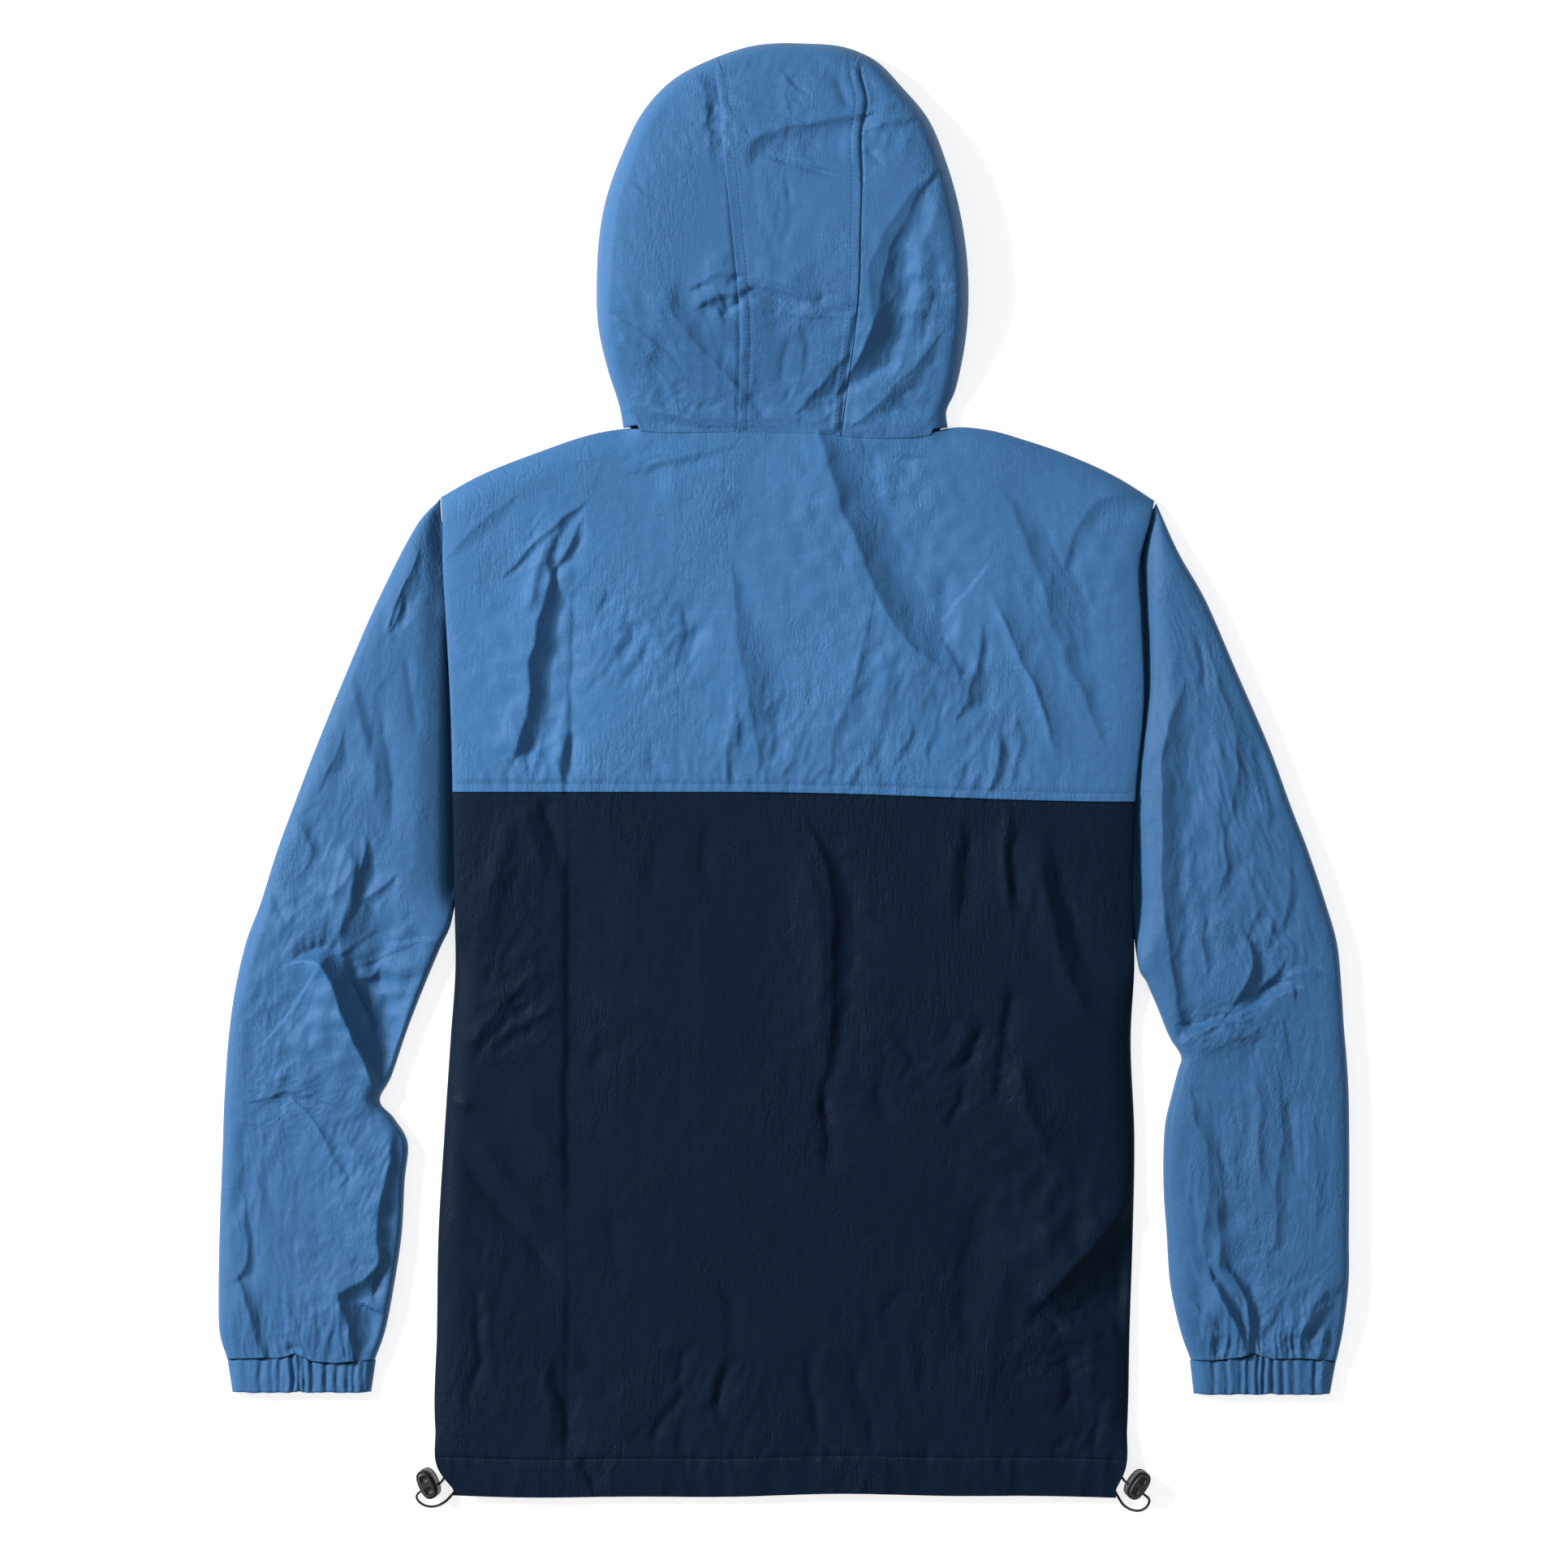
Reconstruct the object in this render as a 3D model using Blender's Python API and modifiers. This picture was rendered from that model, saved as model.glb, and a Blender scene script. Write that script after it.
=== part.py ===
"""Hooded pullover anorak, laid out flat on its front with its back upwards.

Blender 4.5. Metres, +Z up, +Y towards the hood, the surface it lies on at Z = 0.
Each sewn piece is a shell: its outer face is a grid moved to its place by a rule,
and a Solidify modifier gives it the thickness of the cloth, inwards.
"""

import math
from collections import namedtuple

import bmesh
import bpy
import numpy as np
from mathutils import Matrix, Vector

MM = 0.001

# --- driving dimensions -------------------------------------------------------------
WALL = 1.2 * MM             # cloth with its seam allowances
CUFF_WALL = 2.0 * MM        # two layers of cloth over elastic
SEAM_GAP = 0.3 * MM         # between neighbouring pieces
CURVED_GAP = 0.9 * MM       # the same at the armholes and the neck, whose facets differ
HOOD_GAP = 0.7 * MM         # between the hood's panels at the neck
CROWN_GAP = 2.1 * MM        # and at the crown, where they turn steeply
BODY_LOFT = 14.0 * MM       # height of the upper body as it lies
HEM_LOFT = 10.5 * MM        # height of the back at the hem
SLEEVE_LOFT = 17.0 * MM
CUFF_LOFT = 12.0 * MM
HOOD_LOFT = 40.0 * MM
FOLD_HEIGHT = 4.5 * MM      # height of a side fold's outermost line
BODY_ROUNDING = 20.0 * MM   # how far in from a fold the top goes on rising
SLEEVE_ROUNDING = 18.0 * MM
HOOD_ROUNDING = 48.0 * MM
ARMHOLE_HEIGHT = 11.4 * MM  # edge of the back over the sleeve
SIDE_RETURN = 26.0 * MM     # back piece round the fold, to the side seam underneath
SHOULDER_RETURN = 24.0 * MM
UNDERARM_LEFT = -106.0 * MM
UNDERARM_RIGHT = -135.0 * MM
NECK_HALF_LEFT = 110.9 * MM
NECK_HALF_RIGHT = 113.0 * MM
FRONT_NECK_Y = 165.0 * MM   # lowest point of the front neckline
FRONT_NECK_BOW = 16.0 * MM
SLIT_BOTTOM_Y = 10.0 * MM   # end of the centre front opening
SLIT_WIDTH = 0.8 * MM
HEM_CORNER_OPEN = 18.0 * MM # stretch above the hem where the side fold is open for the cord
YOKE_SEAM_Y = -14.6 * MM    # the seam under the back yoke, at the left
YOKE_SEAM_DROP = 6.7 * MM   # and how much lower it lies at the right
HEM_Y = -500.6 * MM
SIDE_EASE = 40.0 * MM       # stretch over which the side's height changes
SHOULDER_EASE = 70.0 * MM   # the same for the shoulder's return, from the neck outwards
NECK_EASE = 18.0 * MM       # the same for the shoulder fold, which runs out at the neck
NECK_MARGIN = 4.0 * MM
LOFT_RISE = 330.0 * MM      # stretch above the hem over which the back gains its height
FOLD_MARGIN = 30.0 * MM     # no main fold within this of a body edge
NECK_RETURN = 6.0 * MM      # what is left of the shoulder's return at the neck
NECK_CORNER_Y = 235.8 * MM
LEFT, RIGHT = -1, 1

BLUE = (0.060, 0.187, 0.400, 1.0)
NAVY = (0.0075, 0.0160, 0.0380, 1.0)
BLACK = (0.012, 0.013, 0.015, 1.0)

# Width of the body at each height: y, left edge, right edge (mm).
BodySection = namedtuple("BodySection", "y left right")
BODY = [
    BodySection(-496, -228.0, 229.0),
    BodySection(-485, -237.0, 234.5),
    BodySection(-454, -240.8, 236.9),
    BodySection(-387, -239.7, 238.6),
    BodySection(-320, -238.6, 240.8),
    BodySection(-252, -234.6, 241.9),
    BodySection(-185, -230.2, 239.4),
    BodySection(-135, -226.8, 241.6),
    BodySection(-85, -227.4, 240.8),
    BodySection(-20, -228.5, 242.4),
    BodySection(50, -230.4, 248.4),
    BodySection(105, -233.4, 246.6),
    BodySection(145, -235.6, 245.6),
    BodySection(172, -235.6, 252.6),
    BodySection(190, -237.0, 256.4),
]

# Top of the body from shoulder tip to shoulder tip: x, y (mm).
TopPoint = namedtuple("TopPoint", "x y")
TOP_LINE = [
    TopPoint(-237.0, 188.5),
    TopPoint(-215, 201),
    TopPoint(-174, 218),
    TopPoint(-119.3, 234.6),
    TopPoint(-110.9, 235.6),
    TopPoint(-86, 234.2),
    TopPoint(-33, 235.0),
    TopPoint(19, 234.0),
    TopPoint(74, 230.0),
    TopPoint(98, 231.8),
    TopPoint(113, 236.0),
    TopPoint(143, 234.6),
    TopPoint(164.6, 228.5),
    TopPoint(197, 217.3),
    TopPoint(232, 201),
    TopPoint(256.4, 185.5),
]

# A sleeve from shoulder to cuff: the outer fold's point, the inner edge's point (mm,
# x counted outwards from the middle), how far the head tucks under the back, whether
# the ring is closed there, and the height of the inner edge.
SleeveSection = namedtuple("SleeveSection", "outer_x outer_y inner_x inner_y tuck closed inner_z")
LEFT_SLEEVE = [
    SleeveSection(237.6, 187.4, None, 168, -0.4, 0, 7.0),
    SleeveSection(255.0, 167.0, None, 125, 3.0, 0, 9.3),
    SleeveSection(280.6, 117.0, None, 70, 5.0, 0, 9.3),
    SleeveSection(302.5, 66.6, None, 20, 5.0, 0, 9.3),
    SleeveSection(323.0, 16.2, None, -30, 5.0, 0, 9.3),
    SleeveSection(339.5, -27.0, None, -75, 4.0, 0, 9.3),
    SleeveSection(350.5, -57.0, 228.3, -103.5, 0.0, 1, 8.0),
    SleeveSection(361.5, -92.0, 237.0, -124.0, 0.0, 1, 6.0),
    SleeveSection(371.3, -118.2, 248.6, -151.8, 0.0, 1, 4.5),
    SleeveSection(379.1, -151.8, 259.5, -180.0, 0.0, 1, 4.5),
    SleeveSection(383.6, -185.4, 270.0, -211.0, 0.0, 1, 4.5),
    SleeveSection(386.0, -219.0, 278.0, -228.0, 0.0, 1, 5.5),
    SleeveSection(387.0, -240.0, 268.0, -240.5, 0.0, 1, 5.0),
    SleeveSection(387.5, -258.0, 258.8, -257.5, 0.0, 1, 4.5),
    SleeveSection(388.6, -286.0, 261.0, -284.0, 0.0, 1, 4.5),
    SleeveSection(389.8, -320.0, 263.0, -320.0, 0.0, 1, 4.5),
    SleeveSection(390.4, -354.0, 268.5, -357.0, 0.0, 1, 4.5),
    SleeveSection(389.8, -387.0, 274.4, -387.0, 0.0, 1, 4.5),
    SleeveSection(384.6, -406.0, 281.4, -406.0, 0.0, 1, 4.5),
]
RIGHT_SLEEVE = [
    SleeveSection(257.0, 184.2, None, 165, -0.4, 0, 7.0),
    SleeveSection(272.2, 150.6, None, 110, 3.0, 0, 9.3),
    SleeveSection(291.2, 117.0, None, 65, 5.0, 0, 9.3),
    SleeveSection(312.5, 68.0, None, 15, 5.0, 0, 9.3),
    SleeveSection(334.9, 16.2, None, -35, 5.0, 0, 9.3),
    SleeveSection(350.0, -25.0, None, -85, 4.0, 0, 9.3),
    SleeveSection(362.0, -56.0, 243.0, -132.0, 0.0, 1, 8.0),
    SleeveSection(374.0, -92.0, 249.6, -147.0, 0.0, 1, 6.0),
    SleeveSection(381.9, -120.0, 256.5, -163.0, 0.0, 1, 4.5),
    SleeveSection(385.0, -152.0, 265.0, -184.0, 0.0, 1, 4.5),
    SleeveSection(386.5, -176.0, 273.0, -197.5, 0.0, 1, 5.5),
    SleeveSection(388.5, -200.0, 270.8, -208.0, 0.0, 1, 5.0),
    SleeveSection(389.8, -222.0, 267.0, -223.0, 0.0, 1, 4.5),
    SleeveSection(390.2, -247.0, 261.8, -247.5, 0.0, 1, 4.5),
    SleeveSection(390.3, -286.0, 261.0, -286.0, 0.0, 1, 4.5),
    SleeveSection(390.0, -320.0, 263.2, -320.0, 0.0, 1, 4.5),
    SleeveSection(389.8, -354.0, 265.7, -355.0, 0.0, 1, 4.5),
    SleeveSection(385.8, -387.0, 272.7, -387.0, 0.0, 1, 4.5),
    SleeveSection(381.4, -406.6, 279.8, -406.6, 0.0, 1, 4.5),
]

# Cuffs: side, outer and inner edge at the sleeve and at the end, in mm from the middle.
CuffShape = namedtuple("CuffShape", "name side outer_top inner_top outer_end inner_end y_top y_end")
CUFFS = [
    CuffShape("cuff_left", LEFT, 384.3, 281.7, 380.8, 285.0, -406.4, -429.2),
    CuffShape("cuff_right", RIGHT, 381.1, 280.1, 376.9, 282.8, -407.0, -430.6),
]
CUFF_GATHERS = 15           # ridges across the top of a cuff
CUFF_GATHER_HEIGHT = 1.0 * MM
CUFF_ROUNDING = 11.0 * MM
GATHER_MARGIN = 6.0 * MM    # the ridges run out this near to a cuff's edges

# Hood outline from the left neck corner over the crown to the right one: x, y (mm).
OutlinePoint = namedtuple("OutlinePoint", "x y")
HOOD_OUTLINE = [
    OutlinePoint(-110.9, 236.2),
    OutlinePoint(-113.6, 251),
    OutlinePoint(-121.0, 274),
    OutlinePoint(-128.4, 307),
    OutlinePoint(-129.4, 338),
    OutlinePoint(-123.8, 391),
    OutlinePoint(-110.9, 428),
    OutlinePoint(-98.6, 453),
    OutlinePoint(-79.0, 475),
    OutlinePoint(-48.7, 491.5),
    OutlinePoint(-20.0, 500.4),
    OutlinePoint(12.0, 501.8),
    OutlinePoint(45.9, 498.0),
    OutlinePoint(63.0, 490),
    OutlinePoint(82.0, 471),
    OutlinePoint(98.0, 452),
    OutlinePoint(113.1, 416.6),
    OutlinePoint(122.6, 380),
    OutlinePoint(127.3, 338),
    OutlinePoint(126.9, 312),
    OutlinePoint(122.5, 280),
    OutlinePoint(117.5, 260),
    OutlinePoint(112.0, 247),
    OutlinePoint(113.0, 236.6),
]
# The two long hood seams, from the neck to the crown: y, left seam, right seam (mm).
HoodSeam = namedtuple("HoodSeam", "y left right")
HOOD_SEAMS = [
    HoodSeam(234.5, -32.5, 38.6),
    HoodSeam(274, -30.8, 42.6),
    HoodSeam(304, -30.0, 47.6),
    HoodSeam(333, -31.6, 51.0),
    HoodSeam(370, -35.5, 52.1),
    HoodSeam(407, -39.6, 53.0),
    HoodSeam(438, -42.4, 52.4),
    HoodSeam(461, -44.2, 56.0),
    HoodSeam(478, -46.6, 52.0),
]
HOOD_SEAM_TOP = 478.0 * MM
# Edge of the face opening underneath, from the centre front to the crown: x, y (mm).
FaceEdge = namedtuple("FaceEdge", "x y")
FACE_EDGE = [
    FaceEdge(2.0, 165),
    FaceEdge(34, 196),
    FaceEdge(60, 244),
    FaceEdge(70, 300),
    FaceEdge(71, 352),
    FaceEdge(66, 400),
    FaceEdge(46, 440),
]
FACE_EDGE_CROWN_Y = 446.0 * MM

# Main folds: a soft trough (depth above 0) or ridge (below 0) along a line, in mm.
Fold = namedtuple("Fold", "x0 y0 x1 y1 width depth")
BODY_FOLDS = [
    Fold(-142, 172, -158, 158, 11, 3.0),
    Fold(-154, 145, -172, 60, 13, 2.6),
    Fold(-172, 60, -181, 5, 12, 2.2),
    Fold(36, 205, 62, 130, 16, 2.6),
    Fold(62, 130, 122, 72, 15, 2.4),
    Fold(-30, 115, -20, 65, 13, 2.0),
    Fold(-22, 62, -34, 0, 12, 1.8),
    Fold(150, 120, 182, 5, 12, 2.4),
    Fold(30, -60, 32, -305, 13, 2.2),
    Fold(-147, -20, -147, -470, 14, 1.4),
    Fold(238, -292, 190, -360, 15, 2.8),
    Fold(190, -360, 172, -385, 14, 2.0),
    Fold(-236, -228, -190, -262, 13, 1.8),
]
HOOD_FOLDS = [
    Fold(-52, 336, -20, 338, 9, 3.0),
    Fold(-20, 338, 43, 318, 9, 3.2),
    Fold(98, 404, 72, 340, 15, 5.0),
    Fold(72, 340, 52, 280, 14, 4.5),
    Fold(94, 268, 56, 236, 12, 3.5),
    Fold(-84, 340, -48, 278, 13, 2.5),
    Fold(-20, 434, 42, 446, 14, 2.5),
]
SLEEVE_FOLDS = {
    LEFT: [
        Fold(-334, -136, -318, -160, 10, 3.0),
        Fold(-318, -160, -284, -222, 11, 5.0),
        Fold(-335, -232, -308, -272, 11, 2.5),
        Fold(-279, -340, -307, -360, 10, 3.0),
        Fold(-307, -360, -298, -390, 9, 2.5),
        Fold(-378, -348, -366, -388, 9, 2.0),
    ],
    RIGHT: [
        Fold(277, -196, 316, -170, 11, 4.5),
        Fold(316, -170, 352, -154, 10, 3.0),
        Fold(283, -236, 300, -300, 9, 2.2),
        Fold(300, -300, 320, -380, 9, 2.6),
        Fold(388, -358, 354, -390, 9, 2.4),
    ],
}

# Cord lock: an oval barrel with a sprung plunger in it, standing beside each hem corner.
LOCK_LENGTH = 21.0 * MM
LOCK_BREADTH = 12.4 * MM
LOCK_ROUNDNESS = 2.6        # exponent of the oval: 2 is an ellipse
LOCK_SEGMENTS = 28
HOLE_SEGMENTS = 14
BARREL_HEIGHT = 13.5 * MM
BARREL_WALL = 1.5 * MM
BARREL_FLOOR = 1.6 * MM
PLUNGER_CLEARANCE = 0.25 * MM
PLUNGER_BOTTOM = 5.0 * MM
PLUNGER_TOP = 17.0 * MM
PLUNGER_TRAVEL = 3.0 * MM
POCKET_DEPTH = 2.0 * MM
POCKET_LENGTH = 4.6 * MM
POCKET_BREADTH = 4.8 * MM
POCKET_OFFSET = 4.2 * MM
CORD_DIAMETER = 1.8 * MM
CORD_CLEARANCE = 0.4 * MM
SLOT_CLEARANCE = 0.3 * MM
CUT_PAST = 5.0 * MM         # how far a cutter runs past the face it opens
CORD_HEIGHT = 8.0 * MM      # of the cord's hole over the lock's base
HOLE_OFFSET = 3.2 * MM      # of the cord's hole along the lock's length
LOCK_TILT = math.radians(8)
# Base centre (mm), the way its length points, and the flank that the loop enters: -1 or 1.
LockPlace = namedtuple("LockPlace", "name x y turn flank")
LOCKS = [
    LockPlace("left", -244.4, -491.6, math.radians(-66), -1),
    LockPlace("right", 242.9, -492.2, math.radians(-124), 1),
]
# Cord from inside the hem's corner, round its loop and up to the lock: x, y, z (mm).
CordPoint = namedtuple("CordPoint", "x y z")
CORD_LOOPS = {
    "left": [
        CordPoint(-219.0, -489.0, 3.4),
        CordPoint(-225.5, -495.5, 2.8),
        CordPoint(-230.0, -501.2, 1.6),
        CordPoint(-234.6, -505.6, 1.0),
        CordPoint(-240.2, -508.2, 0.95),
        CordPoint(-246.0, -508.4, 1.0),
        CordPoint(-251.0, -506.2, 1.7),
        CordPoint(-253.6, -502.4, 3.6),
    ],
    "right": [
        CordPoint(221.0, -489.5, 3.4),
        CordPoint(227.0, -495.5, 2.8),
        CordPoint(231.2, -502.6, 1.6),
        CordPoint(235.0, -508.0, 1.0),
        CordPoint(240.6, -511.0, 0.95),
        CordPoint(246.4, -511.2, 1.1),
        CordPoint(250.9, -508.2, 2.2),
        CordPoint(252.2, -503.9, 4.4),
    ],
}
CORD_STUB = 2.4 * MM        # straight stretch on each side of the lock's hole
# Cord from the lock back under the hem's corner: x, y, z (mm).
CORD_TAILS = {
    "left": [CordPoint(-231.5, -484.5, 5.6), CordPoint(-224.5, -482.0, 4.2)],
    "right": [CordPoint(229.6, -484.0, 5.8), CordPoint(222.5, -481.5, 4.2)],
}
CORD_STATIONS = (1.0, 0.35, -0.35, -0.8)    # points of the cord through the lock, from side to side
CORD_POINTS = 32


# --- small helpers ------------------------------------------------------------------
def soft_curve(at, knots, values):
    """Values of a soft curve through the knots, read at one place or an array of them."""
    knots = np.asarray(knots, float)
    values = np.asarray(values, float)
    slopes = np.gradient(values, knots, axis=0)
    at = np.clip(np.asarray(at, float), knots[0], knots[-1])
    k = np.clip(np.searchsorted(knots, at) - 1, 0, len(knots) - 2)
    span = knots[k + 1] - knots[k]
    t = (at - knots[k]) / span
    if values.ndim > 1:
        t = t[..., None]
        span = span[..., None]
    start = (1 + 2 * t) * (1 - t) ** 2 * values[k] + t * (1 - t) ** 2 * span * slopes[k]
    end = t * t * (3 - 2 * t) * values[k + 1] + t * t * (t - 1) * span * slopes[k + 1]
    return start + end


def path_through(points, count):
    """Count points, evenly spaced, on a soft path through the given ones."""
    points = np.asarray(points, float)
    steps = np.linalg.norm(np.diff(points, axis=0), axis=1)
    knots = np.concatenate([[0], np.cumsum(steps)])
    return soft_curve(np.linspace(0, knots[-1], count), knots, points)


def rounding(distance, reach):
    """0 at a folded edge and 1 from reach inwards, as a quarter circle rises."""
    t = 1 - np.clip(np.asarray(distance, float) / reach, 0, 1)
    return np.sqrt(np.clip(1 - t * t, 0, 1))


def ease(t):
    """0 to 1 with level ends."""
    t = np.clip(t, 0, 1)
    return t * t * (3 - 2 * t)


def mix(a, b, t):
    return a + (b - a) * t


def fold_depth(x, y, folds):
    """How far the folds press the cloth down at a point."""
    total = 0.0
    for fold in folds:
        start = np.array([fold.x0, fold.y0]) * MM
        along = np.array([fold.x1, fold.y1]) * MM - start
        t = np.clip(((x - start[0]) * along[0] + (y - start[1]) * along[1]) / (along @ along), 0, 1)
        away = np.hypot(x - start[0] - along[0] * t, y - start[1] - along[1] * t)
        total = total + fold.depth * MM * np.exp(-((away / (fold.width * MM)) ** 2))
    return total


# --- the body's form ----------------------------------------------------------------
def body_left(y):
    return soft_curve(y, [s.y * MM for s in BODY], [s.left * MM for s in BODY])


def body_right(y):
    return soft_curve(y, [s.y * MM for s in BODY], [s.right * MM for s in BODY])


def top_line(x):
    return soft_curve(x, [p.x * MM for p in TOP_LINE], [p.y * MM for p in TOP_LINE])


def yoke_seam(x):
    """The seam under the back yoke, a little lower on the right."""
    middle, reach = -30 * MM, 270 * MM
    return YOKE_SEAM_Y - YOKE_SEAM_DROP * ease((x - middle) / reach)


def hem_line(x):
    """The hem's edge, a little uneven."""
    long_wave = 1.0 * MM * np.sin(x / (58 * MM) + 0.6)
    short_wave = 0.5 * MM * np.sin(x / (23 * MM))
    return HEM_Y + long_wave + short_wave


def side_height(y, underarm):
    """Height of the side's outermost line: raised at the armhole and the hem, a low fold between."""
    below_armhole = ease((underarm - y) / SIDE_EASE)
    above_hem = ease((y - HEM_Y - HEM_CORNER_OPEN) / SIDE_EASE)
    return mix(ARMHOLE_HEIGHT, FOLD_HEIGHT, below_armhole * above_hem)


def body_top(x, y):
    """Height of the back's outer face."""
    loft = mix(HEM_LOFT, BODY_LOFT, ease((y - HEM_Y) / LOFT_RISE))
    from_left = x - body_left(y)
    from_right = body_right(y) - x
    low_left = side_height(y, UNDERARM_LEFT)
    low_right = side_height(y, UNDERARM_RIGHT)
    left_part = rounding(from_left, BODY_ROUNDING)
    right_part = rounding(from_right, BODY_ROUNDING)
    height = loft - (loft - low_left) * (1 - left_part) - (loft - low_right) * (1 - right_part)
    neck = ease((x + NECK_HALF_LEFT + NECK_MARGIN) / NECK_EASE)
    neck = neck * ease((NECK_HALF_RIGHT + NECK_MARGIN - x) / NECK_EASE)
    shoulder = mix(rounding(top_line(x) - y, BODY_ROUNDING), 1.0, neck)
    inside = ease(np.minimum(from_left, from_right) / FOLD_MARGIN) * ease((top_line(x) - y) / FOLD_MARGIN)
    height = FOLD_HEIGHT + (height - FOLD_HEIGHT) * shoulder
    return height - fold_depth(x, y, BODY_FOLDS) * inside


def shoulder_return(x):
    """Length of the back piece round the shoulder fold; it runs out at the neck."""
    from_neck = np.where(x < 0, -NECK_HALF_LEFT - x, x - NECK_HALF_RIGHT)
    return mix(NECK_RETURN, SHOULDER_RETURN, ease(from_neck / SHOULDER_EASE))


def fold_inset(turn):
    """How far in the quarter round under a fold has come: turn is 0 at its outermost line, 1 on the floor."""
    return FOLD_HEIGHT * (1 - math.cos(turn * math.pi / 2))


def fold_drop(turn):
    """What is left of the fold's height at that turn."""
    return 1 - math.sin(turn * math.pi / 2)


# --- making meshes --------------------------------------------------------------------
def new_material(name, colour, roughness, metallic=0.0):
    material = bpy.data.materials.new(name)
    material.use_nodes = True
    shader = material.node_tree.nodes["Principled BSDF"]
    shader.inputs["Base Color"].default_value = colour
    shader.inputs["Roughness"].default_value = roughness
    shader.inputs["Metallic"].default_value = metallic
    return material


def finished(bm, name, material, collection, smooth=True):
    mesh = bpy.data.meshes.new(name)
    bm.to_mesh(mesh)
    bm.free()
    if smooth:
        mesh.shade_smooth()
    mesh.materials.append(material)
    obj = bpy.data.objects.new(name, mesh)
    collection.objects.link(obj)
    return obj


def cloth_piece(name, points, material, collection, wall=WALL, keep=None, ring=False):
    """A shell whose outer face is the grid points[row, column].

    keep says which cells it has. A ring's first and last columns are joined where they meet.
    """
    rows, columns = points.shape[:2]
    bm = bmesh.new()
    bmesh.ops.create_grid(bm, x_segments=columns - 1, y_segments=rows - 1, size=0.5)
    for vert in bm.verts:
        column = round((vert.co.x + 0.5) * (columns - 1))
        row = round((vert.co.y + 0.5) * (rows - 1))
        vert.co.z = row * columns + column
    if keep is not None:
        dropped = []
        for face in bm.faces:
            number = int(round(min(vert.co.z for vert in face.verts)))
            if not keep[number // columns, number % columns]:
                dropped.append(face)
        bmesh.ops.delete(bm, geom=dropped, context="FACES")
    flat = points.reshape(-1, 3)
    for vert in bm.verts:
        vert.co = Vector(flat[int(round(vert.co.z))])
    if ring:
        bmesh.ops.remove_doubles(bm, verts=bm.verts, dist=0.02 * MM)
    obj = finished(bm, name, material, collection)
    shell = obj.modifiers.new("Cloth thickness", "SOLIDIFY")
    shell.thickness = wall
    shell.offset = -1
    shell.use_even_offset = True
    return obj


def spread(start, end, cells):
    """Cells + 1 evenly spaced values without the first and the last."""
    return list(np.linspace(start, end, cells + 1)[1:-1])


# --- back -----------------------------------------------------------------------------
EDGE_STEPS = [0.0, 1.3 * MM, 5.0 * MM, 12.0 * MM]
FOLD_TURNS = [0.45, 1.0]
INNER_STEP = EDGE_STEPS[-1]
NECK_COLUMNS = (0.243, 0.720)   # where the neck's corners fall across the back
UNDERARM_ROWS = (0.762, 0.812)  # where the right and the left underarm fall up the lower back
UNDERARM_STEP = 0.0008          # seam gap there, in the same measure
TOP_KINDS = ("left", "across", "right")


def back_columns():
    """Each column of the back as (kind, value), from under its left fold to under its right one."""
    first, second = NECK_COLUMNS
    fractions = spread(0, first, 5) + [first] + spread(first, second, 10)
    fractions += [second] + spread(second, 1, 6)
    columns = [("left return", 0)]
    columns += [("left under", turn) for turn in reversed(FOLD_TURNS)]
    columns += [("left", step) for step in EDGE_STEPS]
    columns += [("across", fraction) for fraction in fractions]
    columns += [("right", step) for step in reversed(EDGE_STEPS)]
    columns += [("right under", turn) for turn in FOLD_TURNS]
    columns += [("right return", 0)]
    return columns


def edge_y(line, edge):
    """Height at which a line across the body meets its left or right edge."""
    y = 0.0
    for _ in range(6):
        y = float(line(edge(y)))
    return y


def back_row(line):
    """Points of the back, from fold to fold, along a line y(x) across it."""
    y_left = edge_y(line, body_left)
    y_right = edge_y(line, body_right)
    left = float(body_left(y_left))
    right = float(body_right(y_right))
    low_left = float(side_height(y_left, UNDERARM_LEFT))
    low_right = float(side_height(y_right, UNDERARM_RIGHT))
    points = []
    for kind, value in back_columns():
        z = 0.0
        if kind == "left":
            x = left + value
        elif kind == "right":
            x = right - value
        elif kind == "across":
            x = mix(left + INNER_STEP, right - INNER_STEP, value)
        elif kind == "left under":
            x = left + fold_inset(value)
            z = low_left * fold_drop(value)
        elif kind == "right under":
            x = right - fold_inset(value)
            z = low_right * fold_drop(value)
        elif kind == "left return":
            x = left + SIDE_RETURN
        else:
            x = right - SIDE_RETURN
        y = float(line(x))
        if kind in TOP_KINDS:
            z = float(body_top(x, y))
        points.append((x, y, z))
    return points


def over_shoulder(top_row, below, z):
    """The shoulder's points carried under its fold, kept inside the body's edges."""
    points = []
    for (x, y, _), distance, (kind, value) in zip(top_row, below, back_columns()):
        y -= distance
        if kind == "left":
            x = float(body_left(y)) + value
        elif kind == "right":
            x = float(body_right(y)) - value
        points.append((x, y, z))
    return points


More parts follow.
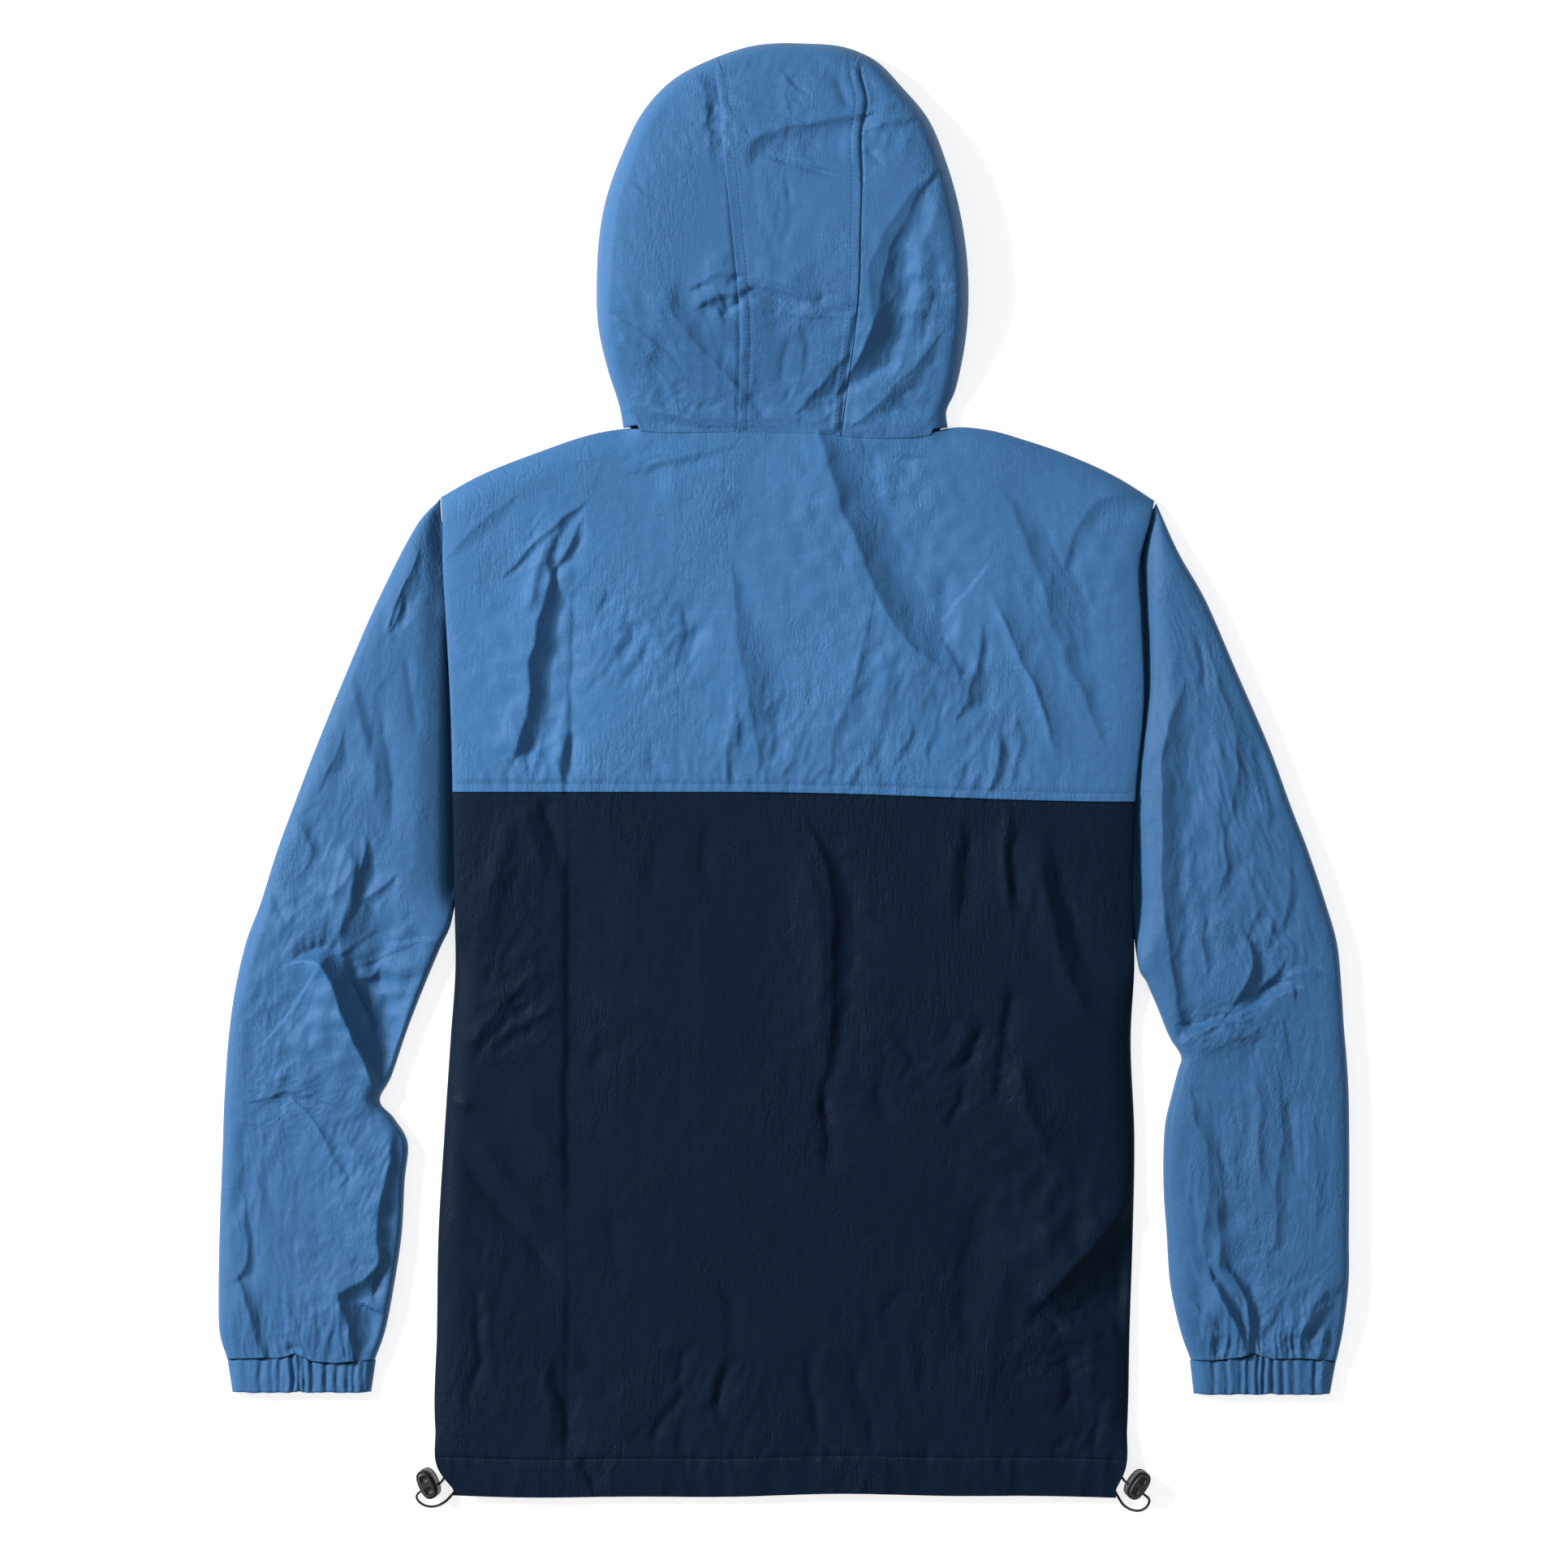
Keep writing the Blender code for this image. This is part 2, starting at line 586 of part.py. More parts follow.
def build_back_yoke(material, collection):
    def between(fraction):
        return lambda x: mix(yoke_seam(x) + SEAM_GAP, top_line(x) - INNER_STEP, fraction)

    def below_top(step):
        return lambda x: top_line(x) - step

    rows = [back_row(between(fraction)) for fraction in np.linspace(0, 1, 12)[:-1]]
    rows += [back_row(below_top(step)) for step in reversed(EDGE_STEPS)]
    top_row = len(rows) - 1
    kinds = [kind for kind, _ in back_columns()]
    for turn in FOLD_TURNS:
        below = [fold_inset(turn)] * len(kinds)
        rows.append(over_shoulder(rows[top_row], below, FOLD_HEIGHT * fold_drop(turn)))
    below = [float(shoulder_return(x)) for x, _, _ in rows[top_row]]
    rows.append(over_shoulder(rows[top_row], below, 0.0))
    points = np.array(rows)
    keep = np.zeros((len(rows) - 1, len(kinds) - 1), bool)
    for column in range(len(kinds) - 1):
        if kinds[column] in TOP_KINDS and kinds[column + 1] in TOP_KINDS:
            keep[:top_row, column] = True
            middle = points[top_row, column : column + 2, 0].mean()
            if not -NECK_HALF_LEFT < middle < NECK_HALF_RIGHT:
                keep[top_row:, column] = True
    return cloth_piece("back_yoke", points, material, collection, keep=keep)


def body_rows():
    """Fractions up the lower body, from the hem to the yoke seam, where its pieces have their rows."""
    right_row, left_row = UNDERARM_ROWS
    corner_row = HEM_CORNER_OPEN / (YOKE_SEAM_Y - HEM_Y)
    rows = [0.0, corner_row] + spread(corner_row, right_row, 9)
    return rows + [right_row, left_row] + spread(left_row, 1, 3) + [1.0]


def build_back_body(material, collection):
    def between(fraction):
        return lambda x: mix(hem_line(x), yoke_seam(x), fraction)

    right_row, left_row = UNDERARM_ROWS
    fractions = body_rows()
    corner_row = fractions[1]
    points = np.array([back_row(between(fraction)) for fraction in fractions])
    kinds = [kind for kind, _ in back_columns()]
    keep = np.zeros((len(fractions) - 1, len(kinds) - 1), bool)
    for column in range(len(kinds) - 1):
        pair = (kinds[column], kinds[column + 1])
        if pair[0] in TOP_KINDS and pair[1] in TOP_KINDS:
            keep[:, column] = True
        else:
            highest = left_row if pair[0].startswith("left") else right_row
            folded = [corner_row <= low and high <= highest for low, high in zip(fractions, fractions[1:])]
            keep[:, column] = folded
    return cloth_piece("back_body", points, material, collection, keep=keep)


# --- front ----------------------------------------------------------------------------
FRONT_INSETS = [75 * MM, 150 * MM]    # stations of the front body's grid, from its edges


def front_neckline(x):
    """The front neckline's y from one neck corner to the other, lowest at the middle."""
    half = NECK_HALF_LEFT if x < 0 else NECK_HALF_RIGHT
    along = 1 - min(abs(x) / half, 1)
    return mix(NECK_CORNER_Y, FRONT_NECK_Y, along) - FRONT_NECK_BOW * 4 * along * (1 - along)


def across_front(left, right, insets):
    """Stations across the front from left to right, with the slit's two sides in the middle."""
    half_slit = SLIT_WIDTH / 2
    stations = [left + inset for inset in insets]
    stations += [-half_slit, half_slit]
    stations += [right - inset for inset in reversed(insets)]
    return stations


def floor_row(line, stations):
    """Points on the floor along a line y(x). A face there looks down, so they run from right to left."""
    return [(x, float(line(x)), 0.0) for x in reversed(stations)]


def upper_points(row):
    """The points of a back row's upper side, but for the middle one, which gives way to the slit."""
    kinds = [kind for kind, _ in back_columns()]
    points = [(x, y) for kind, (x, y, _) in zip(kinds, row) if kind in TOP_KINDS]
    middle = int(np.argmin([abs(x) for x, _ in points]))
    y = points[middle][1]
    return points[:middle] + [(-SLIT_WIDTH / 2, y), (SLIT_WIDTH / 2, y)] + points[middle + 1 :]


def within_edges(line):
    """A line's points drawn in or out evenly, so that its ends keep the armhole gap to the body's edges."""
    left = float(body_left(line[0][1])) + CURVED_GAP
    right = float(body_right(line[-1][1])) - CURVED_GAP
    low, high = line[0][0], line[-1][0]
    moved = []
    for x, y in line:
        near_left = 1 - min((x - low) / BODY_ROUNDING, 1)
        near_right = 1 - min((high - x) / BODY_ROUNDING, 1)
        moved.append((x + (left - low) * near_left + (right - high) * near_right, y))
    return moved


def build_front_yoke(material, collection):
    def seam(x):
        return yoke_seam(x) + SEAM_GAP

    shoulder = back_row(top_line)
    below = [float(shoulder_return(x)) + CURVED_GAP for x, _, _ in shoulder]
    low = upper_points(back_row(seam))
    high = []
    for x, y in upper_points(over_shoulder(shoulder, below, 0.0)):
        if -NECK_HALF_LEFT < x < NECK_HALF_RIGHT:
            y = min(y, front_neckline(x) - CURVED_GAP)
        high.append((x, y))
    lines = [low]
    for fraction in np.linspace(0, 1, 5):
        pairs = zip(low, high)
        lines.append([(mix(a[0], b[0], fraction), mix(SLIT_BOTTOM_Y, b[1], fraction)) for a, b in pairs])
    # A face on the floor looks down, so its columns run from right to left.
    points = np.array([[(x, y, 0.0) for x, y in reversed(within_edges(line))] for line in lines])
    keep = np.ones((points.shape[0] - 1, points.shape[1] - 1), bool)
    slit_column = int(np.argmax(points[0, :, 0] < 0)) - 1
    keep[1:, slit_column] = False
    return cloth_piece("front_yoke", points, material, collection, keep=keep)


def build_front_body(material, collection):
    def between(fraction):
        return lambda x: mix(hem_line(x), yoke_seam(x), fraction)

    right_row, left_row = UNDERARM_ROWS
    insets = [SEAM_GAP, SIDE_RETURN + SEAM_GAP] + FRONT_INSETS
    fractions = sorted(body_rows() + [right_row + UNDERARM_STEP, left_row + UNDERARM_STEP])
    rows = []
    for fraction in fractions:
        line = between(fraction)
        left = float(body_left(edge_y(line, body_left)))
        right = float(body_right(edge_y(line, body_right)))
        rows.append(floor_row(line, across_front(left, right, insets)))
    points = np.array(rows)
    keep = np.ones((points.shape[0] - 1, points.shape[1] - 1), bool)
    keep[: fractions.index(right_row + UNDERARM_STEP), 0] = False
    keep[: fractions.index(left_row + UNDERARM_STEP), -1] = False
    return cloth_piece("front_body", points, material, collection, keep=keep)


# --- sleeves --------------------------------------------------------------------------
SLEEVE_ROWS = 25
ACROSS_SLEEVE = 8           # cells across the middle of its upper side
UNDER_STEPS = [1.3 * MM, 4.5 * MM]
NARROW = 42 * MM            # under this width the steps at the edges shrink with it
CUFF_END_EASE = 45 * MM     # stretch over which the sleeve comes down to the cuff's height
CUFF_STEP = 1.5 * MM        # how much higher the sleeve's end is than the cuff
HEIGHT_OF_WIDTH = 0.24      # a narrow sleeve section rises this much for its width
HEAD_RISE = 36 * MM         # stretch over which the sleeve rises from under the armhole's edge
SLEEVE_FOLD_MARGIN = 14 * MM
HEAD_FOLD_SHIFT = 6 * MM    # folds come this much nearer to the armhole than to other edges


def sleeve_sections(side, table):
    """The table's sections with the armhole's points read from the body's edge, as an array."""
    edge = body_left if side == LEFT else body_right
    rows = []
    for section in table:
        inner_x = section.inner_x
        if inner_x is None:
            inner_x = abs(float(edge(section.inner_y * MM))) / MM
        rows.append(section._replace(inner_x=inner_x))
    return np.array(rows, float)


def sleeve_ring(side, section, y_end):
    """Points round one section: along the floor to the outer fold and back over the top."""
    outer = np.array(section[:2]) * MM
    inner = np.array(section[2:4]) * MM
    tuck = section[4] * MM
    closed = float(np.clip(section[5], 0, 1))
    inner_z = section[6] * MM
    floor_end = inner + np.array([CURVED_GAP, 0])
    top_end = inner - np.array([tuck, 0])
    top_end = mix(top_end, floor_end, closed)
    width = np.linalg.norm(outer - floor_end)
    scale = min(1.0, width / NARROW)
    end_loft = mix(CUFF_LOFT + CUFF_STEP, SLEEVE_LOFT, ease((inner[1] - y_end) / CUFF_END_EASE))
    loft = min(end_loft, FOLD_HEIGHT + HEIGHT_OF_WIDTH * width)
    points = []

    def add(start, distance_in, z):
        direction = (outer - start) / np.linalg.norm(outer - start)
        place = start + direction * distance_in
        points.append((side * place[0], place[1], z))

    add(floor_end, 0, closed * inner_z)
    for step in UNDER_STEPS:
        add(floor_end, step * scale, closed * inner_z * (1 - float(rounding(step, UNDER_STEPS[-1]))))
    for fraction in (1 / 3, 2 / 3):
        add(floor_end, width * fraction, 0)
    for step in reversed(UNDER_STEPS):
        z = FOLD_HEIGHT * (1 - float(rounding(step, UNDER_STEPS[-1])))
        add(floor_end, width - step * scale, z)
    add(floor_end, width, FOLD_HEIGHT)
    length = np.linalg.norm(outer - top_end)
    steps = [step * scale for step in EDGE_STEPS]
    distances = [length - step for step in steps[1:]]
    distances += spread(length - steps[-1], steps[-1], ACROSS_SLEEVE)
    distances += list(reversed(steps))
    for distance in distances:
        add(top_end, distance, 0)
        x, y, _ = points[-1]
        rise_out = float(rounding(length - distance, SLEEVE_ROUNDING * scale))
        open_rise = float(ease(distance / HEAD_RISE))
        rise_in = mix(open_rise, float(rounding(distance, SLEEVE_ROUNDING * scale)), closed)
        base = mix(inner_z, FOLD_HEIGHT, distance / length)
        z = base + (loft - base) * rise_in * rise_out
        from_edge = min(distance + (1 - closed) * HEAD_FOLD_SHIFT, length - distance)
        z -= float(fold_depth(x, y, SLEEVE_FOLDS[side])) * float(ease(from_edge / SLEEVE_FOLD_MARGIN))
        points[-1] = (x, y, z)
    return points


def build_sleeve(name, side, table, material, collection):
    sections = sleeve_sections(side, table)
    knots = np.arange(len(sections))
    places = np.linspace(0, len(sections) - 1, SLEEVE_ROWS)
    # Rows run up the sleeve, so that the faces look outwards.
    sections = soft_curve(places, knots, sections)[::-1]
    points = np.array([sleeve_ring(side, section, sections[0][1] * MM) for section in sections])
    if side == RIGHT:
        points = points[:, ::-1]
    return cloth_piece(name, points, material, collection, ring=True)


def build_cuff(shape, material, collection):
    """The gathered ring at the end of a sleeve."""
    across_top = CUFF_GATHERS * 3
    near, far = EDGE_STEPS[1:3]
    low = 0.3 * FOLD_HEIGHT
    rows = []
    for fraction in (0.0, 0.5, 1.0):
        outer = mix(shape.outer_end, shape.outer_top, fraction) * MM
        inner = mix(shape.inner_end, shape.inner_top, fraction) * MM
        y = mix(shape.y_end, shape.y_top, fraction) * MM
        width = outer - inner
        row = [(inner, FOLD_HEIGHT), (inner + near, low), (inner + far, 0.0)]
        row += [(inner + width / 2, 0.0)]
        row += [(outer - far, 0.0), (outer - near, low), (outer, FOLD_HEIGHT)]
        for step in range(1, across_top):
            distance = width * step / across_top
            edge = min(distance, width - distance)
            gather = math.cos(2 * math.pi * CUFF_GATHERS * step / across_top)
            z = mix(FOLD_HEIGHT, CUFF_LOFT, float(rounding(edge, CUFF_ROUNDING)))
            z += CUFF_GATHER_HEIGHT * (gather - 1) / 2 * float(ease(edge / GATHER_MARGIN))
            row.append((outer - distance, z))
        row.append(row[0])
        rows.append([(shape.side * x, y, z) for x, z in row])
    points = np.array(rows)
    if shape.side == RIGHT:
        points = points[:, ::-1]
    return cloth_piece(shape.name, points, material, collection, wall=CUFF_WALL, ring=True)


# --- hood -----------------------------------------------------------------------------
OUTLINE_SAMPLES = 240
CROWN_INSET = 0.5          # of a sample: the centre panel's gap where it goes over the crown
HOOD_ROWS = 15
CROWN_REACH = 16 * MM      # from the end of a long seam to the hood's outline
EDGE_REACH = 16 * MM       # under this distance the steps at the outline shrink with it
RISE_FROM_Y = 232 * MM     # the hood gains its height above this line
RISE_LENGTH = 110 * MM
FALL_FROM_Y = 400 * MM     # and loses some of it again above this one
FALL_LENGTH = 90 * MM
CROWN_SHARE = 0.72         # what is left of it at the crown
HOOD_FOLD_MARGIN = 25 * MM
NECK_SHARPNESS = 6         # how fast the rows leave the neck seam's line
CROWN_HALF = 45.6 * MM     # half width of the centre panel's end underneath
CROWN_END_BOW = 6 * MM
HOOD_SIDE_CELLS = 5
HOOD_CENTRE_CELLS = 8


def hood_outline():
    return path_through([(p.x * MM, p.y * MM) for p in HOOD_OUTLINE], OUTLINE_SAMPLES)


def hood_seam(y, side):
    values = [(s.left if side == LEFT else s.right) * MM for s in HOOD_SEAMS]
    return soft_curve(y, [s.y * MM for s in HOOD_SEAMS], values)


def hood_seam_point(fraction, side):
    """A point of a long hood seam: fraction is 0 at the neck seam and 1 near the crown."""
    neck_y = HOOD_SEAMS[0].y * MM
    y = mix(neck_y, HOOD_SEAM_TOP, fraction)
    x = float(hood_seam(y, side))
    y += (1 - fraction) ** NECK_SHARPNESS * (float(top_line(x)) + CURVED_GAP - y)
    return np.array([x, y])


def hood_top(x, y, outline):
    """Height of the hood's outer face over a place in its outline."""
    away = float(np.hypot(outline[:, 0] - x, outline[:, 1] - y).min())
    loft = mix(BODY_LOFT, HOOD_LOFT, float(ease((y - RISE_FROM_Y) / RISE_LENGTH)))
    loft = mix(loft, HOOD_LOFT * CROWN_SHARE, float(ease((y - FALL_FROM_Y) / FALL_LENGTH)))
    z = mix(FOLD_HEIGHT, loft, float(rounding(away, HOOD_ROUNDING)))
    return z - float(fold_depth(x, y, HOOD_FOLDS)) * float(ease(away / HOOD_FOLD_MARGIN))


def outline_at(outline, fraction):
    """A point of the outline and its direction inwards."""
    place = fraction * (len(outline) - 1)
    low = int(min(place, len(outline) - 2))
    point = mix(outline[low], outline[low + 1], place - low)
    along = outline[min(low + 3, len(outline) - 1)] - outline[max(low - 2, 0)]
    along /= np.linalg.norm(along)
    return point, np.array([along[1], -along[0]])


def nearest_fraction(outline, x, y):
    away = np.hypot(outline[:, 0] - x, outline[:, 1] - y)
    return float(away.argmin()) / (len(outline) - 1)


def over_and_under(start, outline, fraction, end, top_cells, neck=0.0):
    """Points from a start on top of the hood, out over its outline and in below to an end.

    neck is 1 for the row that follows the neck seam above and the front neckline below.
    """
    edge, inwards = outline_at(outline, fraction)
    reach = min(1.0, np.linalg.norm(edge - start) / EDGE_REACH)
    points = []
    brink = edge + inwards * INNER_STEP * reach
    for cell in range(top_cells + 1):
        x, y = mix(start, brink, cell / top_cells)
        y -= neck * (y - float(top_line(x)) - CURVED_GAP)
        points.append((x, y, hood_top(x, y, outline)))
    for step in reversed(EDGE_STEPS[1:-1]):
        place = edge + inwards * step * reach
        points.append((place[0], place[1], hood_top(place[0], place[1], outline)))
    points.append((edge[0], edge[1], FOLD_HEIGHT))
    for turn in FOLD_TURNS:
        place = edge + inwards * fold_inset(turn)
        points.append((place[0], place[1], FOLD_HEIGHT * fold_drop(turn)))
    below = edge + inwards * FOLD_HEIGHT
    for fraction_in in (0.25, 0.5, 0.75, 1.0):
        place = mix(below, end, fraction_in)
        dip = neck * FRONT_NECK_BOW * 4 * fraction_in * (1 - fraction_in)
        points.append((place[0], place[1] - dip, 0.0))
    return points


def build_hood_side(name, side, material, collection):
    outline = hood_outline()
    neck_fraction = 0.0 if side == LEFT else 1.0
    crown_x = float(hood_seam(HOOD_SEAM_TOP, side))
    crown_fraction = nearest_fraction(outline, crown_x, HOOD_SEAM_TOP + CROWN_REACH)
    face_edge = path_through([(side * p.x * MM, p.y * MM) for p in FACE_EDGE], HOOD_ROWS)
    rows = []
    for row in range(HOOD_ROWS):
        fraction = row / (HOOD_ROWS - 1)
        seam = hood_seam_point(fraction, side)
        seam[0] += side * mix(HOOD_GAP, CROWN_GAP, fraction) / 2
        place = mix(neck_fraction, crown_fraction, fraction)
        neck = (1 - fraction) ** NECK_SHARPNESS
        rows.append(over_and_under(seam, outline, place, face_edge[row], HOOD_SIDE_CELLS, neck))
    points = np.array(rows)
    if side == LEFT:
        points = points[:, ::-1]
    return cloth_piece(name, points, material, collection)


def build_hood_centre(material, collection):
    outline = hood_outline()
    crowns = []
    for side in (LEFT, RIGHT):
        crown_x = float(hood_seam(HOOD_SEAM_TOP, side))
        crowns.append(nearest_fraction(outline, crown_x, HOOD_SEAM_TOP + CROWN_REACH))
    step = 1.0 / (len(outline) - 1)
    columns = []
    for column in range(HOOD_CENTRE_CELLS + 1):
        across = column / HOOD_CENTRE_CELLS
        line = []
        for row in range(HOOD_ROWS):
            fraction = row / (HOOD_ROWS - 1)
            half_gap = mix(HOOD_GAP, CROWN_GAP, fraction) / 2
            left = hood_seam_point(fraction, LEFT) + (half_gap, 0)
            right = hood_seam_point(fraction, RIGHT) - (half_gap, 0)
            x, y = mix(left, right, across)
            y += (1 - fraction) ** NECK_SHARPNESS * (float(top_line(x)) + CURVED_GAP - y)
            line.append((x, y, hood_top(x, y, outline)))
        fraction = mix(crowns[0] + step * CROWN_INSET, crowns[1] - step * CROWN_INSET, across)
        end_x = mix(-CROWN_HALF, CROWN_HALF, across)
        start = np.array(line[-1][:2])
        end = np.array([end_x, FACE_EDGE_CROWN_Y - CROWN_END_BOW * abs(2 * across - 1) ** 2])
        line += over_and_under(start, outline, fraction, end, 1)[1:]
        columns.append(line)
    points = np.array(columns).transpose(1, 0, 2)
    return cloth_piece("hood_centre", points, material, collection)


# --- cord locks -----------------------------------------------------------------------
def oval_prism(name, length, breadth, bottom, top):
    """A closed upright prism with an oval section."""
    bm = bmesh.new()
    bmesh.ops.create_cone(bm, cap_ends=True, segments=LOCK_SEGMENTS, radius1=1, radius2=1, depth=1)
    power = 2 / LOCK_ROUNDNESS
    for vert in bm.verts:
        x, y, z = vert.co
        vert.co.x = math.copysign(abs(x) ** power, x) * length / 2
        vert.co.y = math.copysign(abs(y) ** power, y) * breadth / 2
        vert.co.z = bottom if z < 0 else top
    mesh = bpy.data.meshes.new(name)
    bm.to_mesh(mesh)
    bm.free()
    return bpy.data.objects.new(name, mesh)


def block(name, x_range, y_range, z_range):
    bm = bmesh.new()
    bmesh.ops.create_cube(bm, size=1)
    for vert in bm.verts:
        for axis, (low, high) in enumerate((x_range, y_range, z_range)):
            vert.co[axis] = low if vert.co[axis] < 0 else high
    mesh = bpy.data.meshes.new(name)
    bm.to_mesh(mesh)
    bm.free()
    return bpy.data.objects.new(name, mesh)


def cross_pin(name, radius, x, z, reach):
    """A cylinder along Y, for the cord's hole."""
    bm = bmesh.new()
    turn = Matrix.Translation((x, 0, z)) @ Matrix.Rotation(math.radians(90), 4, "X")
    size = {"radius1": radius, "radius2": radius, "depth": 2 * reach}
    bmesh.ops.create_cone(bm, cap_ends=True, segments=HOLE_SEGMENTS, matrix=turn, **size)
    mesh = bpy.data.meshes.new(name)
    bm.to_mesh(mesh)
    bm.free()
    return bpy.data.objects.new(name, mesh)


def cut(obj, cutter, cutters):
    cutters.objects.link(cutter)
    cutter.parent = obj.parent
    cutter.hide_render = True
    cutter.display_type = "WIRE"
    boolean = obj.modifiers.new("Cut " + cutter.name, "BOOLEAN")
    boolean.operation = "DIFFERENCE"
    boolean.object = cutter


def lock_frame(place):
    """World matrix of a lock's base: +X along its length, leaning towards the loop's flank."""
    tilt = -place.flank * LOCK_TILT
    lift = LOCK_BREADTH / 2 * math.sin(LOCK_TILT)
    turn = Matrix.Rotation(place.turn, 4, "Z") @ Matrix.Rotation(tilt, 4, "X")
    return Matrix.Translation((place.x * MM, place.y * MM, lift)) @ turn


def build_lock(place, material, collection, cutters):
    base = bpy.data.objects.new(f"cord_lock_{place.name}_base", None)
    base.matrix_world = lock_frame(place)
    collection.objects.link(base)
    half = LOCK_BREADTH
    hole_radius = CORD_DIAMETER / 2 + CORD_CLEARANCE
    cavity_length = LOCK_LENGTH - 2 * BARREL_WALL
    cavity_breadth = LOCK_BREADTH - 2 * BARREL_WALL

    barrel = oval_prism(f"cord_lock_{place.name}_barrel", LOCK_LENGTH, LOCK_BREADTH, 0, BARREL_HEIGHT)
    plunger = oval_prism(
        f"cord_lock_{place.name}_plunger",
        cavity_length - 2 * PLUNGER_CLEARANCE,
        cavity_breadth - 2 * PLUNGER_CLEARANCE,
        PLUNGER_BOTTOM,
        PLUNGER_TOP,
    )
    for obj in (barrel, plunger):
        obj.data.materials.append(material)
        obj.parent = base
        collection.objects.link(obj)
    above = PLUNGER_TOP + CUT_PAST
    cavity = oval_prism(f"cavity_{place.name}", cavity_length, cavity_breadth, BARREL_FLOOR, above)
    cut(barrel, cavity, cutters)
    hole = cross_pin(f"cord_hole_{place.name}", hole_radius, HOLE_OFFSET, CORD_HEIGHT, half)
    cut(barrel, hole, cutters)
    slot_low = CORD_HEIGHT - CORD_DIAMETER / 2 - SLOT_CLEARANCE
    slot_high = CORD_HEIGHT + CORD_DIAMETER / 2 + PLUNGER_TRAVEL + SLOT_CLEARANCE
    slot_sides = (HOLE_OFFSET - hole_radius, HOLE_OFFSET + hole_radius)
    slot = block(f"cord_slot_{place.name}", slot_sides, (-half, half), (slot_low, slot_high))
    cut(plunger, slot, cutters)
    for end in (-1, 1):
        middle = end * POCKET_OFFSET
        sides = (middle - POCKET_LENGTH / 2, middle + POCKET_LENGTH / 2)
        breadth = (-POCKET_BREADTH / 2, POCKET_BREADTH / 2)
        pocket = block(f"pocket_{place.name}_{end}", sides, breadth, (PLUNGER_TOP - POCKET_DEPTH, above))
        cut(plunger, pocket, cutters)


def cord_route(place):
    """The cord from the hem round its loop, through the lock and back under the hem, as an even path."""
    frame = lock_frame(place)
    route = [(p.x * MM, p.y * MM, p.z * MM) for p in CORD_LOOPS[place.name]]
    reach = LOCK_BREADTH / 2 + CORD_STUB
    for across in CORD_STATIONS:
        route.append(tuple(frame @ Vector((HOLE_OFFSET, place.flank * reach * across, CORD_HEIGHT))))
    route += [(p.x * MM, p.y * MM, p.z * MM) for p in CORD_TAILS[place.name]]
    return path_through(route, CORD_POINTS)


def build_cord(place, material, collection):
    curve = bpy.data.curves.new(f"hem_cord_{place.name}", "CURVE")
    curve.dimensions = "3D"
    curve.bevel_depth = CORD_DIAMETER / 2
    curve.bevel_resolution = 2
    curve.use_fill_caps = True
    spline = curve.splines.new("POLY")
    route = cord_route(place)
    spline.points.add(len(route) - 1)
    for point, place_at in zip(spline.points, route):
        point.co = (*place_at, 1)
    curve.materials.append(material)
    collection.objects.link(bpy.data.objects.new(f"hem_cord_{place.name}", curve))


# --- the whole garment ----------------------------------------------------------------
def main():
    for obj in list(bpy.data.objects):
        bpy.data.objects.remove(obj)
    anorak = bpy.data.collections.new("Anorak pullover")
    cutters = bpy.data.collections.new("Cutters")
    for collection in (anorak, cutters):
        bpy.context.scene.collection.children.link(collection)
    blue = new_material("blue nylon", BLUE, 0.55)
    navy = new_material("navy nylon", NAVY, 0.55)
    plastic = new_material("black plastic", BLACK, 0.35)
    elastic = new_material("black elastic cord", BLACK, 0.8)

    build_back_yoke(blue, anorak)
    build_back_body(navy, anorak)
    build_front_yoke(blue, anorak)
    build_front_body(navy, anorak)
    build_sleeve("sleeve_left", LEFT, LEFT_SLEEVE, blue, anorak)
    build_sleeve("sleeve_right", RIGHT, RIGHT_SLEEVE, blue, anorak)
    for shape in CUFFS:
        build_cuff(shape, blue, anorak)
    build_hood_side("hood_left", LEFT, blue, anorak)
    build_hood_side("hood_right", RIGHT, blue, anorak)
    build_hood_centre(blue, anorak)
    for place in LOCKS:
        build_lock(place, plastic, anorak, cutters)
        build_cord(place, elastic, anorak)


if __name__ == "__main__":
    main()
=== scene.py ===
import math
from collections import namedtuple

import bmesh
import bpy
import numpy as np
from bpy.props import FloatProperty, FloatVectorProperty, PointerProperty
from mathutils import Matrix, Vector


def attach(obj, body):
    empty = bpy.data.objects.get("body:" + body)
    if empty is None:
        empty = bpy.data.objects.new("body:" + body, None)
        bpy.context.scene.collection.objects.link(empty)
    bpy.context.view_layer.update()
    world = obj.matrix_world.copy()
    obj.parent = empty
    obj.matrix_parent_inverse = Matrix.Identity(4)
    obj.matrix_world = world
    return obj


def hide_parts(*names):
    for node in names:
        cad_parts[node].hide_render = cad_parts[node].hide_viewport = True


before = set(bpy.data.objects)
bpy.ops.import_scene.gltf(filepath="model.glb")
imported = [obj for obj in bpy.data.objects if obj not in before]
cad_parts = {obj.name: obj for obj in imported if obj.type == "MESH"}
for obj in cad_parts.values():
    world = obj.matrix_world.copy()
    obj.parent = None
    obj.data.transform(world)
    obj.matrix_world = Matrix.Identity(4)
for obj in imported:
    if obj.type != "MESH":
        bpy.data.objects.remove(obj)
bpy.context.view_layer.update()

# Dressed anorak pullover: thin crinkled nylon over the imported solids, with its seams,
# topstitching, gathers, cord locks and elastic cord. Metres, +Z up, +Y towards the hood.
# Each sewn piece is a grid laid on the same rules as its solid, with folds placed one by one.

bl_info = {
    "name": "Anorak pullover",
    "version": (1, 0, 0),
    "blender": (4, 5, 0),
    "location": "3D View > Sidebar > Anorak",
    "description": "Dresses the packed anorak with creased nylon, seams, stitching, locks and cord",
    "category": "Object",
}

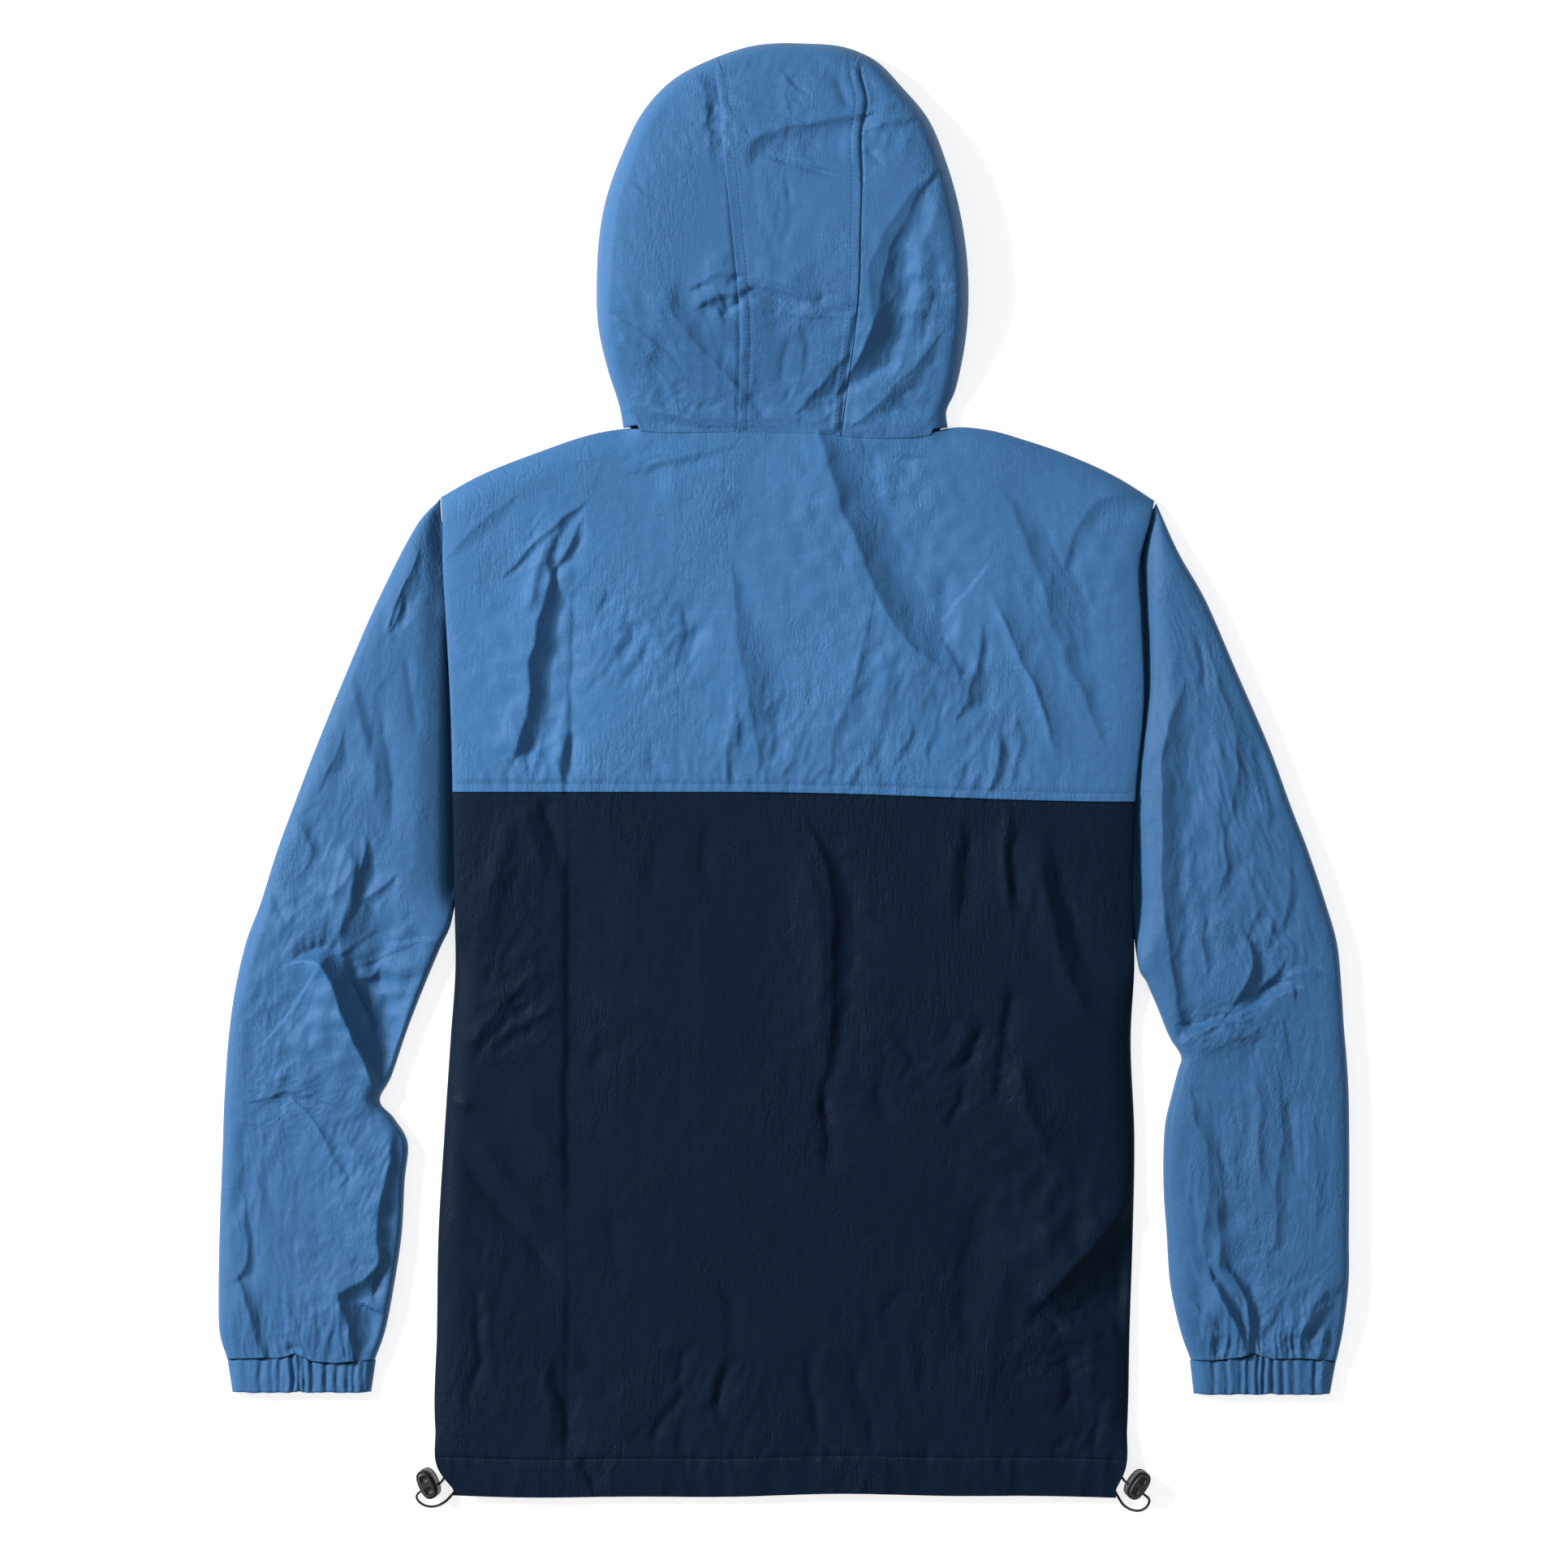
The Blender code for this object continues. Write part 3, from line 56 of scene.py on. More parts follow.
MM = 0.001
LEFT, RIGHT = -1, 1
WORDS = {LEFT: "left", RIGHT: "right"}


def table(columns, rows):
    """Rows of values with named columns."""
    row = namedtuple("Row", columns)
    return [row(*values) for values in rows]


# --- sizes shared with the solids -----------------------------------------------------
BODY_LOFT = 14.0 * MM
HEM_LOFT = 10.5 * MM
SLEEVE_LOFT = 17.0 * MM
CUFF_LOFT = 12.0 * MM
HOOD_LOFT = 40.0 * MM
FOLD_HEIGHT = 4.5 * MM
BODY_ROUNDING = 20.0 * MM
SLEEVE_ROUNDING = 13.0 * MM
HOOD_ROUNDING = 42.0 * MM
ARMHOLE_HEIGHT = 11.4 * MM
SIDE_RETURN = 26.0 * MM
SHOULDER_RETURN = 24.0 * MM
NECK_RETURN = 6.0 * MM
UNDERARM = {LEFT: -106.0 * MM, RIGHT: -135.0 * MM}
NECK_HALF = {LEFT: 110.9 * MM, RIGHT: 113.0 * MM}
NECK_CORNER_Y = 235.8 * MM
FRONT_NECK_Y = 165.0 * MM
FRONT_NECK_BOW = 16.0 * MM
SLIT_BOTTOM_Y = 10.0 * MM
SLIT_WIDTH = 0.8 * MM
HEM_CORNER_OPEN = 18.0 * MM
YOKE_SEAM_Y = -14.6 * MM
YOKE_SEAM_DROP = 6.7 * MM
HEM_Y = -500.6 * MM
SIDE_EASE = 40.0 * MM
SHOULDER_EASE = 70.0 * MM
NECK_EASE = 18.0 * MM
NECK_MARGIN = 4.0 * MM
LOFT_RISE = 330.0 * MM
FOLD_MARGIN = 12.0 * MM     # folds die out this near to a body edge
CURVED_GAP = 0.9 * MM
LAP = 3.0 * MM              # how far one piece runs on under its neighbour at a seam
HEM_CASING = 25.5 * MM      # turned hem, up to its stitch line
YOKE_STITCH = 5.6 * MM      # stitch line above the yoke's edge
HOOD_STITCH = 6.2 * MM      # stitch line beside each long hood seam

# The body's sides and the line of its shoulders and neck (mm).
BODY = table("y left right", [
    (-496, -228, 229), (-485, -237, 234.5), (-454, -240.8, 236.9), (-387, -239.7, 238.6),
    (-320, -238.6, 240.8), (-252, -234.6, 241.9), (-185, -230.2, 239.4), (-135, -226.8, 241.6),
    (-85, -227.4, 240.8), (-20, -228.5, 242.4), (50, -230.4, 248.4), (105, -233.4, 246.6),
    (145, -235.6, 245.6), (172, -235.6, 252.6), (190, -237, 256.4),
])
TOP_LINE = table("x y", [
    (-237, 188.5), (-215, 201), (-174, 218), (-119.3, 234.6), (-110.9, 235.6), (-86, 234.2), (-33, 235),
    (19, 234), (74, 230), (98, 231.8), (113, 236), (143, 234.6), (164.6, 228.5), (197, 217.3), (232, 201),
    (256.4, 185.5),
])
# The outer fold's point, the inner edge's point (mm, x from the middle outwards), how far
# the head tucks under the back, whether the ring is closed, the inner edge's height.
SLEEVE_SECTION = "outer_x outer_y inner_x inner_y tuck closed inner_z"
LEFT_SLEEVE = table(SLEEVE_SECTION, [
    (237.6, 187.4, None, 168, -0.4, 0, 7), (255, 167, None, 125, 3, 0, 9.3),
    (280.6, 117, None, 70, 5, 0, 9.3), (302.5, 66.6, None, 20, 5, 0, 9.3),
    (323, 16.2, None, -30, 5, 0, 9.3), (339.5, -27, None, -75, 4, 0, 9.3),
    (350.5, -57, 228.3, -103.5, 0, 1, 8), (361.5, -92, 237, -124, 0, 1, 6),
    (371.3, -118.2, 248.6, -151.8, 0, 1, 4.5), (379.1, -151.8, 259.5, -180, 0, 1, 4.5),
    (383.6, -185.4, 270, -211, 0, 1, 4.5), (386, -219, 278, -228, 0, 1, 5.5),
    (387, -240, 268, -240.5, 0, 1, 5), (387.5, -258, 258.8, -257.5, 0, 1, 4.5),
    (388.6, -286, 261, -284, 0, 1, 4.5), (389.8, -320, 263, -320, 0, 1, 4.5),
    (390.4, -354, 268.5, -357, 0, 1, 4.5), (389.8, -387, 274.4, -387, 0, 1, 4.5),
    (384.6, -406, 281.4, -406, 0, 1, 4.5),
])
RIGHT_SLEEVE = table(SLEEVE_SECTION, [
    (257, 184.2, None, 165, 5, 0, 7), (272.2, 150.6, None, 110, 5, 0, 9.3),
    (291.2, 117, None, 65, 5, 0, 9.3), (312.5, 68, None, 15, 5, 0, 9.3),
    (334.9, 16.2, None, -35, 5, 0, 9.3), (350, -25, None, -85, 4, 0, 9.3), (362, -56, 243, -132, 0, 1, 8),
    (374, -92, 249.6, -147, 0, 1, 6), (381.9, -120, 256.5, -163, 0, 1, 4.5),
    (385, -152, 265, -184, 0, 1, 4.5), (386.5, -176, 273, -197.5, 0, 1, 5.5),
    (388.5, -200, 270.8, -208, 0, 1, 5), (389.8, -222, 267, -223, 0, 1, 4.5),
    (390.2, -247, 261.8, -247.5, 0, 1, 4.5), (390.3, -286, 261, -286, 0, 1, 4.5),
    (390, -320, 263.2, -320, 0, 1, 4.5), (389.8, -354, 265.7, -355, 0, 1, 4.5),
    (385.8, -387, 272.7, -387, 0, 1, 4.5), (381.4, -406.6, 279.8, -406.6, 0, 1, 4.5),
])
SLEEVES = {LEFT: LEFT_SLEEVE, RIGHT: RIGHT_SLEEVE}
CUFFS = table("side outer_top inner_top outer_end inner_end y_top y_end", [
    (LEFT, 384.3, 281.7, 380.8, 285.0, -406.4, -429.2), (RIGHT, 381.1, 280.1, 376.9, 282.8, -407.0, -430.6),
])
# Where a cuff's gathers lie (mm from the middle) and how deep each one is.
GATHER = "x depth width"
CUFF_GATHERS = {
    LEFT: table(GATHER, [
        (372, 0.5, 2.4), (361, 0.7, 2), (353, 0.6, 1.6), (347.5, 0.8, 1.5), (338.8, 1.8, 1.5),
        (334.3, 1.3, 1.3), (331, 1.2, 1.2), (325.4, 1.3, 1.5), (316, 1.2, 1.6), (308, 1, 1.6),
        (300.5, 1.1, 1.5), (296, 1, 1.5), (290, 0.8, 1.6), (285.6, 0.7, 1.4),
    ]),
    RIGHT: table(GATHER, [
        (296.2, 0.8, 2), (305.2, 0.9, 1.6), (315.3, 0.9, 1.7), (319.8, 1.8, 1.3), (322.3, 1.3, 1.2),
        (327, 1.4, 1.3), (330.6, 1.9, 1.3), (336.6, 1.2, 1.5), (344.4, 0.9, 1.8), (352, 0.8, 1.8),
        (366.2, 1.5, 1.4), (369, 1.1, 1.3),
    ]),
}
# How far the seam over a cuff strays along the sleeve (mm).
SEAM_STRAY = "x rise"
CUFF_SEAMS = {
    LEFT: table(SEAM_STRAY, [
        (283, -0.5), (296, -1.5), (310, -2.8), (325, -1.5), (333, 2), (338, 4), (342, 2), (350, 0.5),
        (360, 0.8), (383, 0),
    ]),
    RIGHT: table(SEAM_STRAY, [
        (281, -0.2), (298, -0.3), (308, 1), (315, 1.8), (324, 4.6), (330, 2.5), (337, 0.8), (345, 0.8),
        (356, 1.2), (381, -0.8),
    ]),
}
# The hood's outline, its two long seams and its face edge (mm).
HOOD_OUTLINE = table("x y", [
    (-110.9, 236.2), (-113.6, 251), (-121, 274), (-128.4, 307), (-129.4, 338), (-123.8, 391), (-110.9, 428),
    (-98.6, 453), (-79, 475), (-48.7, 491.5), (-20, 500.4), (12, 501.8), (45.9, 498), (63, 490), (82, 471),
    (98, 452), (113.1, 416.6), (122.6, 380), (127.3, 338), (126.9, 312), (122.5, 280), (117.5, 260),
    (112, 247), (113, 236.6),
])
HOOD_SEAMS = table("y left right", [
    (234.5, -32.5, 38.6), (274, -30.8, 42.6), (304, -30, 47.6), (333, -31.6, 51), (370, -35.5, 52.1),
    (407, -39.6, 53), (438, -42.4, 52.4), (461, -44.2, 56), (478, -46.6, 52),
])
HOOD_SEAM_TOP = 478.0 * MM
FACE_EDGE = table("x y", [
    (2, 165), (34, 196), (60, 244), (70, 300), (71, 352), (66, 400), (46, 440),
])
FACE_EDGE_CROWN_Y = 446.0 * MM
CROWN_REACH = 16 * MM
EDGE_REACH = 16 * MM
RISE_FROM_Y = 232 * MM
RISE_LENGTH = 110 * MM
FALL_FROM_Y = 400 * MM
FALL_LENGTH = 90 * MM
CROWN_SHARE = 0.72
NECK_SHARPNESS = 6
CROWN_HALF = 45.6 * MM
CROWN_END_BOW = 6 * MM

LOCK_LENGTH = 21.0 * MM
LOCK_BREADTH = 12.4 * MM
LOCK_ROUNDNESS = 2.6
BARREL_HEIGHT = 13.5 * MM
BARREL_WALL = 1.5 * MM
BARREL_FLOOR = 1.6 * MM
PLUNGER_CLEARANCE = 0.25 * MM
PLUNGER_BOTTOM = 5.0 * MM
PLUNGER_TOP = 17.0 * MM
PLUNGER_TRAVEL = 3.0 * MM
CORD_DIAMETER = 1.8 * MM
CORD_CLEARANCE = 0.4 * MM
CORD_HEIGHT = 8.0 * MM
HOLE_OFFSET = 3.2 * MM
LOCK_TILT = math.radians(8)
LOCKS = table("name x y turn flank", [
    ("left", -244.4, -491.6, math.radians(-66), -1), ("right", 242.9, -492.2, math.radians(-124), 1),
])
# The cord from the hem round its loop to the lock, and from the lock back to the hem (mm).
CORD_POINT = "x y z"
CORD_LOOPS = {
    "left": table(CORD_POINT, [
        (-219, -489, 3.4), (-225.5, -495.5, 2.8), (-230, -501.2, 1.6), (-234.6, -505.6, 1),
        (-240.2, -508.2, 0.95), (-246, -508.4, 1), (-251, -506.2, 1.7), (-253.6, -502.4, 3.6),
    ]),
    "right": table(CORD_POINT, [
        (221, -489.5, 3.4), (227, -495.5, 2.8), (231.2, -502.6, 1.6), (235, -508, 1), (240.6, -511, 0.95),
        (246.4, -511.2, 1.1), (250.9, -508.2, 2.2), (252.2, -503.9, 4.4),
    ]),
}
CORD_TAILS = {
    "left": table(CORD_POINT, [(-231.5, -484.5, 5.6), (-224.5, -482, 4.2)]),
    "right": table(CORD_POINT, [(229.6, -484, 5.8), (222.5, -481.5, 4.2)]),
}
CORD_STUB = 2.4 * MM
CORD_STATIONS = (1.0, 0.35, -0.35, -0.8)

# --- folds, placed one by one ---------------------------------------------------------
# A fold's line (mm), its width, its height (below 0 presses the cloth in), how much wider
# its left side (as it runs) is than its right one, and how sharp its crest is: 2 is soft.
CREASE = "width height skew power line"
BACK_CREASES = table(CREASE, [
    # ridge between the bands of the knot, storage fold, crumple beside it
    (4, 1.6, 0, 1.6, [(-150, 172), (-164, 152), (-172, 128), (-178, 104)]),
    (9, -1, 0.75, 1.2, [(-144, 150), (-146, 90), (-147, 30), (-148, -14)]),
    (4, -0.8, 0, 1.4, [(-120, 128), (-126, 108), (-134, 92)]),
    (4.2, -1, 0.2, 1.4, [(-104, 104), (-106, 88), (-118, 76)]),
    (3.6, -0.9, 0, 1.4, [(-92, 96), (-96, 80), (-108, 64), (-114, 54)]),
    (4, -1.1, 0.2, 1.4, [(-70, 118), (-66, 96), (-70, 80), (-78, 62)]),
    (3.4, -0.9, 0, 1.4, [(-60, 106), (-62, 86), (-72, 68)]),
    (4.5, -0.7, 0, 1.5, [(-126, 70), (-112, 64), (-98, 62)]),
    # bright ridge right of the middle
    (5, 2.1, 0.4, 1.3, [(142, 129), (150, 105), (160, 84), (170, 63), (179, 40), (185, 18), (186, 0)]),
    (8, 1, 0, 1.9, [(-90, 196), (-60, 190), (-30, 178)]),
    # small puckers over the yoke's seam
    (3, 0.9, 0, 1.4, [(-31, 40), (-33, 20), (-30, 0)]),
    (3.4, -1.1, 0, 1.4, [(-172, 26), (-176, 10), (-172, -8)]),
    (3.2, -1.1, 0, 1.4, [(-152, 28), (-148, 10), (-148, -8)]),
    (2.8, 0.9, 0, 1.4, [(-165, 22), (-166, 4), (-163, -10)]),
    (3, -0.8, 0, 1.4, [(70, 24), (66, 10), (68, -6)]),
    (3.2, -0.7, 0, 1.4, [(-90, 24), (-92, 8), (-90, -6)]),
    # lower back, left
    (15, -2, 0.8, 1.3, [(-147, -16), (-148, -90), (-149, -170), (-149, -260), (-149, -340)]),
    (9, -1, 0.8, 1.3, [(-149, -320), (-149, -400), (-150, -452), (-151, -496)]),
    (5.5, -2, 0.2, 1.5, [(-170, -16), (-161, -42), (-150, -72)]),
    (5, 1.2, 0, 1.6, [(-181, -20), (-172, -48), (-163, -76)]),
    (9, 2, 0.4, 1.8, [(-184, -22), (-196, -62), (-208, -104), (-213, -132)]),
    (4.5, 1.3, -0.2, 1.4, [(-222, -196), (-206, -176), (-192, -158), (-176, -144), (-163, -132)]),
    (4, -1.3, 0, 1.4, [(-218, -204), (-202, -184), (-186, -168), (-168, -152)]),
    (4, 0.9, 0, 1.4, [(-206, -190), (-188, -178), (-170, -168), (-153, -164)]),
    (3.4, -0.9, 0, 1.4, [(-200, -196), (-184, -184), (-164, -174)]),
    (3, -1.2, 0, 1.4, [(-190, -152), (-182, -164), (-172, -162)]),
    (3.4, 1.8, 0.1, 1.4, [(-234, -230), (-224, -229), (-214, -234)]),
    (12, 1.6, 0.3, 1.8, [(-184, -212), (-172, -240), (-158, -272), (-150, -292)]),
    (6.5, -2.2, -0.3, 1.5, [(-224, -250), (-213, -280), (-196, -302), (-176, -324), (-158, -350),
        (-150, -366)]),
    (8, 1.5, 0, 1.8, [(-214, -248), (-198, -276), (-178, -300), (-158, -326)]),
    (7, -1, -0.2, 1.7, [(-150, -372), (-140, -396), (-126, -420), (-110, -440)]),
    (4, -1.6, 0.2, 1.4, [(-214, -352), (-212, -380), (-210, -404), (-216, -430), (-220, -448)]),
    (3.6, 1, 0, 1.4, [(-206, -356), (-204, -386), (-204, -412)]),
    (3.2, -0.9, 0, 1.4, [(-224, -330), (-214, -328), (-204, -334)]),
    (5, -2.4, 0.3, 1.4, [(-160, -404), (-155, -428), (-150, -450), (-150, -478)]),
    (3.6, 1.3, 0, 1.4, [(-166, -412), (-162, -436), (-160, -466)]),
    (3.4, -1.7, 0, 1.4, [(-142, -474), (-136, -486), (-130, -498)]),
    # lower back, middle
    (5.5, -2.2, 0.2, 1.5, [(29, -206), (27, -232), (30, -256), (30, -286)]),
    (7, 1.3, 0, 1.8, [(8, -46), (18, -74), (24, -110), (25, -160), (22, -204)]),
    (3.2, -1.4, 0, 1.4, [(32, -222), (27, -230), (34, -246)]),
    (5, -0.9, 0, 1.7, [(-44, -350), (-36, -378), (-36, -404)]),
    (3.8, -1.9, 0.1, 1.4, [(-36, -402), (-42, -420), (-45, -436), (-44, -452)]),
    (3.4, 1.1, 0, 1.4, [(-44, -404), (-50, -424), (-50, -444)]),
    (3.4, -1.4, 0, 1.4, [(-68, -420), (-74, -436), (-86, -450), (-91, -470)]),
    (3.4, -1.2, 0, 1.4, [(-72, -446), (-71, -458), (-72, -472)]),
    (3.2, -1, 0, 1.4, [(-72, -398), (-70, -412), (-76, -424)]),
    (4.2, -1.2, 0, 1.5, [(15, -400), (18, -426), (22, -450), (27, -470)]),
    (4.4, -1.2, 0, 1.5, [(46, -406), (54, -432), (60, -452), (60, -474)]),
    (3.8, -0.8, 0, 1.5, [(84, -354), (72, -368), (64, -384)]),
    (5, -0.8, 0, 1.7, [(90, -380), (96, -410), (92, -440)]),
    (6, -0.8, 0, 1.7, [(-118, -300), (-118, -326), (-114, -350)]),
    (3.4, -0.9, 0, 1.5, [(-126, -180), (-128, -196), (-134, -208)]),
    (5, -0.7, 0, 1.7, [(-88, -40), (-90, -64), (-98, -84)]),
    (4.5, -0.7, 0, 1.7, [(-52, -34), (-56, -60), (-52, -84)]),
    # lower back, right
    (6.5, -2, 0.3, 1.5, [(127, -30), (127, -56), (125, -84), (119, -114)]),
    (5, 0.9, 0, 1.7, [(117, -40), (117, -70), (112, -100)]),
    (3.6, 1.8, 0, 1.4, [(157, -22), (153, -50), (153, -76), (158, -102)]),
    (3.6, -1.4, 0.1, 1.4, [(163, -36), (158, -60), (160, -84), (165, -104)]),
    (7, 2.2, 0, 1.6, [(175, -34), (178, -66), (184, -100), (192, -130), (203, -156), (215, -186)]),
    (6, -1.4, 0.2, 1.6, [(186, -52), (193, -88), (203, -120), (216, -150)]),
    (4, -1.8, 0.1, 1.4, [(138, -168), (134, -184), (126, -200), (115, -209)]),
    (3.6, -1.3, 0, 1.4, [(126, -206), (124, -222), (112, -250)]),
    (3.4, 1.2, 0, 1.4, [(130, -172), (122, -190), (110, -204)]),
    (5, -1.9, 0.2, 1.5, [(158, -140), (154, -170), (149, -200), (147, -238)]),
    (7, 2.2, 0.1, 1.7, [(162, -196), (166, -222), (174, -248), (192, -270)]),
    (5, -1.3, 0.1, 1.6, [(64, -212), (66, -230), (74, -248)]),
    (4, -1, 0, 1.5, [(78, -180), (88, -200), (98, -214)]),
    (8, 1.6, 0, 1.8, [(178, -288), (182, -318), (180, -344)]),
    (12, -1.6, 0.3, 1.9, [(140, -290), (128, -330), (124, -370), (130, -410)]),
    (10, 1.2, 0, 1.9, [(158, -320), (150, -364), (142, -410), (136, -452)]),
    (4, -2.6, 0, 1.4, [(166, -374), (174, -371), (182, -376), (194, -390)]),
    (3.8, 1.7, 0, 1.4, [(170, -366), (182, -366), (192, -376)]),
    (11, -3, 0.3, 1.7, [(192, -392), (198, -414), (196, -436), (186, -452)]),
    (7, 1.6, 0, 1.7, [(216, -386), (212, -412), (210, -440)]),
    (3, -1.6, 0, 1.4, [(226, -447), (232, -450), (238, -450)]),
    (3.4, -1.1, 0, 1.4, [(196, -456), (190, -466), (182, -472)]),
    (3.4, -1.1, 0, 1.4, [(218, -442), (214, -458), (216, -474)]),
])
HOOD_CREASES = table(CREASE, [
    (4.5, 1.6, 0, 1.5, [(-22, 345), (-6, 342), (6, 336), (18, 333)]),
    (3, 1.5, 0, 1.4, [(-54, 345), (-46, 347), (-38, 348)]),
    (3, 1.4, 0, 1.4, [(-52, 331), (-44, 332), (-36, 333)]),
    (4, -0.8, 0, 1.5, [(-24, 400), (-20, 384), (-16, 366)]),
    (4, -1, 0, 1.5, [(-24, 262), (-19, 252), (-13, 241)]),
    (3, -0.8, 0, 1.5, [(36, 480), (40, 466), (44, 452)]),
    (9, 1.6, 0, 1.8, [(110, 396), (100, 376), (94, 350), (90, 320), (84, 296)]),
    (4, -1, 0, 1.5, [(106, 330), (100, 312), (96, 296)]),
    (3.4, -1, 0, 1.4, [(56, 428), (62, 420), (70, 414)]),
    (4, 1, 0, 1.5, [(-118, 300), (-104, 291), (-88, 278)]),
    (3, -1, 0, 1.4, [(-50, 458), (-46, 450), (-38, 446)]),
    (3, -1, 0, 1.4, [(-54, 446), (-48, 440), (-42, 438)]),
    (3, -0.7, 0, 1.5, [(2, 300), (0, 280), (-2, 262)]),
    (3, -0.6, 0, 1.5, [(14, 306), (16, 286), (14, 268)]),
])
SLEEVE_CREASES = {
    LEFT: table(CREASE, [
        (5, 1.6, 0, 1.5, [(-306, -50), (-298, -64), (-306, -80), (-320, -92)]),
        (3.6, -1, 0, 1.4, [(-356, -76), (-350, -92), (-342, -106)]),
        (5, -1.2, 0.1, 1.6, [(-282, 58), (-274, 24), (-270, -12), (-273, -58)]),
        (5, 0.9, 0, 1.6, [(-290, 40), (-284, 10), (-282, -30)]),
        (4, -0.8, 0, 1.5, [(-262, 84), (-256, 50), (-252, 14)]),
        (6, 1.2, 0, 1.7, [(-330, -234), (-312, -248), (-296, -262), (-286, -280)]),
        (4, 1.2, 0, 1.5, [(-352, -214), (-340, -210), (-326, -218)]),
        (4, -1.2, 0, 1.4, [(-343, -386), (-340, -396), (-340, -406)]),
        (3.4, -1, 0, 1.4, [(-322, -372), (-320, -388), (-322, -402)]),
        (3, -1.1, 0, 1.4, [(-309, -386), (-312, -396), (-310, -404)]),
        (6, -0.9, 0, 1.7, [(-374, -240), (-372, -276), (-376, -312)]),
        (5, -0.8, 0, 1.7, [(-356, -262), (-354, -296), (-348, -324)]),
    ]),
    RIGHT: table(CREASE, [
        (6, 1.4, 0, 1.7, [(280, -194), (304, -186), (330, -176)]),
        (4.6, 1.1, 0, 1.6, [(298, 26), (304, -6), (312, -40)]),
        (4.4, 1.1, 0, 1.6, [(318, -62), (332, -86), (344, -108)]),
        (3.8, -1.1, 0, 1.5, [(326, 22), (330, -4), (338, -26), (336, -50)]),
        (3.6, -0.9, 0, 1.5, [(284, 92), (290, 72), (288, 52)]),
        (4, 1, 0, 1.6, [(320, -204), (328, -232), (326, -262), (332, -296)]),
        (3.8, -1.1, 0, 1.5, [(348, -220), (350, -250), (354, -286)]),
        (4.4, 1.4, 0, 1.5, [(294, -346), (303, -366), (309, -384), (312, -402)]),
        (4.4, 1.4, 0, 1.5, [(380, -366), (364, -376), (352, -394)]),
        (4, -1.3, 0, 1.5, [(341, -366), (338, -380), (332, -392), (330, -404)]),
        (3.2, -1.3, 0, 1.4, [(366, -384), (364, -394), (366, -404)]),
        (3.2, -1, 0, 1.4, [(300, -388), (299, -396), (301, -404)]),
        (3.2, -1, 0, 1.4, [(352, -388), (350, -396), (351, -404)]),
    ]),
}
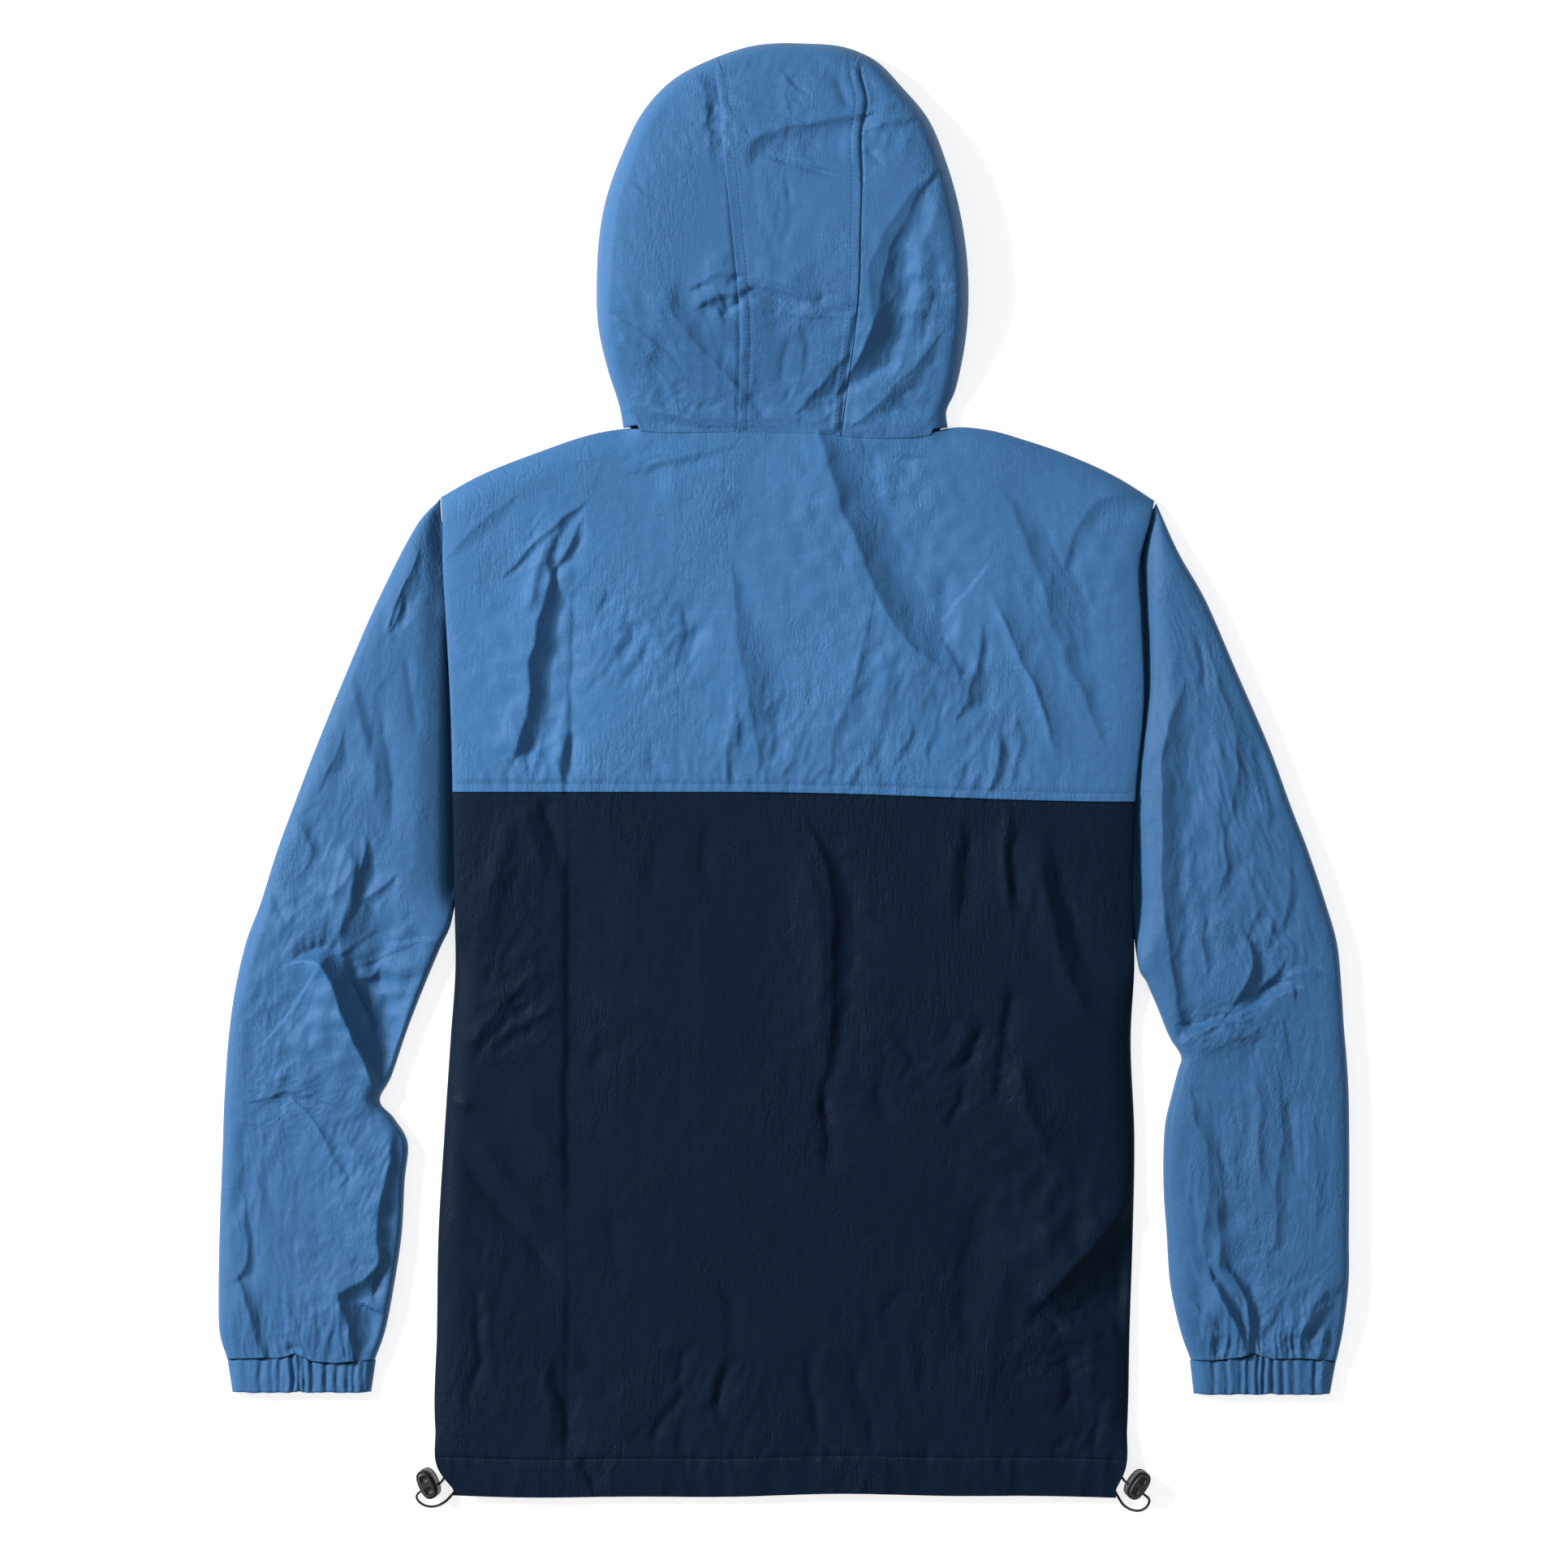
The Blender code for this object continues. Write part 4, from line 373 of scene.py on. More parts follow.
# A facet is a steep band of cloth that lies left of a crest line as the line runs, with a
# gentle rise before it and a slow return after it: its slope, and x, y and width (mm).
FACET = "slope points"
BACK_FACETS = table(FACET, [
    # knot under the left shoulder and the long fold down from it
    (0.85, [(-159.6, 134, 2), (-164, 122, 8), (-170, 99, 10), (-175.5, 76, 12), (-175.5, 54, 9.5),
        (-178, 35, 9), (-185, 16, 8), (-187, 7, 2)]),
    (0.75, [(-141, 182, 1.5), (-150.6, 175, 4.5), (-162, 165, 5), (-173, 155, 4), (-184, 144, 2.5),
        (-192, 134, 1)]),
    (0.8, [(-140, 172, 1), (-145, 161, 4), (-150, 152, 5), (-157.5, 141, 2)]),
    (0.8, [(-158.5, 158, 1.2), (-162, 149, 3.5), (-163.5, 140, 4), (-161, 131, 2)]),
    # long soft folds in the middle
    (0.26, [(-36, 138, 2), (-34, 121, 7), (-32.5, 93, 11), (-27, 65, 17), (-23, 43, 17), (-20, 20, 12),
        (-18.5, 1, 3)]),
    (0.36, [(-34, 40, 2), (-38, 20, 6), (-40, 5, 5), (-40, -10, 2)]),
    (0.42, [(24, 236, 6), (29, 215, 14), (34, 198, 18), (40, 180, 20), (48, 163, 20), (54, 145, 20),
        (61, 128, 20), (70, 110, 19), (78, 98, 20), (88, 84, 19), (104, 74, 13), (121, 68, 3)]),
    (0.5, [(110, 86, 1.5), (115, 79, 5), (120, 70, 5), (121, 64, 1.5)]),
    (0.3, [(61, 118, 1.5), (58, 100, 4), (53, 80, 7), (48, 60, 8), (42, 40, 8), (36, 28, 5), (33, 12, 5),
        (32, 0, 3)]),
    (0.26, [(68, 84, 2), (71, 68, 6), (71, 54, 6), (69, 40, 6), (66, 28, 3)]),
    (0.55, [(137, 96, 1.5), (134.5, 84, 3.5), (133, 72, 5), (129.5, 62, 8), (126, 50, 8), (122, 40, 3)]),
    # bright ridge with a thin drop beside it, and the feathered slopes right of it
    (0.6, [(149, 108, 0.8), (160, 83, 1.6), (170, 62, 1.8), (179, 40, 1.6), (185, 22, 0.8)]),
    (0.27, [(156, 184, 3), (162, 168, 8), (169, 150, 12), (174, 138, 15), (180, 120, 17), (184, 104, 17),
        (190, 88, 14), (196, 70, 11), (205, 55, 8), (212, 40, 6), (218, 26, 3)]),
    (0.27, [(250, 190, 5), (238, 191, 8), (226, 189, 8), (212, 181, 7), (203, 168, 6), (197, 152, 4),
        (194, 140, 2)]),
    # short folds over the yoke's seam
    (0.65, [(149, 28, 1), (149.5, 15, 5), (146.5, 0, 5), (142, -12, 3.5)]),
    (0.4, [(160, 36, 1), (163, 19, 4), (160, 5, 4), (157, -6, 2)]),
    (0.5, [(125, 4, 1), (121, -6, 4), (118, -14, 3)]),
    (0.5, [(134, 0, 1), (130, -8, 4), (127, -16, 3)]),
    (0.5, [(88, 33, 1), (86, 22, 3), (80, 12, 3), (76, 4, 1)]),
    (0.5, [(53, 6, 1), (48, -5, 3), (44, -12, 2)]),
    (0.4, [(107, 40, 1.5), (103, 27, 3), (98, 15, 3), (100, 6, 1)]),
    (0.6, [(-150, 30, 1), (-152, 14, 4), (-154, 2, 5), (-152, -10, 3)]),
    (0.6, [(-167, 20, 1), (-170, 8, 3.5), (-174, -4, 3), (-175, -10, 1)]),
    # beside the neck and along the shoulders
    (0.5, [(94, 217, 2), (82, 220, 4), (68, 224, 4), (56, 229, 2)]),
    (0.4, [(-38, 222, 2), (-60, 219, 4), (-84, 213, 4), (-104, 206, 2)]),
    (0.25, [(-190, 184, 3), (-202, 176, 7), (-216, 164, 6), (-228, 150, 3)]),
    # lower back
    (0.7, [(17, -38, 2), (28, -62, 6), (33, -96, 9), (33, -140, 8), (32, -178, 7), (28, -212, 3)]),
    (0.75, [(241, -296, 8), (228, -310, 20), (214, -326, 26), (200, -342, 26), (188, -356, 18),
        (177, -369, 4)]),
])
HOOD_FACETS = table(FACET, [
    # the deep folds of the right panel
    (0.85, [(101, 409, 2), (90, 399, 6), (77, 381, 11), (65, 363, 15), (59, 345, 18), (58, 328, 18),
        (61, 310, 14), (57, 294, 12), (49.5, 280, 9), (42, 268, 3)]),
    (0.45, [(104, 295, 2), (91, 279, 8), (77, 266, 9), (63, 251, 7), (52, 241, 3)]),
    (0.5, [(88, 448, 2), (78, 446, 5), (66, 443, 6), (55, 440, 3)]),
    # the centre panel
    (0.55, [(41, 284, 2), (34.6, 277, 6), (26, 265, 7), (15, 254, 5), (11, 249, 2)]),
    (1.2, [(31, 328, 2), (15, 330.5, 6), (1.4, 333.5, 8), (-11, 337, 7), (-28, 340, 4)]),
    (1.1, [(50, 320, 2), (40, 322, 5), (31, 325, 5), (27, 330, 2)]),
    (0.55, [(48, 450, 5), (32.5, 447.5, 9), (15, 444, 9), (0, 441, 9), (-14, 437.5, 9), (-23, 431, 8),
        (-26, 420, 6), (-24, 411, 2)]),
    (0.34, [(-14, 410, 2), (-11, 391, 6), (-8, 375, 7), (-5, 362, 5), (-4, 352, 2)]),
    (0.5, [(-2, 408, 1.5), (0.5, 393, 4), (1, 380, 4), (-1, 368, 1.5)]),
    (0.34, [(-17, 373, 2), (-12, 357, 5), (-9, 345, 3)]),
    (1.3, [(52, 408, 1.2), (37, 411.5, 2.4), (20, 416, 2.6), (1.4, 420, 1.2)]),
    (0.8, [(-4, 483, 0.7), (5, 473, 1.5), (16, 463, 0.7)]),
    (0.7, [(2, 463, 0.6), (4, 456, 1.4), (5.5, 449, 0.6)]),
    # crumple beside the left seam
    (1.3, [(-30, 342, 3), (-40, 342, 6), (-50, 340, 6), (-56, 336, 3)]),
    (1.3, [(-30, 329, 3), (-38, 327, 5), (-47, 326, 5), (-53, 322, 3)]),
    (0.8, [(-34, 321, 1.5), (-40, 318, 3), (-45, 315, 1)]),
    (0.8, [(-33, 353, 1.5), (-42, 351.5, 2.6), (-50, 350, 1)]),
    # the left panel
    (0.6, [(-107, 405, 0.8), (-95, 394, 2.2), (-77, 381, 1)]),
    (0.34, [(-88, 356, 2), (-84, 335, 7), (-75.6, 314, 8), (-63, 294, 8), (-48, 280, 6), (-37, 270, 3)]),
    (0.55, [(-125, 309, 1), (-112, 308, 2.6), (-98, 300, 2.6), (-82.6, 286, 2.4), (-72, 277, 1)]),
    (0.6, [(-52, 238, 2), (-66, 242, 5), (-84, 248, 6), (-100, 250, 5), (-109, 247, 2)]),
    (0.28, [(-53, 452, 3), (-51, 430, 6), (-50, 410, 5), (-46, 395, 2)]),
    (0.25, [(-60, 478, 3), (-55, 468, 8), (-53, 458, 6), (-53, 452, 3)]),
])
SLEEVE_FACETS = {
    LEFT: table(FACET, [
        # fold at the elbow and the slopes over it
        (1.45, [(-338, -133, 1), (-328, -131, 5), (-319, -133, 9), (-313, -145, 13), (-304.5, -166, 15),
            (-295, -189, 14), (-286, -209, 11), (-279, -222, 8), (-273, -231, 4)]),
        (0.42, [(-297, -76, 5), (-300, -90, 14), (-303, -101, 21), (-306, -116, 25), (-304, -130, 22),
            (-299, -142, 14)]),
        (0.75, [(-288, -48, 1.5), (-290, -60, 6), (-294, -72, 7.5), (-297, -84, 6), (-298, -93, 2)]),
        (0.65, [(-269, -75, 1.5), (-277, -81, 4), (-285, -86, 5), (-292, -89, 2)]),
        (0.7, [(-279, -136, 1), (-284, -142, 4), (-291, -144, 1.5)]),
        # upper arm
        (0.5, [(-251, 152, 2), (-257, 136, 6), (-263, 124, 7), (-268, 113, 5), (-270, 104, 2)]),
        (0.8, [(-263, 118, 1), (-265, 108, 3), (-270, 98, 1)]),
        (0.4, [(-296, 62, 1.5), (-293, 41, 5), (-288, 21, 4), (-286, 10, 1)]),
        (0.4, [(-304, 24, 1.5), (-311, 6, 5), (-317, -6, 3), (-320, -14, 1)]),
        (0.4, [(-337, -32, 1.5), (-330, -46, 5), (-326, -57, 4), (-330, -68, 1)]),
        # forearm
        (0.6, [(-337, -222, 1.5), (-346, -222, 4), (-354, -225, 4.5), (-363, -228, 2)]),
        (0.55, [(-337, -228, 1.5), (-328, -238, 3), (-320, -247, 3.5), (-314, -260, 5), (-308, -272, 4),
            (-302, -280, 1)]),
        (0.75, [(-268, -243, 2), (-270, -255, 7), (-272, -270, 10), (-275, -285, 12), (-278.5, -300, 13),
            (-280, -320, 12), (-280, -335, 10), (-281, -343, 6)]),
        (0.8, [(-279, -340, 3), (-290, -351.5, 7), (-300, -357, 9), (-307, -361, 11), (-303, -376, 13),
            (-299, -390, 11), (-297, -402, 5)]),
        (0.5, [(-372, -298, 1.5), (-371, -318, 3.5), (-370, -335, 4.5), (-373, -345, 4.5),
            (-379, -351, 1.5)]),
        (0.6, [(-375, -354, 2), (-371, -368, 6), (-367, -381, 8), (-363, -393, 6), (-359, -405, 3)]),
        (0.6, [(-345, -369, 1), (-340, -376, 3), (-337, -383, 1)]),
    ]),
    RIGHT: table(FACET, [
        # fold at the elbow and the crumple over it
        (1.15, [(272, -191, 2.5), (278, -185, 4.5), (293, -177.5, 4.5), (312, -170.5, 5), (325, -164, 6),
            (338, -156.5, 5), (350, -152.5, 3), (357, -151, 1)]),
        (0.7, [(343, -134, 1.5), (336, -143, 4), (328, -152, 5.5), (318, -161, 5.5), (308, -169, 3),
            (302, -172, 1)]),
        (0.7, [(320, -118, 2), (323, -130, 6), (320, -144, 8), (314, -156, 7), (307, -166, 3)]),
        (0.7, [(346, -142, 1), (354, -138.5, 3), (362, -138.5, 3), (371, -141, 1)]),
        (0.8, [(333, -152, 1), (342, -149, 2.6), (350, -149, 2), (352, -156, 1)]),
        # along the armhole
        (0.47, [(274, 54, 2), (267, 36, 8), (262, 16, 12), (260, -6, 13), (260.5, -30, 12),
            (260.5, -67, 10), (261.6, -95, 11), (264.4, -116, 9), (267.5, -139, 6), (270.5, -162, 6),
            (275, -179, 4), (278, -188, 2)]),
        # upper arm
        (0.33, [(292, 90, 1.5), (298, 64, 4), (305, 44, 6), (311, 24, 7), (313, 8, 9), (312, -6, 9),
            (309, -22, 6), (306, -35, 2)]),
        (0.39, [(299, -2, 1.5), (301, -20, 4), (300, -34, 4), (303, -50, 4), (306, -64, 6),
            (302, -76, 5), (299, -86, 1.5)]),
        (0.39, [(317, -66, 1.5), (322, -82, 4), (326, -96, 5), (321, -111, 2)]),
        (0.33, [(349, -62, 1.5), (349, -80, 4), (346, -94, 5), (342, -108, 4), (338, -117, 1.5)]),
        (0.39, [(333, -100, 1.5), (336, -110, 4), (334, -120, 1.5)]),
        (0.39, [(290, -104, 1.5), (287, -116, 5), (290, -128, 5), (292, -138, 1.5)]),
        # forearm
        (0.28, [(281, -227, 2), (284, -243, 7), (290, -256, 8), (292, -272, 9), (293.5, -290, 10),
            (291, -304, 12), (288.5, -318, 9), (290, -331, 3)]),
        (0.37, [(299, -294, 3), (299, -310, 8), (300, -326, 11), (300, -342, 12), (305, -352, 8),
            (311, -361, 4)]),
        (1.1, [(309, -348, 3), (316, -361, 6), (320, -373, 5), (320.6, -387, 4.5), (320.3, -404, 3)]),
        (1, [(297, -353, 3), (303, -368, 6), (310, -380, 4.5), (315.4, -392, 3), (318, -405, 2)]),
        (0.43, [(275, -361, 1), (285, -370, 3), (296, -382, 3.5), (303, -391, 3), (306, -404, 1.5)]),
        (0.43, [(384, -353, 3), (373, -360, 8), (364, -370, 9), (358, -384, 7), (356, -396, 5),
            (357, -405, 3)]),
        (0.8, [(377, -382, 1.5), (372, -392, 4), (369, -404, 3)]),
        (0.33, [(344, -248, 2), (341, -268, 5), (339, -286, 6), (338, -300, 6), (340, -314, 5),
            (337, -326, 5), (332, -333, 3), (328, -337, 1)]),
        (0.19, [(366, -248, 3), (367, -276, 6), (368, -298, 5), (366, -318, 2)]),
        (0.47, [(323, -335, 0.8), (332, -342, 2), (341, -347, 2), (348, -350, 0.8)]),
        (0.19, [(344, -178, 3), (343, -200, 6), (342, -220, 6), (344, -238, 3)]),
        (0.19, [(316, -222, 2), (316, -244, 5), (312, -264, 3)]),
    ]),
}
# A patch of fine crumple: its middle and reach (mm), the way its ridges run (degrees), how
# long and wide they are, and how high.
CRUMPLE = "x y reach_x reach_y turn length width height"
BACK_CRUMPLES = table(CRUMPLE, [
    (-96, 88, 46, 52, 62, 26, 6.5, 1.2), (-160, 150, 34, 34, 52, 22, 6, 0.9),
    (-20, 30, 40, 46, 80, 30, 6.5, 1), (20, 30, 40, 52, 64, 30, 7, 0.9),
    (80, 60, 44, 60, 70, 30, 7.5, 0.9), (140, 40, 36, 60, 86, 30, 6.5, 0.9),
    (186, 110, 40, 80, 110, 40, 7, 0.7), (-170, 16, 34, 34, 78, 24, 6, 1.1),
    (30, 170, 36, 60, 112, 34, 8, 0.6), (-80, 214, 50, 20, 20, 26, 6.5, 0.6),
    (0, 0, 240, 20, 88, 22, 6.5, 0.7), (-185, -110, 50, 90, 70, 34, 7, 0.9),
    (-185, -170, 44, 44, 48, 24, 6, 1.2), (-210, -390, 34, 90, 80, 34, 6, 1),
    (-160, -440, 34, 60, 80, 30, 6.5, 0.9), (-80, -430, 40, 52, 76, 26, 6.5, 1.1),
    (-20, -440, 44, 50, 84, 28, 6.5, 0.9), (50, -420, 54, 70, 100, 34, 7.5, 0.9),
    (90, -200, 70, 60, 62, 26, 7, 0.7), (130, -210, 40, 50, 60, 22, 6, 1.2),
    (180, -90, 50, 80, 96, 40, 8, 0.8), (180, -260, 46, 70, 104, 34, 7.5, 0.8),
    (190, -390, 40, 40, 40, 18, 6, 1.5), (206, -440, 34, 44, 74, 24, 6.5, 1.1),
    (130, -380, 50, 90, 84, 40, 8, 0.7), (20, -200, 60, 160, 88, 36, 8, 0.5),
    (-90, -200, 60, 200, 86, 36, 8.5, 0.45),
])
HOOD_CRUMPLES = table(CRUMPLE, [
    (-44, 334, 20, 34, 14, 15, 4.6, 1.2), (-40, 446, 22, 24, 22, 15, 5, 1.1),
    (0, 330, 48, 20, 170, 20, 5.5, 1), (-4, 380, 30, 52, 96, 30, 6, 0.9),
    (10, 440, 46, 26, 12, 24, 6.5, 0.8), (0, 480, 60, 20, 20, 20, 6, 0.7),
    (80, 440, 42, 36, 20, 26, 7, 0.9), (84, 300, 40, 76, 66, 34, 7.5, 0.9),
    (-84, 300, 44, 70, 126, 30, 6.5, 1), (-90, 400, 40, 70, 100, 34, 8, 0.6),
    (24, 262, 30, 34, 58, 22, 6, 1), (-30, 262, 30, 34, 110, 20, 6, 0.8),
    (-80, 252, 44, 22, 8, 20, 6, 1.1), (84, 252, 40, 22, 170, 20, 6, 1),
])
SLEEVE_CRUMPLES = {
    LEFT: table(CRUMPLE, [
        (-300, 60, 60, 110, 84, 40, 7, 0.6), (-270, 116, 30, 30, 60, 20, 5, 0.7),
        (-300, -60, 52, 60, 70, 26, 6, 0.7), (-340, -70, 34, 80, 64, 24, 5.5, 0.7),
        (-300, -110, 34, 34, 96, 22, 6, 0.4), (-350, -170, 36, 60, 70, 26, 6.5, 0.9),
        (-340, -226, 40, 30, 12, 18, 5, 1), (-290, -270, 38, 60, 64, 24, 5, 0.9),
        (-355, -300, 40, 80, 88, 40, 7, 0.8), (-300, -350, 36, 40, 40, 20, 5.5, 0.7),
        (-334, -392, 70, 30, 90, 40, 3.8, 1.5),
    ]),
    RIGHT: table(CRUMPLE, [
        (300, 60, 60, 120, 104, 44, 6, 0.6), (320, -20, 50, 90, 106, 30, 5, 0.8),
        (290, -90, 50, 60, 80, 28, 6, 0.6), (336, -120, 40, 36, 110, 20, 4.6, 1),
        (306, -176, 52, 20, 26, 16, 4.6, 1), (340, -240, 50, 90, 94, 44, 5.6, 0.6),
        (290, -290, 40, 90, 98, 44, 5.6, 0.6), (288, -370, 34, 40, 122, 26, 5, 0.9),
        (356, -366, 44, 40, 52, 26, 5, 0.8), (330, -392, 70, 30, 90, 40, 3.8, 1.4),
    ]),
}


# --- what a user may change -----------------------------------------------------------
class AnorakSizes(bpy.types.PropertyGroup):
    """Sizes of the cloth's finish."""

    cloth: FloatProperty(
        name="Cloth thickness", description="Wall of each sewn piece as it is drawn",
        default=0.5 * MM, min=0.2 * MM, max=1.2 * MM, unit="LENGTH", precision=5)
    folds: FloatProperty(
        name="Fold depth", description="How deep the folds placed by hand are",
        default=1.0, min=0.0, max=1.5, subtype="FACTOR")
    crumple: FloatProperty(
        name="Crumple", description="How high the fine crumple and the soft waves of the cloth are",
        default=1.0, min=0.0, max=2.0, subtype="FACTOR")
    pucker: FloatProperty(
        name="Seam pucker", description="How high the cloth draws up beside its seams",
        default=0.6 * MM, min=0.0, max=1.5 * MM, unit="LENGTH", precision=5)
    stitch: FloatProperty(
        name="Stitch length", description="Visible length of one topstitch",
        default=2.3 * MM, min=1.0 * MM, max=5.0 * MM, unit="LENGTH", precision=5)
    pitch: FloatProperty(
        name="Stitch pitch", description="Distance from one topstitch to the next",
        default=3.1 * MM, min=1.2 * MM, max=6.0 * MM, unit="LENGTH", precision=5)
    thread: FloatProperty(
        name="Thread", description="Diameter of the sewing thread",
        default=0.36 * MM, min=0.1 * MM, max=0.8 * MM, unit="LENGTH", precision=5)


class AnorakColours(bpy.types.PropertyGroup):
    """Colours of the garment."""

    yoke: FloatVectorProperty(
        name="Hood, yoke and sleeves", description="Nylon of the hood, the yoke and the sleeves",
        default=(0.0305, 0.1085, 0.243), min=0.0, max=1.0, subtype="COLOR")
    body: FloatVectorProperty(
        name="Lower body", description="Nylon of the lower body",
        default=(0.0023, 0.0080, 0.0192), min=0.0, max=1.0, subtype="COLOR")
    hardware: FloatVectorProperty(
        name="Cord locks", description="Moulded plastic of the cord locks",
        default=(0.010, 0.0105, 0.012), min=0.0, max=1.0, subtype="COLOR")
    elastic: FloatVectorProperty(
        name="Hem cord", description="Braided sleeve of the hem's elastic cord",
        default=(0.012, 0.012, 0.014), min=0.0, max=1.0, subtype="COLOR")
    floor: FloatVectorProperty(
        name="Floor", description="Floor under the garment",
        default=(0.95, 0.95, 0.95), min=0.0, max=1.0, subtype="COLOR")


class AnorakLight(bpy.types.PropertyGroup):
    """Camera height and light."""

    camera_height: FloatProperty(
        name="Camera height", description="Height of the camera over the floor",
        default=6.0186, min=2.0, max=12.0, unit="LENGTH")
    key: FloatProperty(
        name="Main light", description="Strength of the soft light from the upper left",
        default=242.0, min=0.0, max=1000.0, unit="POWER")
    surroundings: FloatProperty(
        name="Surrounding light", description="Strength of the even light from all round",
        default=0.47, min=0.0, max=3.0)


# --- numbers --------------------------------------------------------------------------
def soft_curve(at, knots, values):
    """Values of a soft curve through the knots, read at one place or an array of them."""
    knots, values = np.asarray(knots, float), np.asarray(values, float)
    slopes = np.gradient(values, knots, axis=0)
    at = np.clip(np.asarray(at, float), knots[0], knots[-1])
    k = np.clip(np.searchsorted(knots, at) - 1, 0, len(knots) - 2)
    span = knots[k + 1] - knots[k]
    t = (at - knots[k]) / span
    if values.ndim > 1:
        t, span = t[..., None], span[..., None]
    start = (1 + 2 * t) * (1 - t) ** 2 * values[k] + t * (1 - t) ** 2 * span * slopes[k]
    end = t * t * (3 - 2 * t) * values[k + 1] + t * t * (t - 1) * span * slopes[k + 1]
    return start + end


def curve_of(rows, at, column, by="y"):
    """A column of a table (mm) as a soft curve, read at places (m) along another column."""
    knots, values = ([getattr(row, name) * MM for row in rows] for name in (by, column))
    return soft_curve(at, knots, values)


def lengths_along(points):
    """How far along a line each of its points lies."""
    return np.concatenate([[0], np.cumsum(np.linalg.norm(np.diff(points, axis=0), axis=1))])


def path_through(points, count):
    """Count points, evenly spaced, on a soft path through the given ones."""
    points = np.asarray(points, float)
    knots = lengths_along(points)
    return soft_curve(np.linspace(0, knots[-1], count), knots, points)


def unit(vectors):
    """The vectors at length one."""
    return vectors / np.maximum(np.linalg.norm(vectors, axis=-1, keepdims=True), 1e-12)


def rounding(distance, reach):
    """0 at a folded edge and 1 from reach inwards, as a quarter circle rises."""
    t = 1 - np.clip(np.asarray(distance, float) / reach, 0, 1)
    return np.sqrt(np.clip(1 - t * t, 0, 1))


def shoulder(distance, reach, steepness=0.6, near=0.3):
    """Rise from 0 at an edge to 1 at the reach, most of it close to the edge."""
    return mix(rounding(distance, reach), rounding(distance, near * reach), steepness)


def ease(t):
    """0 to 1 with level ends."""
    t = np.clip(t, 0, 1)
    return t * t * (3 - 2 * t)


def mix(a, b, t):
    return a + (b - a) * t


def hump(distance, width):
    """1 on a line and 0 away from it."""
    return np.exp(-((np.asarray(distance) / width) ** 2))


def lattice(across, up, seed):
    """A repeatable value from -1 to 1 for each point of a lattice."""
    n = across.astype(np.int64) * 374761393 + up.astype(np.int64) * 668265263 + seed * 974634777
    n &= 0xFFFFFFFF
    n = ((n ^ (n >> 13)) * 1274126177) & 0xFFFFFFFF
    return (n ^ (n >> 16)) / 0x7FFFFFFF - 1.0


def waves(u, v, seed):
    """Soft uneven waves, one unit long, from about -1 to 1."""
    u, v = np.broadcast_arrays(np.asarray(u, float), np.asarray(v, float))
    low_u, low_v = np.floor(u), np.floor(v)
    part_u, part_v = u - low_u, v - low_v
    blend_u, blend_v = ease(part_u), ease(part_v)
    total = np.zeros(u.shape)
    for du in (0, 1):
        for dv in (0, 1):
            angle = lattice(low_u + du, low_v + dv, seed) * math.pi
            slope = np.cos(angle) * (part_u - du) + np.sin(angle) * (part_v - dv)
            total += slope * np.abs(1 - du - blend_u) * np.abs(1 - dv - blend_v)
    return total * 1.5


def ridges(u, v, seed):
    """Uneven ridges with sharp crests, from about -1 to 1."""
    return 1 - 2.6 * np.abs(waves(u, v, seed))


# --- relief of the cloth --------------------------------------------------------------
LIGHT_RUNS = np.array([0.93, -0.37])    # the way the main light runs over the cloth
CREASE_DEPTH = 1.6
BODY_FOLDS = 0.72           # height of the folds under the yoke, and where they change
BODY_CALM = 30.0 * MM
STEEPER = 0.38              # how much narrower a fold is on the side that light leaves dark
CREST_SOFTNESS = 0.55
CREST_ROUND = 0.7 * MM
FACET_DEPTH = 1.1
FACET_FADE = 1.5            # widths from a facet's crest to its foot
CREST_SHARE = 0.5           # share of a facet's drop that lies over the cloth round it
FACET_REACH = 5.0           # how far a facet reaches on each side, in widths


def near_path(path, reach, x, y):
    """Which points lie in the path's box or within reach of it."""
    low, high = path.min(axis=0) - reach, path.max(axis=0) + reach
    return (x > low[0]) & (x < high[0]) & (y > low[1]) & (y < high[1])


def nearest_on(path, x, y):
    """Each point's distance to a path, the way to it, its side (1 is left) and its place on it."""
    steps = np.diff(path, axis=0)
    offset = np.stack([x, y], axis=-1)[:, None] - path[:-1]
    along = np.clip((offset * steps).sum(axis=2) / (steps**2).sum(axis=1), 0, 1)
    gap = offset - along[..., None] * steps
    away = np.linalg.norm(gap, axis=2)
    nearest = away.argmin(axis=1)
    each = np.arange(len(nearest))
    step, gap = steps[nearest], gap[each, nearest]
    side = np.sign(step[:, 0] * gap[:, 1] - step[:, 1] * gap[:, 0])
    return away[each, nearest], gap, side, (nearest + along[each, nearest]) / len(steps)


def crease_height(x, y, crease):
    """Height of one fold at the points; it runs out at its ends."""
    line = path_through(np.array(crease.line, float) * MM, 4 * len(crease.line))
    near = near_path(line, 3.2 * crease.width * (1 + abs(crease.skew)) * MM, x, y)
    height = np.zeros(x.shape)
    if near.any():
        x, y = x[near], y[near]
        away, gap, side, place = nearest_on(line, x, y)
        lee = (gap @ LIGHT_RUNS) / np.maximum(away, 0.01 * MM)
        width = crease.width * MM * (1 + crease.skew * side) * (1 - STEEPER * np.sign(crease.height) * lee)
        ends = ease(place / 0.24) * ease((1 - place) / 0.3)
        uneven = 1 + 0.3 * waves(x / (17 * MM), y / (17 * MM), 5)
        sharpness = 1 + (crease.power - 1) * CREST_SOFTNESS
        away = np.hypot(away, CREST_ROUND) - CREST_ROUND
        height[near] = crease.height * MM * ends * uneven * np.exp(-((away / width) ** sharpness))
    return height


